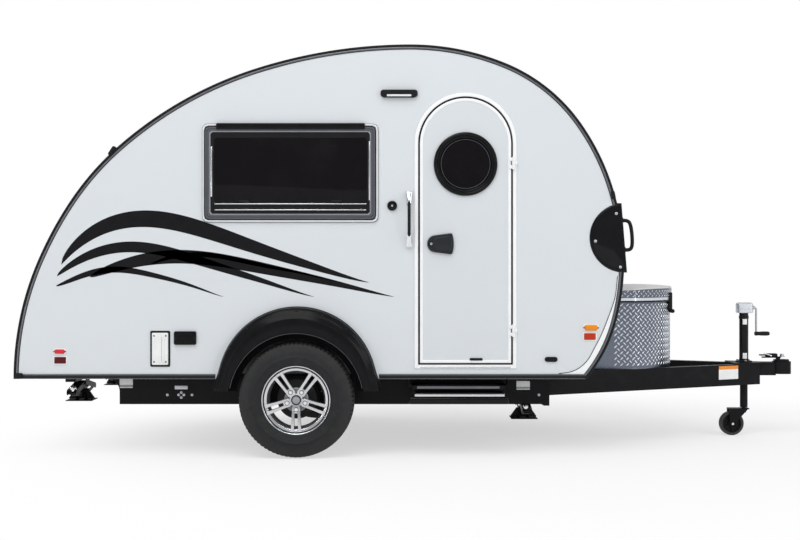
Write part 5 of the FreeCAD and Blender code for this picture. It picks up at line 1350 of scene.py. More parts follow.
@dataclass
class EdgeTrim:
    """Edge extrusion that joins the side walls to the roof: rubber bead, metal strip and inner line."""

    proud: float = 0.0045
    bead: float = 0.010
    strip: float = 0.0115
    line: float = 0.0035
    samples: int = 420
    block_at: tuple = (1.040, 1.476)
    hinge_at: tuple = (-1.775, 1.724)

    def carried(self, low: Number, high: Number, outer: Number, inner: Number,
                start: Number = 0, end: Number = 1) -> Shape:
        """A strip of the trim: its section spans two insets and two Y values, and follows the outline.

        Args:
            low: inset of its outer edge.
            high: inset of its inner edge.
            outer: Y distance of its outer face.
            inner: Y distance of its inner face.
            start: share of the outline where it starts.
            end: share of the outline where it ends.

        Returns:
            The strip on both sides.
        """
        full = OUTLINE.run_length()[-1]
        run = np.linspace(start * full, end * full, self.samples)
        section = box_outline(high - low, outer - inner, min(high - low, outer - inner) * 0.42, 4)
        section = section + np.array([(low + high) / 2, (outer + inner) / 2])
        rings = []
        for inset, y in section:
            flat = OUTLINE.at(run, -inset)
            rings.append(np.column_stack([flat[:, 0], np.full(len(run), -y), flat[:, 1]]))
        return grid(np.stack(rings, 1), around=True, caps=True).both_sides()

    def build(self) -> None:
        """Builds the bead, the strip, the line and the end pieces."""
        face = HALF_BODY + self.proud
        bead = self.carried(-0.004, self.bead, face + 0.001, HALF_BODY - 0.014)
        edge = self.bead + self.strip
        line = self.carried(edge, edge + self.line, face - 0.0015, HALF_BODY - 0.004)
        piece("edge_bead", bead, TRIM_RUBBER)
        piece("edge_line", line, TRIM_RUBBER)
        piece("edge_strip", self.carried(self.bead, edge, face - 0.0008, HALF_BODY - 0.004), SILVER_STRIP)
        piece("roof_edge_strip", self.roof_edge(), SILVER_STRIP)
        self.build_ends()

    def roof_edge(self) -> Shape:
        """The extrusion's flange on the curved skin, with its insert line, along both edges.

        Returns:
            The flange on both sides.
        """
        full = OUTLINE.run_length()[-1]
        run = np.linspace(0, full, self.samples)
        section = [(HALF_BODY - 0.012, -0.001), (HALF_BODY - 0.012, 0.0028), (HALF_BODY - 0.018, 0.0034),
                   (HALF_BODY - 0.034, 0.0030), (HALF_BODY - 0.036, -0.001)]
        rings = []
        for y, out in section:
            flat = OUTLINE.at(run, out)
            rings.append(np.column_stack([flat[:, 0], np.full(len(run), -y), flat[:, 1]]))
        return grid(np.stack(rings, 1), around=True, caps=True).both_sides()

    def build_ends(self) -> None:
        """A hinge plug at the top of the rear slope and a stop block above the front window."""
        parts = []
        for x, z, slope, size in ((*self.hinge_at, 57, (0.060, 0.022)),
                                  (*self.block_at, -78, (0.050, 0.024))):
            outline = box_outline(*size, min(size) * 0.45, 5)
            angle = math.radians(slope)
            matrix = np.array([[math.cos(angle), math.sin(angle)], [-math.sin(angle), math.cos(angle)]])
            parts.append(slab(outline @ matrix + np.array([x, z]), -HALF_BODY - 0.011,
                              -HALF_BODY + 0.02, 0.004))
        parts.append(block((-2.3235, -HALF_BODY - 0.0150, 0.4440),
                           (-2.2780, -HALF_BODY + 0.004, 0.4760), 0.004))
        piece("edge_plugs", joined(parts).both_sides(), SATIN_BLACK)


@dataclass
class Skirt:
    """Lower edge of the side walls: dark rail with its bright line, corner panel and its seam."""

    low: float = 0.4445
    high: float = 0.4715
    line: float = 0.4670
    seam_knots: tuple = ((0.735, 0.4735), (0.800, 0.4800), (0.850, 0.5020), (0.900, 0.5480),
                         (0.9300, 0.6060), (0.9750, 0.6900),
                         (1.0090, 0.7770), (1.0400, 0.8600), (1.0560, 0.9200), (1.0655, 1.0200))

    def build(self) -> None:
        """Builds the rail between the arch and the ends, its bright line, and the front corner with its
        seam.
        """
        spans = ((-2.290, -1.195), (-0.275, 0.884))
        parts, lines = [], []
        for start, end in spans:
            z = np.array([self.low, self.low + 0.0004, self.high - 0.004, self.high])
            y = np.array([0.9338, 0.9342, 0.9342, 0.929])
            rows = np.stack([np.column_stack([np.full(4, x), -y, z]) for x in (start, end)])
            back = np.stack([np.column_stack([np.full(4, x), np.full(4, -0.928), z]) for x in (start, end)])
            parts.append(grid(np.concatenate([rows, back[:, ::-1]], 1), around=True, caps=True))
            lines.append(block((start + 0.002, -0.9356, self.line - 0.0030),
                               (end - 0.002, -0.9338, self.line + 0.0035), 0.0006))
        piece("skirt_rail", joined(parts).both_sides(), SKIRT_ALLOY)
        piece("skirt_line", joined(lines).both_sides(), SILVER_STRIP)
        piece("corner_seam", self.seam(), TRIM_RUBBER)
        piece("nose_foot_panel", self.foot_panel(), FRAME_WHITE)

    def knots(self, count: int = 70) -> Array:
        """The seam's line: its knots with the corners between them rounded off, evenly spaced.

        Args:
            count: number of points.

        Returns:
            One row a point.
        """
        line = np.array(self.seam_knots)
        for _ in range(3):
            quarter, rest = line[:-1] * 0.75 + line[1:] * 0.25, line[:-1] * 0.25 + line[1:] * 0.75
            line = np.vstack([line[:1], np.stack([quarter, rest], 1).reshape(-1, 2), line[-1:]])
        return resampled(line, count, closed=False)

    def seam(self) -> Shape:
        """A thin raised line round the front lower corner of the wall, along the seam's line."""
        return tube(upright(self.knots(), -0.9312), 0.0020, up=(0, 1, 0), count=8).both_sides()

    def foot_panel(self) -> Shape:
        """The light corner piece: a low plate from the seam's line to the nose, whose edge follows the
        outline.

        Returns:
            The plate on both sides.
        """
        seam = self.knots()
        heights = np.linspace(0.4445, 1.02, len(seam))
        front = np.array([OUTLINE.at(np.array([OUTLINE.run_at(z, rear=False)]), -0.018)[0]
                          for z in heights])
        rows = [upright(seam, -0.9285), upright(seam, -0.9312), upright(front, -0.9312),
                upright(front, -0.9285)]
        return grid(np.stack(rows, 1), around=True, caps=True).both_sides()


@dataclass
class StripeDecal:
    """Generic flowing stripes in black film along each wall: tapered ribbons that rise, crest and run out
    forward.
    """

    film: float = 0.0006
    rows: tuple = (
        # start x, end x, start z, crest share, crest height, end z, width
        (-2.060, -0.330, 1.085, 0.30, 0.285, 0.985, 0.094),
        (-2.085, -0.640, 1.020, 0.34, 0.200, 0.905, 0.060),
        (-1.900, -0.190, 1.015, 0.36, 0.150, 0.905, 0.076),
        (-2.090, -1.150, 0.965, 0.42, 0.118, 0.905, 0.034),
        (-1.560, -0.500, 1.085, 0.34, 0.085, 0.985, 0.026),
    )

    def ribbon(self, start: Number, end: Number, low: Number, crest: Number, lift: Number,
               last: Number, width: Number) -> Shape:
        """One tapered ribbon.

        Its middle line is the straight line between its ends plus a skewed hump, and its width
        is a half sine of the same share, drawn out towards the front.

        Args:
            start: X of the rear tip.
            end: X of the front tip.
            low: Z of the rear tip.
            crest: share of the length where the hump is highest.
            lift: height of the hump.
            last: Z of the front tip.
            width: greatest width.

        Returns:
            The ribbon as a thin closed plate.
        """
        share = np.linspace(0, 1, 110)
        skew = share ** (math.log(0.5) / math.log(crest))
        x = start + (end - start) * share
        hump = lift * np.sin(math.pi * skew) ** 1.4
        z = low + (last - low) * share + hump + 0.012 * np.sin(3 * math.pi * share) * share
        half = width / 2 * np.sin(math.pi * share ** 0.62) ** 0.85 + 0.0004
        middle = np.stack([x, z], -1)
        normal = outward(middle, closed=False)
        outline = np.vstack([middle + normal * half[:, None], (middle - normal * half[:, None])[::-1]])
        near = -HALF_BODY - self.film
        return grid(np.stack([upright(outline, near + self.film + 0.0004),
                              upright(outline, near)]), around=True) + \
            strip_fill(middle + normal * half[:, None], middle - normal * half[:, None], near)

    def build(self) -> None:
        """Builds the ribbons on both walls."""
        ribbons = joined([self.ribbon(*row) for row in self.rows])
        piece("flow_stripes", ribbons.both_sides(), VINYL_BLACK)


def strip_fill(upper: Array, lower: Array, y: Number) -> Shape:
    """A flat strip between two lines with equal counts, in one Y plane."""
    return grid(np.stack([upright(upper, y), upright(lower, y)], 1))


@dataclass
class SideWindow:
    """Top-hung side window: clamp ring, grey frame, blind rails and smoked pane."""

    middle: tuple = (-0.7735, 1.5995)
    size: tuple = (0.985, 0.549)
    corner: float = 0.028
    pane_middle: tuple = (-0.7715, 1.6115)
    pane_size: tuple = (0.859, 0.371)
    proud: float = 0.018

    def outline(self, inset: Number, count: int = 160) -> Array:
        """The frame's outer outline moved inward, evenly spaced from its right end.

        Args:
            inset: how far inward.
            count: number of points.

        Returns:
            One row of X and Z a point.
        """
        width, height = self.size[0] - 2 * inset, self.size[1] - 2 * inset
        ring = box_outline(width, height, max(self.corner - inset * 0.6, 0.012), 9)
        return resampled(ring, count) + np.array(self.middle)

    def pane_outline(self, inset: Number, count: int = 160) -> Array:
        """The clear pane's outline moved inward.

        Args:
            inset: how far inward.
            count: number of points.

        Returns:
            One row of X and Z a point.
        """
        width, height = self.pane_size[0] - 2 * inset, self.pane_size[1] - 2 * inset
        return resampled(box_outline(width, height,
                                     max(0.012 - inset, 0.004), 9), count) + np.array(self.pane_middle)

    def band(self, outer: Number, inner: Number, heights: Sequence[tuple[float, float]]) -> Shape:
        """A frame band between two insets with a section of share and height above the wall."""
        section = [(share, -HALF_BODY - up) for share, up in heights]
        return frame_band(self.outline(outer), self.outline(inner), section).both_sides()

    def build(self) -> None:
        """Builds the rings from the outside in, the hinge profile, the rails, the pane and the blind."""
        p = self.proud
        ring = self.band(0.0, 0.010, ((0, -0.002), (0, p * 0.55), (0.25, p * 0.8), (0.7, p * 0.8),
                                      (1, p * 0.5), (1, -0.002)))
        piece("window_clamp_ring", ring, RING_GREY,
              stands_for=("window_frames", "window_panes"))
        seal = self.band(0.0095, 0.0155, ((0, -0.002), (0, p * 0.42), (1, p * 0.42), (1, -0.002)))
        seal += self.band(0.0262, 0.0282, ((0, p * 0.5), (0, p * 1.03), (1, p * 1.03), (1, p * 0.5)))
        seal += self.band(-0.0022, 0.0004, ((0, -0.002), (0, 0.004), (1, 0.004), (1, -0.002)))
        piece("window_seal", seal, TRIM_RUBBER)
        face = self.band(0.0150, 0.0400, ((0, -0.002), (0, p * 0.62), (0.12, p * 0.95), (0.85, p),
                                          (1, p * 0.8), (1, -0.002)))
        piece("window_frame_face", face, FRAME_GREY)
        bead = self.band(0.0395, 0.0450,
                         ((0, -0.002), (0, p * 0.80), (0.5, p * 0.9), (1, p * 0.75), (1, -0.002)))
        piece("window_inner_bead", bead, LIGHT_GREY)
        lining = frame_band(
            self.outline(0.0445), self.pane_outline(-0.001),
            ((0, -HALF_BODY + 0.003), (0, -HALF_BODY - 0.0105), (1, -HALF_BODY - 0.0075),
             (1, -HALF_BODY + 0.003)),
        )
        piece("window_lining", lining.both_sides(), SATIN_BLACK)
        pane = slab(self.pane_outline(-0.003), -HALF_BODY - 0.0072, -HALF_BODY - 0.0022, 0.001)
        piece("window_pane_side", pane.both_sides(), SMOKED)
        self.build_rails()
        self.build_inside()

    def build_rails(self) -> None:
        """Hinge profile above the pane, two slim blind rails below it, sill bars, stays and latches."""
        low, high = self.pane_middle[1] + self.pane_size[1] / 2, self.middle[1] + self.size[1] / 2
        hinge = block((-1.188, -0.9560, high - 0.031), (-0.353, -0.932, high + 0.005), 0.007, 4)
        piece("window_hinge", hinge.both_sides(), GLOSS_BLACK)
        start, end = self.pane_middle[0] - self.pane_size[0] / 2, self.pane_middle[0] + self.pane_size[0] / 2
        base = self.pane_middle[1] - self.pane_size[1] / 2
        rails = [block((start + 0.004, -0.9460, base - drop - 0.0030),
                       (end - 0.004, -0.938, base - drop + 0.0030), 0.002)
                 for drop in (0.0, 0.0335)]
        piece("window_blind_rails", joined(rails).both_sides(), BRIGHT_STRIP)
        sills = [block((start - 0.004, -0.9450, base - drop - 0.0055),
                       (end + 0.004, -0.938, base - drop + 0.0055), 0.003)
                 for drop in (0.0105, 0.0235)]
        piece("window_sill_bars", joined(sills).both_sides(), SATIN_BLACK)
        stay = [block((start - 0.019, -0.9425, base + 0.04), (start - 0.010, -0.939, low - 0.05), 0.002),
                block((end + 0.010, -0.9425, base + 0.02), (end + 0.019, -0.939, low - 0.02), 0.002)]
        piece("window_stays", joined(stay).both_sides(), BRIGHT_STRIP)
        latch = [block((x - 0.028, -0.9455, base + 0.008), (x + 0.028, -0.938, base + 0.022), 0.003)
                 for x in (start + 0.17, end - 0.17)]
        piece("window_latches", joined(latch).both_sides(), SATIN_BLACK)

    def build_inside(self) -> None:
        """Blind cassette inside the wall, with pleats made by a wave along the height."""
        start, end = self.middle[0] - 0.43, self.middle[0] + 0.43
        z = np.linspace(1.740, 1.800, 41)
        y = -0.884 - 0.004 * np.cos(np.linspace(0, 20 * math.pi, 41))
        rows = np.stack([np.column_stack([np.full(41, x), y, z]) for x in (start, end)])
        back = rows[:, ::-1] + np.array([0, 0.008, 0])
        pleats = grid(np.concatenate([rows, back], 1), around=True, caps=True)
        piece("window_blinds", pleats.both_sides(), BLIND)
        box_rows = [block((start - 0.02, -0.893, 1.800), (end + 0.02, -0.868, 1.846), 0.006),
                    block((start - 0.02, -0.893, 1.372), (end + 0.02, -0.872, 1.396), 0.006)]
        piece("window_blind_boxes", joined(box_rows).both_sides(), FRAME_WHITE)


@dataclass
class TailWindow:
    """Curved window in the rear slope: frame, bead, pane and two catches."""

    middle_z: float = 1.447
    width: float = 1.300
    length: float = 0.620
    proud: float = 0.022
    corner: float = 0.060

    def on_skin(self, flat: Array, out: Union[Number, Array]) -> Array:
        """Points given across the trailer and along the skin, laid on the curved tail at a height.

        Args:
            flat: rows of a place across and one along the skin.
            out: height above the skin.

        Returns:
            One row of X, Y and Z a point.
        """
        run = OUTLINE.run_at(self.middle_z) + flat[:, 1]
        place = OUTLINE.at(run, out)
        return np.column_stack([place[:, 0], flat[:, 0], place[:, 1]])

    def outline(self, inset: Number, count: int = 140) -> Array:
        """The frame's outline on the flat, moved inward.

        Args:
            inset: how far inward.
            count: number of points.

        Returns:
            One row a point, across and along the skin.
        """
        ring = box_outline(self.width - 2 * inset, self.length - 2 * inset,
                           max(self.corner - inset * 0.5, 0.02), 10)
        return resampled(ring, count)

    def band(self, outer: Number, inner: Number, section: Sequence[tuple[float, float]]) -> Shape:
        """A frame band on the skin, its section given by share and height.

        Args:
            outer: inset of the outer edge.
            inner: inset of the inner edge.
            section: pairs of share and height.

        Returns:
            The band.
        """
        a, b = self.outline(outer), self.outline(inner)
        rings = [self.on_skin(a + (b - a) * share, out) for share, out in section]
        return grid(np.stack(rings), around=True, along=True)

    def sheet(self, inset: Number, low: Number, high: Number) -> Shape:
        """A curved plate with the frame's outline: rings shrink to the middle line, on two levels.

        Args:
            inset: inset from the outline.
            low: height of its lower face.
            high: height of its upper face.

        Returns:
            The plate.
        """
        outline = self.outline(inset)
        shares = np.linspace(1, 0.02, 10)
        spine = outline * np.array([1, 0]) * 0.86
        top = [self.on_skin(spine + (outline - spine) * share, high) for share in shares]
        under = [self.on_skin(spine + (outline - spine) * share, low) for share in shares]
        return grid(np.stack(under[::-1] + top), around=True, caps=True)

    def build(self) -> None:
        """Builds the frame from the outside in."""
        p = self.proud
        frame = self.band(0.0, 0.048, ((0, -0.001), (0, p * 0.4), (0.1, p * 0.8), (0.45, p),
                                       (0.9, p * 0.9), (1, p * 0.6), (1, -0.001)))
        piece("tail_window_frame", frame, FRAME_GREY)
        piece("tail_window_bead", self.band(0.046, 0.054, ((0, 0), (0, p * 0.7), (1, p * 0.62), (1, 0))),
              BRIGHT_STRIP)
        piece("tail_window_pane", self.sheet(0.053, p * 0.30, p * 0.52), SMOKED)
        catches = []
        for y in (-0.42, 0.42):
            flat = box_outline(0.07, 0.018, 0.006, 4) + np.array([y, -self.length / 2 + 0.030])
            catches.append(grid(np.stack([self.on_skin(flat, p * 0.6), self.on_skin(flat, p * 1.2)]),
                                around=True, caps=True))
        piece("tail_window_catches", joined(catches), SATIN_BLACK)


@dataclass
class NoseWindow:
    """Front window housing: leaning front, domed half-round cheeks and a smoked pane."""

    low: float = 1.041
    high: float = 1.431
    front: float = 1.119
    lean: float = 0.031
    pane_half: float = 0.750
    pane_low: float = 1.101
    pane_high: float = 1.371
    rivets: tuple = ((1.057, 1.372), (0.940, 1.217), (1.080, 1.071))

    def front_x(self, z: Union[Number, Array]) -> Union[float, Array]:
        """X of the leaning front face at a height."""
        return self.front - self.lean * (z - self.low) / (self.high - self.low)

    def half_disc(self, count: int = 60) -> Array:
        """Cheek outline: the straight front edge and a half circle behind it, counter-clockwise.

        Args:
            count: points on the half circle.

        Returns:
            One row of X and Z a point.
        """
        foot, head = np.array([self.front_x(self.low),
                               self.low]), np.array([self.front_x(self.high), self.high])
        middle, radius = (foot + head) / 2, np.linalg.norm(head - foot) / 2
        start = math.atan2(*(head - middle)[::-1])
        angle = np.linspace(start, start + math.pi, count)
        disc = middle + radius * np.stack([np.cos(angle) * 1.0, np.sin(angle)], -1)
        edge = foot + (head - foot) * np.linspace(0, 1, 24)[1:-1, None]
        return np.vstack([disc, edge])

    def build(self) -> None:
        """Builds the cheeks, the front band, the pane and the rivets."""
        outline = self.half_disc()
        middle = outline.mean(0)
        rings = [upright(outline, -0.9285)]
        for share, up in ((0, 0.0), (0.02, 0.004), (0.055, 0.0065), (0.09, 0.0068), (0.12, 0.0060),
                          (0.20, 0.0085), (0.45, 0.0105), (0.75, 0.0118), (0.97, 0.0120)):
            ring = outline + (middle - outline) * share
            rings.append(upright(ring, -HALF_BODY - up))
        cheeks = grid(np.stack(rings), around=True, caps=True).both_sides()
        piece("nose_cheeks", cheeks, GLOSS_BLACK, stands_for=("nose_housing",))
        piece("nose_band", self.band(), GLOSS_BLACK)
        piece("nose_pane", self.pane(), SMOKED)
        heads = screw_head(0.0085).turned(Axis.X, 90)
        spots = np.array([(x, -HALF_BODY - 0.0098, z) for x, z in self.rivets])
        piece("nose_rivets", heads.copied(spots).both_sides(), STEEL)

    def band(self) -> Shape:
        """Front face between the cheeks, a frame round the pane whose section turns back to the nose skin.

        Returns:
            The frame.
        """
        outer = self.face_outline(0.9295, self.low, self.high, 0.006)
        inner = self.face_outline(self.pane_half, self.pane_low, self.pane_high, 0.030)
        rings = []
        for share, back in ((0, 0.045), (0, 0.004), (0.01, 0.0), (0.97, 0.0), (1, 0.004), (1, 0.030)):
            flat = outer + (inner - outer) * share
            rings.append(np.column_stack([self.front_x(flat[:, 1]) - back, flat[:, 0], flat[:, 1]]))
        return grid(np.stack(rings), around=True, along=True)

    def face_outline(self, half: Number, low: Number, high: Number, corner: Number) -> Array:
        """A round-cornered outline on the front face, as Y and Z."""
        return resampled(box_outline(2 * half,
                                     high - low, corner, 8), 200) + np.array([0, (low + high) / 2])

    def pane(self) -> Shape:
        """The pane, a little behind the front face and bowed by a flat parabola of Y.

        Returns:
            The pane.
        """
        outline = self.face_outline(self.pane_half - 0.0005, self.pane_low + 0.0005,
                                    self.pane_high - 0.0005, 0.030)
        rings = []
        for share, back in ((1, 0.012), (1, 0.006), (0.995, 0.005), (0.6, 0.0045), (0.25, 0.004),
                            (0.02, 0.004)):
            flat = (outline - np.array([0, 1.236])) * np.array([share, share]) + np.array([0, 1.236])
            rings.append(np.column_stack([self.front_x(flat[:, 1]) - back, flat[:, 0], flat[:, 1]]))
        return grid(np.stack(rings), around=True, caps=True)


# ---------------------------------------------------------------------------------------
# Door and lamps
# ---------------------------------------------------------------------------------------
@dataclass
class EntryDoor:
    """Round-headed entry door: frame, seal, porthole, handle, hinges and catch."""

    half: float = DOOR_HALF
    low: float = DOOR_LOW
    top: float = DOOR_TOP
    pane: float = 0.143
    hinge_heights: tuple = (0.715, 1.655)
    hinge: tuple = (0.480, -0.948)
    knuckle: tuple = (0.0110, 0.0310)
    handle_z: float = 1.2022
    lock_x: float = 0.0185

    def outline(self, out: Number, arc: int = 60) -> Array:
        """The leaf outline moved outward: straight sides and foot, and a half circle on top.

        Args:
            out: how far outward.
            arc: points on the half circle.

        Returns:
            One row of X and Z a point.
        """
        radius, floor, centre = self.half + out, self.low - out, self.top - self.half
        angle = np.linspace(0, math.pi, 2 * arc)
        head = np.stack([radius * np.cos(angle), centre + radius * np.sin(angle)], -1)
        share = np.linspace(0, 1, arc)[1:, None]
        corners = np.array([(-radius, centre), (-radius, floor), (radius, floor), (radius, centre)])
        sides = [start + (end - start) * share for start, end in zip(corners, corners[1:])]
        return np.vstack([head, *sides[:2], sides[2][:-1]]) + np.array([DOOR_X, 0])

    def band(self, outer: Number, inner: Number, section: Sequence[tuple[float, float]]) -> Shape:
        """A band that follows the leaf outline, with a section of share and Y."""
        return frame_band(self.outline(outer), self.outline(inner), section)

    def build(self) -> None:
        """Builds the fixed frame, then what rides on the leaf."""
        frame = self.band(0.0265, 0.0048, ((0, -0.928), (0, -0.9335), (0.12, -0.9375), (0.55, -0.9385),
                                           (0.92, -0.9375), (1, -0.934), (1, -0.901)))
        piece("door_frame_band", frame, FRAME_WHITE, stands_for=("door_frame",))
        piece("door_frame_lining", self.band(0.0052, -0.006, ((0, -0.926), (1, -0.9265), (1, -0.9015),
                                                              (0, -0.9015))), FRAME_WHITE)
        piece("door_gap_seal", self.band(0.0050, -0.0045,
                                         ((0, -0.921), (0, -0.9290), (1, -0.9290), (1, -0.921),
                                          (1, -0.917), (0, -0.917))), TRIM_RUBBER)
        sill = block((DOOR_X - 0.255, -0.9395, self.low - 0.024),
                     (DOOR_X + 0.255, -0.9330, self.low - 0.016), 0.002)
        piece("door_sill_strip", sill, BRIGHT_STRIP)
        edge_line = self.outline(-0.0045)
        way = edge_line - np.array([DOOR_X, PORTHOLE_Z])
        hole = np.array([DOOR_X, PORTHOLE_Z]) + self.pane * way / np.linalg.norm(way, axis=1, keepdims=True)
        leaf = frame_band(edge_line, hole, ((0, -0.9045), (0, DOOR_FACE), (1, DOOR_FACE), (1, -0.9045)))
        piece("door_leaf", leaf, DOOR_SKIN, "door", stands_for=("entry_door",))
        leaf_band = self.band(-0.0045, -0.0215, ((0, -0.930), (0, -0.9352), (0.2, -0.9372), (0.8, -0.9375),
                                                 (1, -0.9352), (1, -0.931)))
        piece("door_leaf_band", leaf_band, FRAME_WHITE, "door")
        edge = self.band(-0.0002, -0.005, ((0, -0.908), (0, -0.9355), (1, -0.9362), (1, -0.908)))
        piece("door_leaf_edge", edge, TRIM_RUBBER, "door")
        self.build_porthole()
        self.build_handle()
        self.build_hinges()
        catch = [slab(box_outline(0.073, 0.014, 0.006, 4) + np.array([0.2705, 0.554]), -0.9405,
                      -0.9335, 0.002)]
        piece("door_catch", joined(catch), SATIN_BLACK, "door")
        panel = slab(resampled(self.outline(-0.05), 200), -0.9010, -0.9045, 0.0015)
        piece("door_inner_panel", panel, VENT_WHITE, "door")

    def build_porthole(self) -> None:
        """Round window: stepped outer ring, inner ring, tinted pane and a thin grey ring painted as a
        highlight.
        """
        centre = (DOOR_X, DOOR_FACE, PORTHOLE_Z)
        outer = [(0.179, 0.0), (0.179, -0.0075), (0.1765, -0.0125), (0.171, -0.0155), (0.164, -0.0158),
                 (0.1605, -0.0140), (0.1590, -0.0115), (0.1575, -0.0140), (0.153, -0.0150),
                 (0.1475, -0.0130),
                 (0.1445, -0.0080), (0.1440, -0.0030), (0.1440, 0.0), (0.150, 0.028), (0.150, 0.0)]
        piece("porthole_ring", lathe(outer, Axis.Y, centre, 96, closed=True), GLOSS_BLACK,
              "door", stands_for=("door_window",))
        pane = [(0.0, -0.0052), (0.05, -0.0051), (0.10, -0.0046), (0.144, -0.0036), (0.144, -0.0002),
                (0.0, -0.0002)]
        piece("porthole_pane", lathe(pane, Axis.Y, centre, 96), SMOKED, "door",
              stands_for=("door_pane",))
        # A thin grey ring on the black frame that paints the highlight line along the ring's inner edge.
        bead = circle(0.0013, 10) + np.array([0.1372, -0.0062])
        piece("porthole_painted_highlight_ring", lathe(bead, Axis.Y, centre, 96, closed=True), FRAME_GREY,
              "door")
        inner = [(0.150, 0.0300), (0.150, 0.0345), (0.172, 0.0345), (0.176, 0.0325), (0.176, 0.0300)]
        piece("porthole_inner_ring", lathe(inner, Axis.Y, centre, 72, closed=True), SATIN_BLACK,
              "door")

    def build_handle(self) -> None:
        """Paddle latch: back plate with a round rear end, raised paddle, finger well and key lock."""
        middle = self.handle_z
        front = np.radians(np.linspace(-19, 19, 24))
        rear = np.radians(np.linspace(104, 256, 24))
        bow = np.stack([-0.040 + 0.185 * np.cos(front), 0.185 * np.sin(front)], -1)
        nose = np.stack([0.0400 + 0.0450 * np.cos(rear), 0.0480 * np.sin(rear)], -1)
        plate = resampled(np.vstack([bow, nose]), 90) + np.array([0.0, middle])
        for _ in range(3):
            plate = (plate + np.roll(plate, 1, 0) + np.roll(plate, -1, 0)) / 3
        back_plate = slab(plate, -0.9500, DOOR_FACE - 0.0004, 0.006)
        piece("door_handle_plate", back_plate, HANDLE_GREY, "door")
        paddle = slab((plate - np.array([0.075, middle])) * np.array([0.74, 0.76])
                      + np.array([0.083, middle]), -0.9600, -0.9485, 0.005)
        piece("door_handle_paddle", paddle, HANDLE_GREY, "door")
        well = lathe([(0.0160, 0.0), (0.0160, -0.0030), (0.0140, -0.0042),
                      (0.0115, -0.0028), (0.0, -0.0022)], Axis.Y, (self.lock_x, -0.9497, middle), 36)
        piece("door_lock_ring", well, GLOSS_BLACK, "door")
        key = lathe([(0.0075, 0.0), (0.0075, -0.0030), (0.0066, -0.0038), (0.0, -0.0038)], Axis.Y,
                    (self.lock_x, -0.9515, middle), 28)
        slot = block((0.0177, -0.9560, middle - 0.004), (0.0193, -0.9545, middle + 0.004), 0.0004)
        piece("door_key_barrel", key, CHROME, "door")
        piece("door_key_slot", slot, SATIN_BLACK, "door")

    def build_hinges(self) -> None:
        """Middle knuckles on the frame, and outer knuckles, caps and straps on the leaf."""
        x, y = self.hinge
        near, far = self.knuckle
        covers, caps, leaves = [], [], []
        for z in self.hinge_heights:
            covers.append(lathe([(0.0, -0.0100), (0.0080, -0.0100), (0.0080, 0.0100), (0.0, 0.0100)],
                                Axis.Z, (x, y, z), 24))
            covers.append(block((x - 0.0085, y + 0.002, z - 0.0106),
                                (x + 0.020, -0.9360, z + 0.0106), 0.002))
            for end in (-1, 1):
                knuckle = [(0.0, end * near), (0.0080, end * near), (0.0080, end * far), (0.0, end * far)]
                leaves.append(lathe(knuckle, Axis.Z, (x, y, z), 24))
                span = sorted((z + end * near, z + end * far))
                leaves.append(block((x - 0.024, -0.9445, span[0]), (x, -0.9365, span[1]), 0.002))
            for sign in (-1, 1):
                cap = [(0.0, sign * 0.0352), (0.0070, sign * 0.0350), (0.0086, sign * 0.0335),
                       (0.0086, sign * 0.0305), (0.0, sign * 0.0305)]
                caps.append(lathe(cap, Axis.Z, (x, y, z), 24))
        piece("door_hinge_covers", joined(covers), FRAME_WHITE)
        piece("door_hinge_leaves", joined(leaves), FRAME_WHITE, "door")
        piece("door_hinge_caps", joined(caps), FRAME_WHITE, "door")


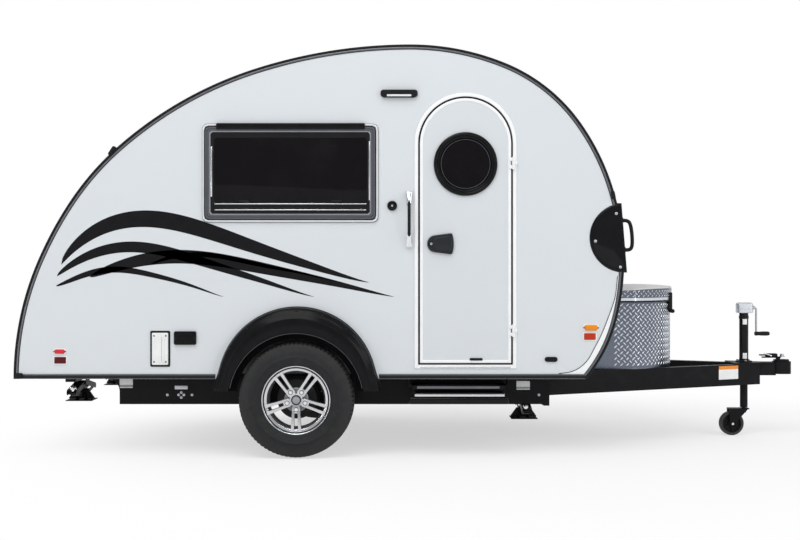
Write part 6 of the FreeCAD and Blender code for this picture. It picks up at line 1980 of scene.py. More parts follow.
@dataclass
class Lamps:
    """All lamps: porch light, side markers and reflectors, rear lamps."""

    front_marker: tuple = (0.916, 0.7305)
    rear_marker: tuple = (-2.0685, 0.597)

    def lamp(self, x: Number, z: Number, width: Number, height: Number,
             depth: Number, corner: Number) -> tuple[Shape, Shape]:
        """A lens with a domed face on a base plate, both on the right wall.

        Args:
            x: middle.
            z: middle.
            width: length along the wall.
            height: height.
            depth: how far the lens stands out.
            corner: corner radius.

        Returns:
            The lens and the base.
        """
        place = np.array([x, z])
        base = slab(box_outline(width + 0.012, height + 0.010, corner + 0.004, 5) + place,
                    -HALF_BODY - 0.0042, -HALF_BODY + 0.0005, 0.0018)
        outline = resampled(box_outline(width, height, corner, 7), 64)
        rings = [upright(outline + place, -HALF_BODY - 0.003)]
        for angle in np.linspace(0.12, 0.98, 7) * math.pi / 2:
            share = 1 - 0.42 * (1 - math.cos(angle))
            rings.append(upright(outline * share + place, -HALF_BODY - 0.003 - depth * math.sin(angle)))
        return grid(np.stack(rings), around=True, caps=True), base

    def screws(self, x: Number, z: Number, gap: Number, y: Number = -HALF_BODY - 0.004) -> Shape:
        """Two small screws at the ends of a lamp."""
        head = screw_head(0.0042).turned(Axis.X, 90)
        return head.copied(np.array([(x - gap, y, z), (x + gap, y, z)]))

    def build(self) -> None:
        """Builds each kind of lamp on both walls and the tail."""
        front, front_base = self.lamp(*self.front_marker, 0.074, 0.033, 0.014, 0.010)
        piece("front_marker_lens", front.both_sides(), AMBER_LENS, stands_for=("lamps",))
        orange, orange_base = self.lamp(0.9095, 0.6815, 0.067, 0.038, 0.006, 0.004)
        piece("front_reflector", orange.both_sides(), ORANGE_LENS)
        rear, rear_base = self.lamp(*self.rear_marker, 0.058, 0.025, 0.012, 0.008)
        piece("rear_marker_lens", rear.both_sides(), RED_LENS)
        dark, dark_base = self.lamp(-2.0655, 0.548, 0.067, 0.038, 0.006, 0.004)
        piece("rear_reflector", dark.both_sides(), DARK_RED_LENS)
        bases = joined([front_base, rear_base]) + joined([orange_base, dark_base])
        piece("marker_bases", bases.both_sides(), HATCH_WHITE)
        screws = self.screws(*self.front_marker, 0.0400) + self.screws(*self.rear_marker, 0.0315)
        piece("marker_screws", screws.both_sides(), BRAKE_DARK)
        self.build_porch()
        self.build_tail()

    def build_porch(self) -> None:
        """Porch light on the door side: a black housing that narrows downward, with a clear strip."""
        x0, x1, z0, z1 = -0.267, -0.057, 2.023, 2.067
        outline = np.array([(x1, z0 + 0.012), (x1 - 0.001, z1 - 0.008), (x1 - 0.010, z1), (x0 + 0.010, z1),
                            (x0 + 0.001, z1 - 0.008), (x0, z0 + 0.012), (x0 + 0.018, z0), (x1 - 0.018, z0)])
        outline = resampled(outline, 96)
        smooth = (outline + np.roll(outline, 1, 0) + np.roll(outline, -1, 0)) / 3
        rings = [upright(smooth, -0.929)]
        middle = smooth.mean(0)
        for share, up in ((0, 0.012), (0.02, 0.018), (0.07, 0.023), (0.16, 0.0255), (0.5, 0.026),
                          (0.96, 0.026)):
            rings.append(upright(smooth + (middle - smooth) * share, -HALF_BODY - up))
        piece("porch_light_body", grid(np.stack(rings), around=True, caps=True), SATIN_BLACK)
        lens = block((-0.232, -0.9575, 2.0265), (-0.092, -0.940, 2.0405), 0.005, 3)
        piece("porch_light_lens", lens, CLEAR_LENS)

    def build_tail(self) -> None:
        """Round rear lamps: chrome bezel, red lens with a clear middle, set square to the tail."""
        run = OUTLINE.run_at(0.860)
        flat, higher = OUTLINE.at(np.array([run, run + 0.01]), 0.0)
        pitch = math.degrees(math.atan2(higher[0] - flat[0], higher[1] - flat[1]))
        place = (flat[0], 0.690, flat[1])
        rims = [(0.062, -0.004), (0.062, 0.006), (0.059, 0.0115), (0.054, 0.0125), (0.0515, 0.0100),
                (0.0515, -0.004)]
        lens = [(0.0, 0.0138), (0.018, 0.0136), (0.034, 0.0126), (0.046, 0.0108), (0.0515, 0.0082),
                (0.0515, 0.0), (0.0, 0.0)]
        middle = [(0.0, 0.0150), (0.010, 0.0148), (0.0165, 0.0138), (0.0175, 0.0120), (0.0, 0.0120)]
        for name, profile, finish, closed in (("tail_lamp_bezels", rims, CHROME, True),
                                              ("tail_lamp_lenses", lens, RED_LENS, False),
                                              ("tail_lamp_centres", middle, CLEAR_LENS, False)):
            turned = lathe([(r, -h) for r, h in profile], Axis.X,
                           place, 56, closed).turned(Axis.Y, pitch, place)
            piece(name, turned.both_sides(), finish)
        bar = block((-2.3265, -0.30, 0.545), (-2.3165, 0.30, 0.655), 0.004)
        piece("plate_holder", bar, SATIN_BLACK)
        blank = block((-2.3290, -0.26, 0.552), (-2.3262, 0.26, 0.648), 0.001)
        piece("blank_plate", blank, LABEL_WHITE)


@dataclass
class Handles:
    """Entry grab handle beside the door and two loop handles on the front window."""

    x: float = -0.106
    low: float = 1.183
    high: float = 1.498
    loop_low: float = 1.168
    loop_high: float = 1.334
    loop_y: float = -0.905

    def build(self) -> None:
        """Builds the bar with its feet, and the loops."""
        x, low, high = self.x, self.low, self.high
        z = np.linspace(low + 0.050, high - 0.050, 40)
        share = (z - z[0]) / (z[-1] - z[0])
        y = -0.9500 - 0.031 * np.sin(math.pi * share) ** 0.7
        bar = sweep(box_outline(0.022, 0.0175, 0.0075, 5), np.column_stack([np.full(40, x), y, z]),
                    up=(1, 0, 0))
        piece("entry_handle_bar", bar, SATIN_BLACK, stands_for=("grab_handles",))
        ends = []
        for z0, sign in ((low, 1), (high, -1)):
            ends.append(self.end(x, z0, sign))
        piece("entry_handle_ends", joined(ends), CHROME)
        self.build_loops()

    def end(self, x: Number, tip: Number, way: int) -> Shape:
        """A foot of the grab handle: rounded rectangles that narrow and rise from its tip towards the bar.

        Args:
            x: middle of the handle.
            tip: height of the foot's tip.
            way: one where the foot runs up from its tip, minus one where it runs down.

        Returns:
            The closed foot.
        """
        rings = []
        for share in (0.0, 0.02, 0.06, 0.15, 0.3, 0.5, 0.7, 0.88, 0.97, 1.0):
            width = 0.0400 - 0.0150 * share - 0.010 * max(0.0, 0.06 - share) / 0.06
            width -= 0.006 * max(0.0, share - 0.88) / 0.12
            depth = 0.0140 + 0.0240 * math.sin(share * math.pi / 2) + 0.006 * min(1.0, share / 0.06)
            ring = box_outline(width, depth,
                               min(width, depth) * 0.42, 6) + np.array([x, -0.9290 - depth / 2])
            rings.append(np.column_stack([ring, np.full(len(ring), tip + way * (0.090 * share - 0.002))]))
        return grid(np.stack(rings[::way]), around=True, caps=True)

    def build_loops(self) -> None:
        """A bar that leaves the housing, runs parallel to it and returns, with a foot flange at each end."""
        lean = NoseWindow()
        z = np.array([self.loop_low, self.loop_low, 1.184, 1.251, 1.318, self.loop_high, self.loop_high])
        out = np.array([-0.004, 0.028, 0.045, 0.0500, 0.045, 0.028, -0.004])
        x = lean.front_x(z) + out
        path = np.column_stack([x, np.full(len(z), self.loop_y), z])
        loop = tube(path, 0.0105, up=(0, 1, 0), bend=3, count=18)
        feet = [lathe([(0.0, 0.0), (0.018, 0.0), (0.018, 0.004), (0.012, 0.008), (0.0, 0.008)], Axis.X,
                      (lean.front_x(h) - 0.001, self.loop_y, h), 24)
                for h in (self.loop_low, self.loop_high)]
        piece("nose_loop_handles", (loop + joined(feet)).both_sides(), SATIN_BLACK)


@dataclass
class WallFittings:
    """Small fittings on the walls: service hatch, power inlet, step light and lock, and those of the left
    wall.
    """

    hatch: tuple = (-1.504, 0.6125)
    inlet: tuple = (-1.3635, 0.673)
    step_light: tuple = (0.692, 0.553)
    lock: tuple = (-0.201, 1.416)
    left_inlet: tuple = (-1.50, 0.640)
    left_filler: tuple = (-1.32, 0.640)
    vent_x: float = 0.58

    def build(self) -> None:
        """Builds each fitting of the right wall, then the left wall's own."""
        near = -HALF_BODY
        hatch_at = np.array(self.hatch)
        surround = slab(box_outline(0.112, 0.202, 0.008, 5) + hatch_at, near - 0.004, near + 0.0005, 0.0015)
        hatch = slab(box_outline(0.091, 0.180, 0.005, 5) + hatch_at, near - 0.0105, near - 0.003, 0.0030)
        door = slab(box_outline(0.050, 0.150, 0.004, 5) + hatch_at, near - 0.0130, near - 0.010, 0.0016)
        line = block((-1.4945, near - 0.0142, 0.545), (-1.4925, near - 0.0125, 0.680), 0.0006)
        piece("service_hatch_surround", surround, TRIM_RUBBER)
        piece("service_hatch", hatch + door, HATCH_WHITE)
        piece("service_hatch_line", line, LIGHT_GREY)
        corners = np.array([(hatch_at[0] + i * 0.0330, near - 0.0105, hatch_at[1] + j * 0.0730)
                            for i in (-1, 1) for j in (-1, 1)])
        screws = [screw_head(0.0046).turned(Axis.X, 90).copied(corners)]
        box_at = np.array(self.inlet)
        cover = slab(box_outline(0.125, 0.076, 0.010, 5) + box_at, near - 0.016, near + 0.0005, 0.005)
        cap = slab(box_outline(0.094, 0.050, 0.008, 5) + box_at, near - 0.0215, near - 0.015, 0.003)
        rib = joined([block((-1.402, near - 0.0232, z - 0.0012),
                            (-1.325, near - 0.021, z + 0.0012), 0.0006) for z in (0.662, 0.673, 0.684)])
        piece("inlet_box", cover + cap + rib, FENDER_BLACK)
        screws.append(screw_head(0.0042).turned(Axis.X,
                                                90).copied(np.array([(-1.4185, near - 0.0155, 0.673),
                                                                     (-1.3085, near - 0.0155, 0.673)])))
        oval = slab(resampled(box_outline(0.072, 0.028, 0.0139, 10), 60) + np.array(self.step_light),
                    near - 0.009, near + 0.0005, 0.0035)
        lens = slab(resampled(box_outline(0.050, 0.010, 0.0049, 8), 48) + np.array(self.step_light),
                    near - 0.0104, near - 0.008, 0.001)
        piece("step_light_body", oval, SATIN_BLACK)
        piece("step_light_lens", lens, GLOSS_BLACK)
        lock = lathe([(0.0, 0.0), (0.028, 0.0), (0.028, -0.008), (0.0255, -0.0122),
                      (0.019, -0.0142), (0.0, -0.0150)], Axis.Y, (self.lock[0], near, self.lock[1]), 48)
        dial = lathe([(0.0, -0.0190), (0.0045, -0.0186), (0.0060, -0.0170),
                      (0.0060, -0.013), (0.0, -0.013)], Axis.Y, (self.lock[0], near, self.lock[1]), 32)
        piece("wall_lock", lock, GLOSS_BLACK)
        piece("wall_lock_barrel", dial, CHROME)
        piece("fitting_screws", joined(screws), BRAKE_DARK)
        self.build_left()

    def build_left(self) -> None:
        """Left wall: two louvred vents, a power inlet and a water filler."""
        near = HALF_BODY
        parts, slats = [], []
        for z in (1.010, 0.690):
            place = np.array([self.vent_x, z])
            parts.append(slab(box_outline(0.390, 0.205, 0.014, 6) + place, near + 0.012,
                              near - 0.0005, 0.005))
            rows = np.linspace(z - 0.075, z + 0.075, 9)
            slat = block((0.410, near + 0.011, -0.0045), (0.750, near + 0.020, 0.0045), 0.002)
            tilted = slat.turned(Axis.X, 24, (0, near + 0.015, 0))
            slats.append(tilted.copied(np.column_stack([rows * 0, rows * 0, rows])))
        piece("left_vents", joined(parts), VENT_WHITE)
        piece("left_vent_slats", joined(slats), HATCH_WHITE)
        inlet = slab(resampled(box_outline(0.13, 0.13, 0.020, 7), 80) + np.array(self.left_inlet),
                     near + 0.016, near - 0.0005, 0.005)
        lid = slab(resampled(box_outline(0.10, 0.10, 0.016, 7), 80) + np.array(self.left_inlet),
                   near + 0.022, near + 0.015, 0.003)
        piece("left_power_inlet", inlet + lid, HATCH_WHITE)
        filler = lathe([(0.0, 0.0), (0.055, 0.0), (0.055, 0.006), (0.049, 0.012), (0.030, 0.012),
                        (0.030, 0.020), (0.0, 0.020)], Axis.Y,
                        (self.left_filler[0], near, self.left_filler[1]), 48)
        piece("left_water_filler", filler, SATIN_BLACK)


# ---------------------------------------------------------------------------------------
# Running gear
# ---------------------------------------------------------------------------------------
@dataclass
class Fender:
    """Moulded arch over each wheel: crowned face, crease, rolled lips and flared feet."""

    middle_x: float = -0.7345
    inner: float = 0.376
    liner: float = 0.340
    outer: float = 0.4450
    inner_z: float = 0.326
    outer_z: float = 0.4010
    foot_z: float = 0.380
    out: float = 0.999
    skin: float = 0.0045
    samples: int = 120

    def build(self) -> None:
        """Builds both arches, the near-black matt liners inside them that paint the shade of the arch,
        a grey bead along each inner edge that paints its highlight, and the seal line where they meet the
        wall.
        """
        piece("fender_arches", self.arch().both_sides(), FENDER_BLACK,
              stands_for=("fenders",))
        piece("fender_liners", self.lining().both_sides(), LINER_PAINTED_SHADE)
        piece("fender_painted_highlight_bead", self.bead().both_sides(), FRAME_GREY)
        piece("fender_wall_seal", self.seal().both_sides(), TRIM_RUBBER)
        piece("fender_bolts", self.bolts().both_sides(), SATIN_BLACK)

    def edges(self, share: Array) -> tuple[Array, Array]:
        """Inner and outer arcs at shares of the way from the rear foot to the front foot, as X and Z.

        Args:
            share: shares from 0 to 1.

        Returns:
            The inner and the outer arc.
        """
        first = math.asin((self.foot_z - self.inner_z) / self.inner)
        angle = math.pi - first - share * (math.pi - 2 * first)
        centre = np.array([WHEEL_X + 0.002, self.inner_z])
        inner = centre + self.inner * np.stack([np.cos(angle), np.sin(angle)], -1)
        low = math.asin((self.foot_z - self.outer_z) / self.outer)
        wide = math.pi - low - share * (math.pi - 2 * low)
        flare = 1 + 0.052 * np.exp(-((share / 0.045) ** 2)) + 0.052 * np.exp(-(((1 - share) / 0.045) ** 2))
        outer = np.array([self.middle_x,
                          self.outer_z]) + (self.outer
                                            * flare)[:, None] * np.stack([np.cos(wide), np.sin(wide)], -1)
        return inner, outer

    def arch(self) -> Shape:
        """The arch: a section from the rolled inner lip over the crowned face and the crease to the wall,
        then back inside.

        Returns:
            The arch.
        """
        share = np.linspace(0, 1, self.samples)
        inner, outer = self.edges(share)
        section = [(0.030, -0.925), (0.002, -0.955), (0.0, -0.985), (0.012, -0.9945), (0.05, -0.9985),
                   (0.30, -self.out), (0.56, -0.9975),
                   (0.600, -0.9955), (0.625, -0.9915), (0.80, -0.9845), (0.93, -0.9740), (0.985, -0.9620),
                   (1.0, -0.9480), (1.0, -0.9310)]
        back = [(w - 0.035 if w > 0.9 else w + 0.02, y + self.skin * 1.2) for w,
                y in section[::-1] if y < -0.95]
        rings = []
        for across, y in section + back:
            flat = inner + (outer - inner) * across
            rings.append(upright(flat, y))
        return grid(np.stack(rings, 1), around=True, caps=True)

    def lining(self) -> Shape:
        """A matt near-black band from the face's inner edge back to the wall, painted shade inside the arch:
        its section is swept along the inner arc.

        Returns:
            The band.
        """
        angle = np.radians(np.linspace(172, 8, 90))
        way = np.stack([np.cos(angle), np.sin(angle)], -1)
        centre = np.array([WHEEL_X + 0.002, self.inner_z])
        rings = [upright(centre + radius * way, y) for radius, y in (
            (self.liner, -0.9310), (self.liner, -0.9345), (self.inner + 0.003, -0.9345),
            (self.inner + 0.003, -0.9760), (self.inner + 0.007, -0.9760), (self.inner + 0.007, -0.9310))]
        return grid(np.stack(rings, 1), around=True, caps=True)

    def seal(self) -> Shape:
        """A thin bead along the outer edge on the wall.

        Returns:
            The bead.
        """
        _, outer = self.edges(np.linspace(0.01, 0.99, 100))
        grown = outer + outward(outer, closed=False) * -0.0015
        return tube(upright(grown, -0.9315), 0.0032, up=(0, 1, 0), count=8)

    def bead(self) -> Shape:
        """A thin grey bead along the inner edge of the face, lighter than the arch: a painted highlight on
        the rolled lip.
        """
        inner, _ = self.edges(np.linspace(0.015, 0.985, 100))
        return tube(upright(inner, -0.9885), 0.0026, up=(0, 1, 0), count=8)

    def bolts(self) -> Shape:
        """Button heads along the outer edge.

        Returns:
            The heads.
        """
        inner, outer = self.edges(np.linspace(0.07, 0.93, 9))
        spots = inner + (outer - inner) * 0.86
        head = screw_head(0.0065).turned(Axis.X, 90)
        return head.copied(upright(spots, -0.9805))


@dataclass
class RoadWheel:
    """Alloy wheel with five pairs of slim spokes, lug nuts, cap and a treaded tyre."""

    side: Side = Side.RIGHT
    bead: float = 0.178
    pairs: int = 5

    @property
    def body(self) -> str:
        """Body that the wheel rides on."""
        return "wheel_right" if self.side is Side.RIGHT else "wheel_left"

    def placed(self, shape: Shape) -> Shape:
        """The shape on this wheel's side."""
        return shape if self.side is Side.RIGHT else shape.mirrored(Axis.Y)

    def add(self, name: str, shape: Shape, finish: Finish, slot: str = "alloy",
            stands_for: Sequence[str] = (), sharp: Number = 38) -> None:
        """Adds a piece of this wheel."""
        piece(f"{name}_{self.side.name.lower()}", self.placed(shape), finish, self.body, sharp,
              stands_for)

    def build(self) -> None:
        """Builds the rim, the spokes, the hub and the tyre."""
        centre = (WHEEL_X, 0.0, WHEEL_Z)
        flange = [(0.197, -0.9615), (0.1985, -0.9640), (0.1965, -0.9675), (0.190, -0.9675),
                  (0.1862, -0.9650), (0.1845, -0.9600),
                  (0.1785, -0.9565), (0.1690, -0.9550), (0.1655, -0.9530), (0.1640, -0.9480),
                  (0.184, -0.9500), (0.194, -0.9585)]
        self.add("rim_flange", lathe(flange, Axis.Y, centre, 120, closed=True), ALLOY_FACE,
                 stands_for=(self.body,))
        barrel = [(0.1735, -0.9480), (0.1660, -0.9350), (0.1600, -0.9180), (0.1580, -0.8850),
                  (0.1640, -0.8450), (0.176, -0.812), (0.194, -0.808),
                  (0.197, -0.815), (0.197, -0.8100), (0.194, -0.8030), (0.174, -0.8060), (0.1600, -0.8400),
                  (0.1535, -0.8850), (0.1560, -0.9200), (0.1620, -0.9380), (0.1700, -0.9510)]
        self.add("rim_barrel", lathe(barrel, Axis.Y, centre, 120, closed=True), BARREL)
        self.build_spokes(centre)
        self.build_hub(centre)
        self.build_tyre(centre)

    def spoke(self, offset: Number, fan: Number, width: tuple, dish: tuple, depth: tuple, chamfer: Number,
              reach: tuple = (0.040, 0.137)) -> Shape:
        """One spoke that runs straight down from the hub to the rim.

        Its middle line starts beside the radius by the offset and spreads with the fan; the
        section is a five-sided bar whose width, face and depth change evenly along it.

        Args:
            offset: distance beside the radius at the hub.
            fan: extra distance at the rim.
            width: half width at the hub and at the rim.
            dish: Y of the face at the hub and at the rim.
            depth: thickness at the hub and at the rim.
            chamfer: width of its chamfers.
            reach: radius at its start, and its length.

        Returns:
            The spoke about the wheel centre.
        """
        share = np.linspace(0, 1, 16)
        run = reach[0] + share * reach[1]
        aside = offset + fan * share ** 1.3
        half = width[0] + (width[1] - width[0]) * share - 0.0022 * np.sin(math.pi * share)
        front = dish[0] + (dish[1] - dish[0]) * share - 0.003 * np.sin(math.pi * share)
        thick = depth[0] + (depth[1] - depth[0]) * share
        rows = []
        for across, behind in ((-1.0, 1.0), (-1.0, 0.28), (-1.0 + chamfer, 0.0), (1.0 - chamfer, 0.0),
                               (1.0, 0.28), (1.0, 1.0)):
            rows.append(np.column_stack([aside + across * half, front + behind * thick, -run]))
        return grid(np.stack(rows, 1), around=True, caps=True).moved(WHEEL_X, 0, WHEEL_Z)

    def build_spokes(self, centre: tuple) -> None:
        """Painted spoke bodies with a machined cap on each, in pairs round the axle.

        Args:
            centre: middle of the wheel.
        """
        bodies, caps = [], []
        for sign in (-1, 1):
            bodies.append(self.spoke(sign * 0.0150, sign * 0.0060, (0.0100, 0.0112), (-0.9490, -0.9590),
                                     (0.026, 0.020), 0.16))
            caps.append(self.spoke(sign * 0.0150, sign * 0.0060, (0.0092, 0.0104), (-0.9512, -0.9625),
                                   (0.005, 0.005), 0.08))
        web = self.spoke(0.0, 0.0, (0.0225, 0.0235), (-0.9490, -0.9528), (0.020, 0.018), 0.08,
                         (0.018, 0.056))
        self.add("spoke_bodies", joined(bodies).ring_of(self.pairs, Axis.Y, centre), ALLOY_PAINT)
        self.add("spoke_faces", joined(caps + [web]).ring_of(self.pairs, Axis.Y, centre), ALLOY_FACE)
        drum = [(0.0, -0.8850), (0.108, -0.8850), (0.112, -0.8820), (0.112, -0.8780), (0.0, -0.8780)]
        self.add("brake_drum", lathe(drum, Axis.Y, centre, 72), BRAKE_DARK, "zinc")

    def build_hub(self, centre: tuple) -> None:
        """Hub plate, cap, nuts in their wells, and the valve.

        Args:
            centre: middle of the wheel.
        """
        plate = [(0.0, -0.9380), (0.058, -0.9380), (0.0650, -0.9410), (0.0685, -0.9390), (0.0670, -0.9240),
                 (0.040, -0.918), (0.0, -0.918)]
        self.add("hub_plate", lathe(plate, Axis.Y, centre, 80), ALLOY_PAINT)
        boss = [(0.0, -0.9480), (0.0320, -0.9480), (0.0345, -0.9500), (0.0365, -0.9480), (0.0375, -0.9380),
                (0.0, -0.9380)]
        self.add("hub_boss", lathe(boss, Axis.Y, centre, 80), ALLOY_FACE)
        cap = [(0.0, -0.9560), (0.014, -0.9556), (0.0235, -0.9540), (0.0270, -0.9515), (0.0280, -0.9480),
               (0.0, -0.9480)]
        self.add("hub_cap", lathe(cap, Axis.Y, centre, 64), LIGHT_GREY)
        groove = [(0.0218, -0.9530), (0.0218, -0.9562), (0.0268, -0.9558), (0.0268, -0.9490)]
        self.add("hub_cap_groove", lathe(groove, Axis.Y, centre, 64, closed=True), SATIN_BLACK,
                 "black_plastic")
        seat = (WHEEL_X, 0, WHEEL_Z - 0.0530)
        nut = bolt_head(0.0078, 0.009).turned(Axis.X, 90).moved(seat[0], -0.9552, seat[2])
        self.add("lug_nuts", nut.ring_of(self.pairs, Axis.Y, centre, 0), CHROME, "bright_metal")
        well = lathe([(0.0, -0.9500), (0.0136, -0.9500), (0.0136, -0.9556),
                      (0.0120, -0.9564), (0.0, -0.9564)], Axis.Y, seat, 28)
        self.add("lug_wells", well.ring_of(self.pairs, Axis.Y, centre, 0), SATIN_BLACK, "black_plastic")
        valve = tube([(WHEEL_X + 0.150, -0.935, WHEEL_Z + 0.052),
                      (WHEEL_X + 0.142, -0.958, WHEEL_Z + 0.049)], 0.0042, up=(0, 0, 1), count=12)
        self.add("valve_stem", valve, TRIM_RUBBER, "tyre_black")

    def build_tyre(self, centre: tuple) -> None:
        """Tyre: a closed section turned round the axle, with grooves and blocks cut from the tread by
        shares of its width and angle.

        Args:
            centre: middle of the wheel.
        """
        half = np.array([(0.1785, 0.0720), (0.1960, 0.0790), (0.1995, 0.0840), (0.2050, 0.0885),
                         (0.2080, 0.0880), (0.2140, 0.0925), (0.2260, 0.0975),
                         (0.2370, 0.1002), (0.2385, 0.1022), (0.2445, 0.1025), (0.2460, 0.1010),
                         (0.2620, 0.1015), (0.2800, 0.0985), (0.2950, 0.0940),
                         (0.3020, 0.0930), (0.3050, 0.0912), (0.3120, 0.0885), (0.3165, 0.0850)])
        across = np.array([0.082, 0.0705, 0.0700, 0.0640, 0.0635, 0.0370, 0.0365, 0.0300, 0.0295, 0.0110,
                           0.0105, 0.0040, 0.0035])
        crown = 0.3260 - 0.0085 * (across / 0.085) ** 2
        groove = np.array([0, 0, 1, 1, 0, 0, 1, 1, 0, 0, 1, 1, 0.0])
        tread = np.column_stack([crown - groove * 0.0075, across])
        outer = np.vstack([half, tread])
        profile = np.vstack([outer * np.array([1, -1]), outer[::-1]])
        columns = 78 * 5
        angle = np.linspace(0, TAU, columns, endpoint=False)
        radius = np.repeat(profile[:, :1], columns, 1)
        width = np.repeat(profile[:, 1:], columns, 1)
        phase = (np.arange(columns) % 5)[None]
        block_rows = (np.abs(profile[:, 1]) < 0.0875) & (profile[:, 0] > 0.3100)
        cut_rows = (block_rows & (np.abs(profile[:, 1]) > 0.0360))[:, None]
        shift = (profile[:, 1] > 0)[:, None] * 2
        cut = cut_rows & (((phase + shift) % 5) >= 4)
        radius = radius - cut * 0.0070
        lugs = ((profile[:, 0] > 0.2985) & (profile[:, 0] < 0.3100))[:, None]
        radius = radius - (lugs & (((phase + shift) % 5) >= 4)) * 0.0030
        skew = np.abs(width) * 0.10 * block_rows[:, None]
        points = np.stack([radius * np.cos(angle + skew), width - WHEEL_Y,
                           radius * np.sin(angle + skew)], -1)
        tyre = grid(points + np.array([centre[0], 0, centre[2]]), around=True)
        name = "tyre_right" if self.side is Side.RIGHT else "tyre_left"
        self.add("tyre", tyre, TYRE, "tyre_black", (name,), 50)


# ---------------------------------------------------------------------------------------
# Chassis
# ---------------------------------------------------------------------------------------
@dataclass
class Chassis:
    """Details on the frame: bolts, blank plates, hitch parts, step strips and stabilizer drives."""

    rail_y: float = -0.7355
    tongue_angle: float = 25.0
    tongue_tip: tuple = (2.121, -0.0425)
    ball_x: float = 2.273

    def build(self) -> None:
        """Builds the fittings along the rails and the tongue."""
        spots = [(x, self.rail_y, 0.333) for x in (-1.500, -1.435, -1.405, -1.358, 0.645)]
        spots += [(-1.420, self.rail_y, 0.318), (-1.420, self.rail_y, 0.346)]
        bolts = bolt_head(0.0058, 0.006).turned(Axis.X, 90).copied(np.array(spots))
        piece("rail_bolts", bolts.both_sides(), ZINC)
        plate = slab(box_outline(0.075, 0.021, 0.002, 4) + np.array([-1.420, 0.3755]),
                     self.rail_y - 0.0022, self.rail_y + 0.001, 0.0006)
        rivets = screw_head(0.002).turned(Axis.X,
                                          90).copied(np.array([(x, self.rail_y - 0.0022, 0.3755)
                                                               for x in (-1.454, -1.386)]))
        piece("blank_rating_plate", plate + rivets, STEEL)
        spots = ((-1.738, 0.4000, 0.076, 0.054), (0.554, 0.3880, 0.077, 0.050))
        piece("rail_labels", joined([self.label(*spot) for spot in spots]), LABEL_WHITE)
        bands = joined([self.label(x, z - 0.30 * height, width, 0.26 * height, 0.0004)
                        for x, z, width, height in spots])
        piece("rail_label_bands", bands, LIGHT_GREY)
        self.build_tongue()
        self.build_step()
        self.build_drives()
        self.build_under()

    def label(self, x: Number, z: Number, width: Number, height: Number, up: Number = 0.0) -> Shape:
        """A blank label on the rail's outer face."""
        return slab(box_outline(width, height, 0.003, 4) + np.array([x, z]), self.rail_y - 0.0012 - up,
                    self.rail_y + 0.0005, 0.0003)

    def on_beam(self, along: Number, out: Number) -> tuple[float, float]:
        """X and Y on the outer face of the right tongue beam at a distance back from its tip, moved
        outward.

        Args:
            along: distance back from the tip.
            out: distance out from the face.

        Returns:
            X and Y.
        """
        angle = math.radians(self.tongue_angle)
        tip = np.array(self.tongue_tip)
        back = np.array([-math.cos(angle), -math.sin(angle)])
        side = np.array([math.sin(angle), -math.cos(angle)])
        place = tip + back * along + side * out
        return float(place[0]), float(place[1])

    def beam_plate(self, start: Number, end: Number, low: Number, high: Number, out: Number) -> Shape:
        """A thin plate on the outer face of the right beam between two distances from its tip.

        Args:
            start: distance of its front end from the tip.
            end: distance of its rear end from the tip.
            low: lower edge.
            high: upper edge.
            out: distance out from the face.

        Returns:
            The plate.
        """
        rows = []
        for along, depth in ((start, -0.0005), (start, out), (end, out), (end, -0.0005)):
            x, y = self.on_beam(along, depth)
            rows.append([(x, y, low), (x, y, high)])
        return grid(np.array(rows)) + grid(np.array([rows[3], rows[0]]))

    def build_tongue(self) -> None:
        """Blank label with its coloured band, the latch and its nut."""
        label = self.beam_plate(0.175, 0.326, 0.368, 0.4515, 0.0012)
        piece("tongue_label", label.both_sides(), LABEL_WHITE)
        band = self.beam_plate(0.175, 0.326, 0.430, 0.4515, 0.0017)
        piece("tongue_label_band", band.both_sides(), LABEL_ORANGE)
        latch = block((2.168, -0.019, 0.493), (2.242, 0.019, 0.519), 0.008, 3)
        latch += block((2.128, -0.012, 0.505), (2.176, 0.012, 0.513), 0.003)
        piece("coupler_latch", latch, CHASSIS)
        pin = tube([(2.196, -0.030, 0.506), (2.196, 0.030, 0.506)],
                   0.0042) + tube([(2.196, -0.028, 0.506), (2.150, -0.028, 0.522)], 0.0032, up=(0, 1, 0))
        piece("coupler_pin", pin, CHROME)
        knob = lathe([(0.0, 0.0), (0.013, 0.0), (0.013, 0.014), (0.010, 0.018), (0.0, 0.018)], Axis.Z,
                     (self.ball_x, 0, 0.498), 6)
        nut = knob + lathe([(0.0, -0.002), (0.020, -0.002), (0.020, 0.001), (0.0, 0.001)], Axis.Z,
                           (self.ball_x, 0, 0.499), 28)
        piece("coupler_nut", nut, ZINC)

    def build_step(self) -> None:
        """Grip strips on both treads of the folding step, riding on each tread."""
        # The upper nosing takes the darker silver strip and the lower one the bright strip: one metal, with
        # painted shade on the upper, which sits back in shadow.
        treads = (("upper", 0.4032, -0.9195, -0.0610, 0.4030, SILVER_STRIP),
                  ("lower", 0.3608, -0.9360, -0.0740, 0.4300, BRIGHT_STRIP))
        for name, top, front, start, end, finish in treads:
            body = f"step_tread_{name}"
            rows = np.linspace(front + 0.022, front + 0.150, 7)
            strip = block((-0.054, -0.0035, top - 0.0006), (0.402, 0.0035, top + 0.0014), 0.0010)
            grips = strip.copied(np.column_stack([rows * 0, rows, rows * 0]))
            piece(f"step_grips_{name}", grips, TRIM_RUBBER, body)
            nose = block((start, front - 0.0025, top - 0.016), (end, front + 0.0015, top - 0.002), 0.0012)
            piece(f"step_nosing_{name}", nose, finish, body)
        lip = block((-0.106, -0.9355, 0.3000), (0.455, -0.9100, 0.3405), 0.011, 3)
        piece("step_lip", lip, GLOSS_BLACK, "step_tread_lower")

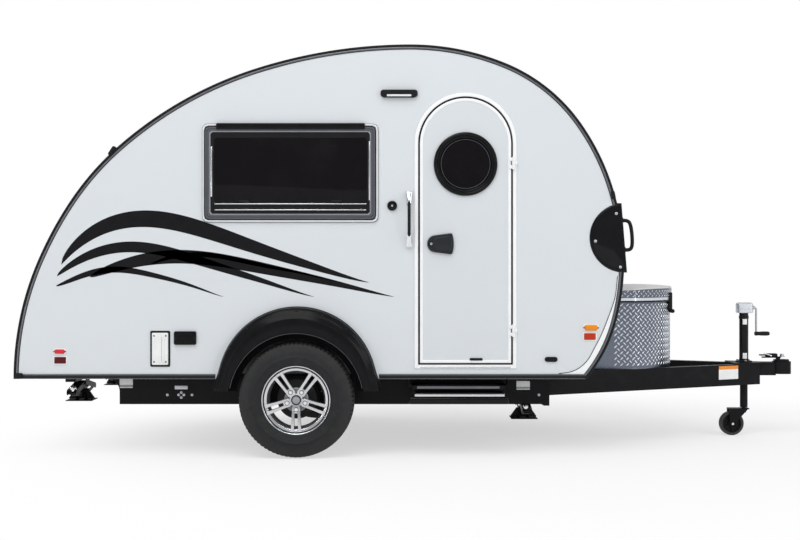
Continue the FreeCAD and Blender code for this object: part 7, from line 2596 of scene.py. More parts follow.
    def build_drives(self) -> None:
        """Bright round drive end of each stabilizer's screw, on a short collar under the floor frame."""
        ends = []
        for x, z in ((-2.038, 0.3745), (0.566, 0.268)):
            collar = lathe([(0.0, 0.0), (0.013, 0.0), (0.013, -0.030), (0.009, -0.034),
                            (0.009, -0.046), (0.0, -0.048)], Axis.Y, (x, -0.740, z), 24)
            ends.append(collar)
        piece("stabilizer_drives", joined(ends).both_sides(), CHROME)
        half = np.array([(-0.0765, 0.007), (0.0765, 0.007), (0.0765, 0.013), (0.042, 0.061),
                         (-0.042, 0.061), (-0.0765, 0.013)])
        for where, x, z in (("rear", -2.059, 0.277), ("front", 0.580, 0.170)):
            gusset = slab(half + np.array([x, z]), -0.4840, -0.4760, 0.0015)
            piece(f"stab_gusset_{where}_right", gusset, CHASSIS,
                  f"stab_{where}_right_foot")
            piece(f"stab_gusset_{where}_left", gusset.mirrored(Axis.Y), CHASSIS,
                  f"stab_{where}_left_foot")

    def build_under(self) -> None:
        """Rail end cheeks, axle clamps and the wiring tube seen from below."""
        outline = np.array([(0.706, 0.300), (0.632, 0.300), (0.638, 0.290), (0.674, 0.270), (0.706, 0.270)])
        piece("rail_end_cheeks", slab(outline, -0.7355, -0.7295, 0.0010).both_sides(), CHASSIS)
        bolts = []
        for y in (-0.660, -0.600):
            for x in (-0.845, -0.775):
                bolts.append(bolt_head(0.010, 0.012).moved(x, y, 0.4455))
        piece("axle_bolts", joined(bolts).both_sides(), ZINC)
        path = [(-1.74, 0.640, 0.449), (-0.90, 0.640, 0.449), (0.0, 0.640, 0.449), (0.66, 0.640, 0.449)]
        piece("wiring_tube", tube(path, 0.0075, bend=2), TRIM_RUBBER)


@dataclass
class Jack:
    """Tongue jack: painted tube, flange, cast head, crank and grip, and the caster wheel."""

    x: float = 2.030
    low: float = 0.327
    top: float = 0.782
    head_shift: float = 0.0035
    crank_high: float = 0.810
    crank_low: float = 0.645
    caster: tuple = (1.950, 0, 0.076)

    def build(self) -> None:
        """Builds the fixed parts, then the caster wheel's own."""
        centre = (self.x, 0, 0)
        tube_rows = [(0.0242, self.low), (0.0275, self.low), (0.0285, self.low + 0.002),
                     (0.0285, self.top - 0.002), (0.0242, self.top - 0.002)]
        collar = [(0.0283, 0.738), (0.0310, 0.740), (0.0310, 0.758), (0.0283, 0.760)]
        body = lathe(tube_rows, Axis.Z,
                     centre, 64, closed=True) + lathe(collar, Axis.Z, centre, 64, closed=True)
        body = body + lathe([(0.0243, 0.600), (0.0, 0.600), (0.0, 0.776), (0.0243, 0.776)], Axis.Z,
                            centre, 32)
        piece("jack_tube", body, GLOSS_BLACK, stands_for=("jack_post",))
        flange = [(0.0280, 0.4655), (0.050, 0.4655), (0.052, 0.4670), (0.052, 0.4715), (0.050, 0.4730),
                  (0.034, 0.4730), (0.0300, 0.4800), (0.0280, 0.4800)]
        bolts = bolt_head(0.0072, 0.008).moved(self.x + 0.041, 0, 0.473).ring_of(3, Axis.Z, centre, 30)
        piece("jack_flange", lathe(flange, Axis.Z, centre, 64, closed=True), CHASSIS)
        piece("jack_flange_bolts", bolts, ZINC)
        self.build_head()
        self.build_labels()
        self.build_caster()

    def build_head(self) -> None:
        """Cast head with a seam and lid screws, the crank and its turned grip."""
        outline = resampled(box_outline(0.099, 0.072, 0.017, 8),
                            72) + np.array([self.x + self.head_shift, 0])
        normal = outward(outline)
        rings = []
        for inset, z in ((0.003, 0.7765), (0.0, 0.7795), (0.0, 0.8000), (0.0016, 0.8012), (0.0016, 0.8030),
                         (0.0, 0.8042), (0.0005, 0.8300),
                         (0.0030, 0.8370), (0.0090, 0.8408), (0.020, 0.8420), (0.032, 0.8422)):
            flat = outline - normal * inset
            rings.append(np.column_stack([flat, np.full(len(flat), z)]))
        piece("jack_head", grid(np.stack(rings), around=True, caps=True), JACK_HEAD)
        spots = np.array([(self.x + self.head_shift + i * 0.036, j * 0.023, 0.8408) for i in (-1, 1)
                          for j in (-1, 1)])
        piece("jack_head_screws", screw_head(0.0042).copied(spots), STEEL)
        boss = lathe([(0.0, 0.0), (0.0135, 0.0), (0.0135, 0.010), (0.0095, 0.014), (0.0, 0.014)], Axis.X,
                     (self.x + 0.0525, 0, self.crank_high), 28)
        arm = self.x + 0.0785
        path = [(self.x + 0.050, 0, self.crank_high), (self.x + 0.078, 0, self.crank_high),
                (arm, 0, 0.780), (arm, 0, 0.668),
                (arm, 0, self.crank_low), (self.x + 0.108, 0, self.crank_low)]
        crank = tube(path, 0.0063, up=(0, 1, 0), bend=3, count=18)
        piece("jack_crank", crank + boss, STEEL)
        grip = [(0.0, 0.0), (0.0110, 0.0), (0.0130, 0.004), (0.0135, 0.014), (0.0118, 0.026),
                (0.0134, 0.044), (0.0140, 0.068), (0.0130, 0.086), (0.0100, 0.0935), (0.0, 0.095)]
        piece("jack_grip", lathe(grip, Axis.X, (self.x + 0.0690, 0, self.crank_low), 32), SATIN_BLACK)

    def build_labels(self) -> None:
        """Two small blank labels that wrap the tube on each side."""
        parts = []
        for z in (0.722, 0.505):
            angle = np.radians(np.linspace(-118, -62, 12))
            rows = []
            for radius, height in ((0.0283, z - 0.018), (0.0289, z - 0.018), (0.0289, z + 0.018),
                                   (0.0283, z + 0.018)):
                rows.append(np.column_stack([self.x + radius * np.cos(angle), radius * np.sin(angle),
                                             np.full(12, height)]))
            parts.append(grid(np.stack(rows, 1), around=True, caps=True))
        piece("jack_labels", joined(parts).both_sides(), LABEL_WHITE)

    def build_caster(self) -> None:
        """Caster wheel: rubber tread with a groove, a spoked face on each side, and the axle ends."""
        centre = self.caster
        tread = [(0.0600, -0.0205), (0.0700, -0.0220), (0.0745, -0.0200), (0.0760, -0.0150),
                 (0.0760, -0.0030), (0.0742, -0.0020),
                 (0.0742, 0.0020), (0.0760, 0.0030), (0.0760, 0.0150), (0.0745, 0.0200), (0.0700, 0.0220),
                 (0.0600, 0.0205)]
        piece("caster_tread", lathe(tread, Axis.Y, centre, 72, closed=True), CASTER_TYRE,
              "caster_wheel", stands_for=("caster_wheel",))
        rim = [(0.0605, -0.0175), (0.0605, 0.0175), (0.0545, 0.0165), (0.0535, 0.0), (0.0545, -0.0165)]
        hub = [(0.0085, -0.0215), (0.0180, -0.0215), (0.0200, -0.0190), (0.0200, 0.0190), (0.0180, 0.0215),
               (0.0085, 0.0215)]
        web = [(0.0190, -0.0030), (0.0550, -0.0030), (0.0550, 0.0030), (0.0190, 0.0030)]
        face = joined([lathe(rows, Axis.Y, centre, 64, closed=True) for rows in (rim, hub, web)])
        rib = block((centre[0] - 0.0032, -0.0150, centre[2] + 0.018),
                    (centre[0] + 0.0032, 0.0150, centre[2] + 0.0555), 0.0015)
        piece("caster_face", face + rib.ring_of(6, Axis.Y, centre), SATIN_BLACK,
              "caster_wheel")
        ends = []
        for sign in (-1, 1):
            rows = [(0.0, sign * 0.0445), (0.0060, sign * 0.0445), (0.0080, sign * 0.0425),
                    (0.0082, sign * 0.0375), (0.0, sign * 0.0375)]
            ends.append(lathe(rows, Axis.Y, centre, 24))
        piece("caster_axle_ends", joined(ends), CHROME, "caster_fork")


@dataclass
class GasTub:
    """Bowed tread-plate tub with raised bars, its gasket, crowned lid, latch and hinges."""

    back: float = 1.119
    straight: float = 0.131
    length: float = 0.429
    half: float = 0.450
    low: float = 0.457
    top: float = 0.880
    crown: float = 0.960
    falls: tuple = (0.229, 0.071)
    pitch: float = 0.0360
    bar: tuple = (0.0300, 0.0100, 0.0020)

    def plan(self, grow: Number = 0.0, count: int = 0) -> Array:
        """Plan of the tub from its rear right corner round the bow to its rear left corner, as X and Y.

        The bow is one arc through the ends of the straight sides and the front of the tub.

        Args:
            grow: how far outside the tub.
            count: how many evenly spaced points, or nought for the arc's own.

        Returns:
            Rows of X and Y.
        """
        bow = self.length - self.straight
        radius = (self.half ** 2 + bow ** 2) / (2 * bow)
        centre = self.back + self.length - radius
        edge = math.atan2(self.half, self.back + self.straight - centre)
        angle = np.linspace(-edge, edge, 90)
        arc = np.array([centre, 0]) + (radius + grow) * np.stack([np.cos(angle), np.sin(angle)], -1)
        side = np.array([[self.back, -self.half - grow], [self.back + self.straight, -self.half - grow]])
        arc[:, 1] = np.clip(arc[:, 1], -self.half - grow, self.half + grow)
        line = np.vstack([side, arc[1:-1], side[::-1] * [1, -1]])
        return resampled(line, count, closed=False) if count else line

    def build(self) -> None:
        """Dresses the sheet wall and builds its bars, gasket, lid and hardware."""
        # The sheet takes the darker copy of the tread finish, painted shade, and the bars the lighter one,
        # painted highlight.
        refinish("gas_tub", TREAD_PAINTED_SHADE)
        levels = np.arange(self.low + 0.026, 0.8560, self.pitch / 2)
        piece("tub_bars", self.bars(0.0, levels, self.bar), TREAD_BAR_PAINTED_HIGHLIGHT)
        gasket = self.rim_strip(0.8575, 0.8670, 0.0015, 0.0128)
        piece("tub_gasket", gasket, TRIM_RUBBER)
        base = self.rim_strip(self.low, self.low + 0.012, 0.0, 0.0030)
        piece("tub_base_angle", base, TREAD_PAINTED_SHADE)
        self.build_lid()
        self.build_latch()

    def rim_strip(self, low: Number, high: Number, inner: Number, outer: Number) -> Shape:
        """A strip round the plan between two heights and two distances outside the wall.

        Args:
            low: lower height.
            high: upper height.
            inner: distance of its inner face from the wall.
            outer: distance of its outer face from the wall.

        Returns:
            The strip.
        """
        rings = []
        for grow, z in ((inner, low), (outer, low), (outer, high), (inner, high)):
            line = self.plan(grow, count=150)
            rings.append(np.column_stack([line, np.full(150, z)]))
        return grid(np.stack(rings, 1), around=True, caps=True)

    def dome(self, flat: Array) -> Array:
        """Height of the lid over plan points: it falls from the crown with the square of each distance."""
        away = flat - np.array([self.back + self.length / 2, 0.0])
        return self.crown - np.sum(np.array(self.falls) * away ** 2, axis=1)

    def bars(self, grow: Number, levels: Array, size: tuple) -> Shape:
        """Raised bars on the wall of the tub or of its lid.

        Places run on a staggered lattice of running length and height; every other bar is
        turned a right angle, and each is a low mound laid on the plan's tangent. A bar that
        would stand above the lid's shoulder is left out.

        Args:
            grow: how far the wall lies outside the tub's plan.
            levels: heights of the rows.
            size: length, width and rise of a bar.

        Returns:
            All the bars.
        """
        dense = self.plan(grow, count=900)
        step = np.linalg.norm(np.diff(dense, axis=0), axis=1)
        run = np.concatenate([[0], np.cumsum(step)])
        columns = np.arange(0.018, run[-1] - 0.016, self.pitch / 2)
        index = np.stack(np.meshgrid(np.arange(len(columns)),
                                     np.arange(len(levels)), indexing="ij"), -1).reshape(-1, 2)
        index = index[(index.sum(1) % 2) == 0]
        along, height = columns[index[:, 0]], levels[index[:, 1]]
        spot = np.column_stack([np.interp(along, run, dense[:, 0]), np.interp(along, run, dense[:, 1])])
        kept = height + size[0] * 0.36 < self.dome(spot) - 0.008
        index, along, height = index[kept], along[kept], height[kept]
        lying = (index[:, 0] % 2) == 0
        long, short, rise = size
        ring = circle(1.0, 8)
        outline = np.stack([np.sign(ring[:, 0]) * np.abs(ring[:, 0]) ** 1.5 * long / 2,
                            ring[:, 1] * short / 2], -1)
        inner = outline * np.array([0.62, 0.45])
        flat = np.vstack([outline, inner])
        up = np.concatenate([np.zeros(8) - 0.0004, np.full(8, rise)])
        tilt = np.where(lying, math.radians(45), math.radians(-45))[:, None]
        s = flat[None, :, 0] * np.cos(tilt) - flat[None, :, 1] * np.sin(tilt)
        t = flat[None, :, 0] * np.sin(tilt) + flat[None, :, 1] * np.cos(tilt)
        place = (along[:, None] + s).ravel()
        x, y = np.interp(place, run, dense[:, 0]), np.interp(place, run, dense[:, 1])
        normal = outward(dense, closed=False)
        nx, ny = np.interp(place, run, normal[:, 0]), np.interp(place, run, normal[:, 1])
        out = np.tile(up, len(along))
        points = np.column_stack([x + nx * out, y + ny * out, (height[:, None] + t).ravel()])
        single = np.arange(16).reshape(2, 8)
        loop = np.hstack([single, single[:, :1]])
        quads = np.stack([loop[0, :-1], loop[0, 1:], loop[1, 1:], loop[1, :-1]], -1)
        starts = (np.arange(len(along)) * 16)[:, None, None]
        sides = (quads[None] + starts).reshape(-1, 4)
        tops = (single[1:][None] + starts).reshape(-1, 8)
        return Shape(points, [sides, tops])

    def build_lid(self) -> None:
        """Crowned lid: the plan shrinks inward while its height follows the dome, with a rolled rim."""
        grow = 0.010
        middle = np.array([self.back + self.length / 2, 0.0])
        line = self.plan(grow, count=140)
        loop = np.vstack([line, np.column_stack([np.full(40, self.back),
                                                 np.linspace(line[-1, 1], line[0, 1], 42)[1:-1]])])
        rings = []

        def inset(distance: Number) -> Array:
            """The loop pulled towards the middle by about a distance."""
            share = distance / 0.30
            return loop + (middle - loop) * share

        for distance, z in ((0.006, 0.8665), (0.0012, 0.8665), (0.0, 0.8680), (0.0, 0.876)):
            rings.append(np.column_stack([inset(distance), np.full(len(loop), z)]))
        edge = self.dome(loop)
        rings.append(np.column_stack([loop, edge - 0.010]))
        for distance, drop in ((0.0012, 0.0052), (0.0045, 0.0018), (0.010, 0.0)):
            flat = inset(distance)
            rings.append(np.column_stack([flat, self.dome(flat) - drop]))
        for distance in (0.03, 0.07, 0.12, 0.18, 0.24, 0.285, 0.2985):
            flat = inset(distance)
            rings.append(np.column_stack([flat, self.dome(flat)]))
        lid = grid(np.stack(rings), around=True, caps=False)
        cap = np.arange(len(rings) - 1, len(rings)) * len(loop)
        lid = Shape(lid.points, lid.faces + [(cap[:, None] + np.arange(len(loop))[None])])
        # The lid's top takes the light grey that paints the sky's reflection on it.
        shell = piece("tub_lid_shell", lid, LID_GREY_PAINTED_REFLECTION, "tub_lid", stands_for=("tub_lid",))
        made = shell.modifiers.new("wall", "SOLIDIFY")
        made.thickness, made.offset = 0.003, -1.0
        piece("tub_lid_bars", self.bars(grow, np.array([0.8955, 0.9095, 0.9235]),
                                        (0.0240, 0.0080, 0.0016)), TREAD_BAR_PAINTED_HIGHLIGHT, "tub_lid")
        wall = []
        for out, upper in ((0.0, False), (0.0006, False), (0.0006, True), (0.0, True)):
            flat = self.plan(grow + out, count=140)
            wall.append(np.column_stack([flat, self.dome(flat) - 0.012 if upper else np.full(140, 0.8840)]))
        piece("tub_lid_wall", grid(np.stack(wall, 1), around=True, caps=True), TREAD_PAINTED_SHADE,
              "tub_lid")
        band = []
        for distance, z in ((0.0, 0.8660), (-0.0018, 0.8672), (-0.0018, 0.8832), (0.0, 0.8845)):
            flat = self.plan(grow - distance, count=140)
            band.append(np.column_stack([flat, np.full(140, z)]))
        piece("tub_lid_band", grid(np.stack(band, 1), around=True, caps=True), TREAD_BAR_PAINTED_HIGHLIGHT,
              "tub_lid")

    def build_latch(self) -> None:
        """Rubber T latch at the front right corner, hooks and hinge leaves."""
        parts = []
        line = self.plan(0.0, count=900)
        for y in (-0.200, 0.200):
            x = line[np.argmin(np.abs(line[:, 1] - y) + (line[:, 0] < 1.2)), 0]
            strap = block((x - 0.004, y - 0.020, 0.800), (x + 0.024, y + 0.020, 0.912), 0.006, 3)
            tee = tube([(x + 0.022, y - 0.034, 0.797), (x + 0.022, y + 0.034, 0.797)], 0.0125,
                       up=(0, 0, 1), count=14)
            parts += [strap, tee]
        piece("tub_latches", joined(parts), TRIM_RUBBER)
        hooks = [block((1.536 - 0.020, -0.03, 0.884), (1.5575, 0.03, 0.902), 0.003)]
        piece("tub_lid_pull", joined(hooks), SATIN_BLACK, "tub_lid")
        leaves, pins = [], []
        for y in (-0.241, 0.299):
            leaves.append(block((1.1055, y - 0.026, 0.882), (1.1125, y + 0.026, 0.930), 0.001))
            pins.append(tube([(1.111, y - 0.030, 0.938), (1.111, y + 0.030, 0.938)], 0.0028, up=(0, 0, 1),
                             count=12))
        piece("tub_hinge_pins", joined(pins), STEEL)
        bracket = [block((1.111, y - 0.0285, 0.9325), (1.124, y + 0.0285, 0.9360), 0.001)
                   for y in (-0.241, 0.299)]
        piece("tub_lid_leaves", joined(bracket), STEEL, "tub_lid")


@dataclass
class RoofVent:
    """Roof vent: flange with screws, and a ribbed dome lid with a raised lip."""

    middle: tuple = (-0.275, 0.0)
    top: float = 2.386

    def ring(self, size: Number, corner: Number, z: Union[Number, Array]) -> Array:
        """A round-cornered square at a height."""
        flat = resampled(box_outline(size, size, corner, 8), 120) + np.array(self.middle)
        return np.column_stack([flat, np.broadcast_to(z, len(flat))])

    def build(self) -> None:
        """Builds the flange, the lid and the screws."""
        rows = [(0.396, 0.020, 2.296), (0.400, 0.020, 2.3285), (0.396, 0.020, 2.3325),
                (0.366, 0.030, 2.3335), (0.362, 0.030, 2.342),
                (0.354, 0.030, 2.345), (0.350, 0.030, 2.342), (0.350, 0.030, 2.298)]
        flange = grid(np.stack([self.ring(*row) for row in rows]), around=True, along=True)
        piece("vent_flange", flange, VENT_WHITE, stands_for=("roof_vent",))
        lid_rows = [(0.360, 0.034, 2.338), (0.372, 0.036, 2.339), (0.374, 0.037, 2.343),
                    (0.372, 0.036, 2.350), (0.362, 0.040, 2.362),
                    (0.335, 0.045, 2.3725), (0.300, 0.050, 2.3775), (0.296, 0.050, 2.3800),
                    (0.270, 0.050, 2.3830), (0.200, 0.045, 2.3850),
                    (0.120, 0.030, 2.3858), (0.020, 0.009, 2.3860)]
        lid = grid(np.stack([self.ring(*row) for row in lid_rows]), around=True, caps=True)
        piece("vent_lid", lid, VENT_WHITE)
        ribs = [block((self.middle[0] - 0.125, y - 0.004, 2.376),
                      (self.middle[0] + 0.125, y + 0.004, 2.3872), 0.0025)
                      for y in (-0.09, -0.045, 0.0, 0.045, 0.09)]
        piece("vent_ribs", joined(ribs), VENT_WHITE)
        half = 0.190
        spots = [(self.middle[0] + i * half, self.middle[1] + j * half, 2.3325) for i in (-1, 0, 1)
                 for j in (-1, 0, 1) if i or j]
        piece("vent_screws", screw_head(0.0045).copied(np.array(spots)), STEEL)


# ---------------------------------------------------------------------------------------
# Cabin
# ---------------------------------------------------------------------------------------
@dataclass
class Cushions:
    """Three padded seats: crowned box cushions with piping, swollen a little by cloth pressure."""

    low: float = 0.7975
    high: float = 0.9065
    voxel: float = 0.011
    cap: float = 0.010
    frames: int = 14

    def seats(self) -> list[tuple[str, tuple, tuple]]:
        """Name, lowest and highest plan corner of each seat, drawn in from its space.

        Returns:
            Name and two plan corners of each seat.
        """
        return [("seat_right", (-2.115, -0.892), (-0.712, -0.480)),
                ("seat_left", (-2.115, 0.480), (-0.712, 0.892)),
                ("seat_rear", (-2.115, -0.452), (-1.790, 0.452))]

    def form(self, low: tuple, high: tuple) -> Shape:
        """A crowned cushion: round corners in plan, rounded sides, and a top raised by a product of
        parabolas.

        Args:
            low: lowest plan corner.
            high: highest plan corner.

        Returns:
            The cushion.
        """
        size = np.array(high) - np.array(low)
        middle = (np.array(high) + np.array(low)) / 2
        outline = resampled(box_outline(size[0], size[1], 0.035, 7), 150)
        half = (self.high - self.low - 0.012) / 2
        centre = (self.high + self.low) / 2 - 0.003
        rings = []
        for angle in np.radians([-90, -60, -35, -12, 12, 35, 60, 90]):
            inset = 1 - 0.020 * (1 - math.cos(angle)) / (size / 2)
            rings.append(np.column_stack([outline * inset, np.full(150, centre + half * math.sin(angle))]))
        for share in (0.93, 0.8, 0.62, 0.42, 0.22, 0.04):
            flat = outline * share
            crown = 0.008 * np.prod(1 - (2 * flat / size) ** 2, axis=1)
            rings.append(np.column_stack([flat, centre + half + crown]))
        bottom = [np.column_stack([outline * share, np.full(150, centre - half)])
                  for share in (0.04, 0.3, 0.6, 0.9)]
        return grid(np.stack(bottom + rings), around=True, caps=True).moved(*middle)

    def swell(self, thing: bpy.types.Object) -> None:
        """Swells a cushion by cloth pressure, caps how far each point moves, and applies the result.

        Args:
            thing: the cushion, whose mesh is replaced by the swollen one.
        """
        remesh = thing.modifiers.new("remesh", "REMESH")
        remesh.mode, remesh.voxel_size, remesh.use_smooth_shade = "VOXEL", self.voxel, True
        scene = bpy.context.scene
        self.apply(thing)
        rest = np.empty(len(thing.data.vertices) * 3)
        thing.data.vertices.foreach_get("co", rest)
        cloth = thing.modifiers.new("cloth", "CLOTH")
        cloth.settings.use_pressure = True
        cloth.settings.uniform_pressure_force = 4.0
        cloth.settings.effector_weights.gravity = 0.0
        cloth.settings.tension_stiffness = 30
        cloth.settings.quality = 5
        cloth.point_cache.frame_start, cloth.point_cache.frame_end = 1, self.frames
        for frame_number in range(1, self.frames + 1):
            scene.frame_set(frame_number)
        self.apply(thing)
        scene.frame_set(1)
        swollen = np.empty(len(rest))
        thing.data.vertices.foreach_get("co", swollen)
        move = (swollen - rest).reshape(-1, 3)
        length = np.linalg.norm(move, axis=1, keepdims=True)
        kept = rest.reshape(-1, 3) + move * np.minimum(1, self.cap / np.maximum(length, 1e-9))
        kept[:, 2] = np.clip(kept[:, 2], self.low, self.high + 0.004)
        thing.data.vertices.foreach_set("co", kept.ravel())
        thing.data.update()
        thing.data.shade_smooth()

    def apply(self, thing: bpy.types.Object) -> None:
        """Replaces the mesh of a piece by the mesh that its modifiers give, and drops them.

        Args:
            thing: the piece.
        """
        graph = bpy.context.evaluated_depsgraph_get()
        made = bpy.data.meshes.new_from_object(thing.evaluated_get(graph))
        old = thing.data
        thing.modifiers.clear()
        thing.data = made
        if not made.materials:
            made.materials.append(CLOTH.material())
        bpy.data.meshes.remove(old)

    def build(self) -> None:
        """Builds each cushion with its piping."""
        for name, low, high in self.seats():
            thing = piece(name, self.form(low, high), CLOTH, stands_for=("seat_cushions",))
            self.swell(thing)
            size, middle = np.array(high) - np.array(low), (np.array(high) + np.array(low)) / 2
            cords = []
            for z in (self.low + 0.020, self.high - 0.026):
                line = resampled(box_outline(size[0], size[1], 0.036, 8), 140) + middle
                path = np.column_stack([line, np.full(140, z)])
                cords.append(tube(path, 0.0035, count=8, closed=True))
            piece(f"{name}_piping", joined(cords), PIPING)


@dataclass
class CabinFurniture:
    """Fronts and pulls on the galley, and the veneer of the benches and the galley."""

    def build(self) -> None:
        """Dresses the carcasses and adds fronts and pulls."""
        refinish("furniture", WOOD)
        fronts, pulls = [], []
        for y0, y1 in ((-0.440, -0.020), (0.000, 0.420), (0.440, 0.860)):
            for z0, z1 in ((0.560, 0.780), (0.800, 0.985)):
                fronts.append(block((0.5585, y0, z0), (0.5705, y1, z1), 0.003))
                middle = (y0 + y1) / 2
                pulls.append(tube([(0.556, middle - 0.05, z1 - 0.03), (0.545, middle - 0.045, z1 - 0.03),
                                   (0.545, middle + 0.045, z1 - 0.03),
                                   (0.556, middle + 0.05, z1 - 0.03)], 0.0042, bend=2, count=12))
        piece("galley_fronts", joined(fronts), WOOD)
        piece("galley_pulls", joined(pulls), CHROME)


# ---------------------------------------------------------------------------------------
# Carried-over nodes and the studio
# ---------------------------------------------------------------------------------------
CARRIED: dict[str, Finish] = {
    "side_wall_right": WALL, "side_wall_left": WALL, "roof_shell": WALL, "cabin_floor": FLOORING,
    "frame_rails": CHASSIS, "crossmembers": CHASSIS, "tongue_beams": CHASSIS, "coupler": CHASSIS,
    "axle": BRAKE_DARK, "gas_bottle": BOTTLE, "step_frame": CHASSIS,
    "jack_leg": CHASSIS, "caster_fork": CHASSIS, "step_arms_upper": CHASSIS, "step_arms_lower": CHASSIS,
    "step_tread_upper": CHASSIS, "step_tread_lower": CHASSIS,
}


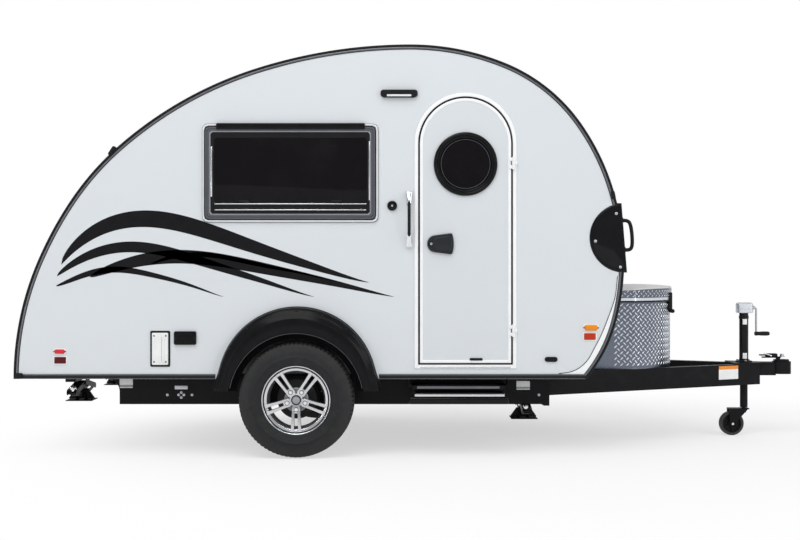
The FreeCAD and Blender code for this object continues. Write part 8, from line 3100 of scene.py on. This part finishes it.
@dataclass
class Studio:
    """Camera, soft lights with narrow strips among them, pale floor and white surroundings."""

    eye: tuple = (-0.157, -7.960, 1.100)
    lens: float = 56.3
    lift: float = -0.010
    key: float = 284.0
    fill: float = 96.0
    strip: float = 28.0
    sky: float = 0.47
    near_white: float = 0.58

    def build(self) -> None:
        """Builds everything around the trailer."""
        scene = bpy.context.scene
        data = bpy.data.cameras.new("camera")
        data.lens, data.sensor_width, data.shift_y, data.clip_end = self.lens, 36.0, self.lift, 200
        camera = bpy.data.objects.new("camera", data)
        camera.location, camera.rotation_euler = self.eye, (math.pi / 2, 0, 0)
        scene.collection.objects.link(camera)
        scene.camera = camera
        scene.view_settings.view_transform = "Standard"
        self.light("key_light", (-2.0, -5.4, 8.0), (0.0, 0.0, 1.0), (5.5, 5.5), self.key)
        self.light("front_light", (6.5, -3.5, 4.5), (0.3, 0.0, 0.9), (4.0, 4.0), self.fill)
        self.light("rear_light", (-6.5, 3.5, 5.0), (-0.3, 0.0, 0.9), (4.0, 4.0), self.fill)
        self.light("far_light", (2.5, 7.0, 6.0), (0.0, 0.0, 1.0), (5.0, 5.0), self.fill)
        self.light("high_strip", (0.0, -5.5, 4.6), (0.0, 0.0, 0.8), (4.5, 0.18), self.strip)
        self.light("tail_strip", (-5.0, -5.0, 1.9), (-0.6, -0.9, 0.8), (0.18, 3.0), self.strip)
        self.light("nose_strip", (4.8, -5.2, 1.9), (0.3, -0.9, 0.8), (0.18, 3.0), self.strip)
        self.build_floor()
        self.build_world()

    def light(self, name: str, place: tuple, target: tuple, size: tuple, power: Number) -> None:
        """A soft light that faces a point.

        Args:
            name: its name.
            place: where it hangs.
            target: the point that it faces.
            size: its width and height.
            power: watts.
        """
        data = bpy.data.lights.new(name, "AREA")
        data.shape, data.energy = "RECTANGLE", power
        data.size, data.size_y = size
        lamp = bpy.data.objects.new(name, data)
        lamp.location = place
        way = np.array(target) - np.array(place)
        across = math.atan2(way[1], way[0]) - math.pi / 2
        lamp.rotation_euler = (math.acos(-way[2] / np.linalg.norm(way)), 0, across)
        bpy.context.scene.collection.objects.link(lamp)

    def build_floor(self) -> None:
        """A large round floor: it takes the shadow near the trailer and turns to plain white further out."""
        radius = np.concatenate([np.linspace(0, 6, 13), [9, 14, 24, 40]])
        floor = lathe([(r, 0.0) for r in radius], Axis.Z, (0, 0, 0), 96)
        mesh = bpy.data.meshes.new("floor")
        mesh.from_pydata(floor.points.tolist(), [], [row for part in floor.faces for row in part.tolist()])
        form = bmesh.new()
        form.from_mesh(mesh)
        bmesh.ops.remove_doubles(form, verts=form.verts, dist=1e-6)
        bmesh.ops.recalc_face_normals(form, faces=form.faces)
        form.to_mesh(mesh)
        form.free()
        thing = bpy.data.objects.new("floor", mesh)
        bpy.context.scene.collection.objects.link(thing)
        mesh.materials.append(self.floor_paint())

    def white_rays(self, paint: Paint) -> Signal:
        """One for camera, glossy and transmission rays.

        Args:
            paint: writer of the material's nodes.

        Returns:
            The signal.
        """
        path = paint.node("LightPath")
        rays = [Signal(paint, path.outputs[name])
                for name in ("Is Camera Ray", "Is Glossy Ray", "Is Transmission Ray")]
        return (rays[0] + rays[1] + rays[2]).clamped()

    def floor_paint(self) -> bpy.types.Material:
        """Pale diffuse paint that gives way to white light for the eye beyond an ellipse round the
        trailer.

        Returns:
            The material.
        """
        paint = Paint("studio_floor")
        x, y, _ = paint.parts()
        away = (((x - 0.8) * 0.25) * ((x - 0.8) * 0.25) + ((y + 0.4) * 0.27) * ((y + 0.4) * 0.27)).root()
        speck = paint.noise(30, 3) * 0.01
        white = paint.node("Emission", None, {"Color": (1.0, 1.0, 1.0), "Strength": 1.0})
        pale = paint.node("BsdfDiffuse", None, {"Color": (0.93, 0.93, 0.93), "Roughness": 0.4})
        share = ((away + speck).rise(0.42, 0.95) * (1 - self.near_white)
                 + self.near_white) * self.white_rays(paint)
        mix = paint.node("MixShader", None, {0: share, 1: pale.outputs[0], 2: white.outputs[0]})
        paint.tree.links.new(mix.outputs[0], paint.end.inputs[0])
        return paint.material

    def build_world(self) -> None:
        """White to the eye, softer as a light."""
        world = bpy.data.worlds.new("studio_world")
        bpy.context.scene.world = world
        world.use_nodes = True
        nodes, links = world.node_tree.nodes, world.node_tree.links
        nodes.clear()
        end, path = nodes.new("ShaderNodeOutputWorld"), nodes.new("ShaderNodeLightPath")
        seen, soft = nodes.new("ShaderNodeBackground"), nodes.new("ShaderNodeBackground")
        seen.inputs["Color"].default_value, seen.inputs["Strength"].default_value = (1, 1, 1, 1), 1.0
        soft.inputs["Color"].default_value = (0.96, 0.98, 1.0, 1)
        soft.inputs["Strength"].default_value = self.sky
        mix, most = nodes.new("ShaderNodeMixShader"), nodes.new("ShaderNodeMath")
        most.operation = "MAXIMUM"
        links.new(path.outputs["Is Camera Ray"], most.inputs[0])
        links.new(path.outputs["Is Transmission Ray"], most.inputs[1])
        links.new(most.outputs[0], mix.inputs[0])
        links.new(soft.outputs[0], mix.inputs[1])
        links.new(seen.outputs[0], mix.inputs[2])
        links.new(mix.outputs[0], end.inputs[0])


def carry_over(names: Sequence[str]) -> None:
    """Gives each remaining CAD node its finish: the named ones, and powder coat on every stabilizer part.

    Args:
        names: names of the CAD nodes in the frame.
    """
    for name in names:
        if name in CARRIED:
            refinish(name, CARRIED[name])
        elif name.startswith("stab_"):
            refinish(name, CHASSIS)


def main() -> None:
    """Loads the frame, gives the CAD nodes their finishes, builds the studio and every sub-assembly in order.
    """
    logging.basicConfig(level=logging.INFO, format="%(name)s %(message)s")
    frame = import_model()
    carry_over(sorted(frame["nodes"]))
    Studio().build()
    body = (EdgeTrim(), Skirt(), StripeDecal(), SideWindow(), TailWindow(), NoseWindow(), EntryDoor())
    fittings = (Lamps(), Handles(), WallFittings(), Fender())
    running_gear = (RoadWheel(Side.RIGHT), RoadWheel(Side.LEFT), Chassis(), Jack())
    rest = (GasTub(), RoofVent(), Cushions(), CabinFurniture())
    for part in body + fittings + running_gear + rest:
        part.build()


if __name__ == "__main__":
    main()
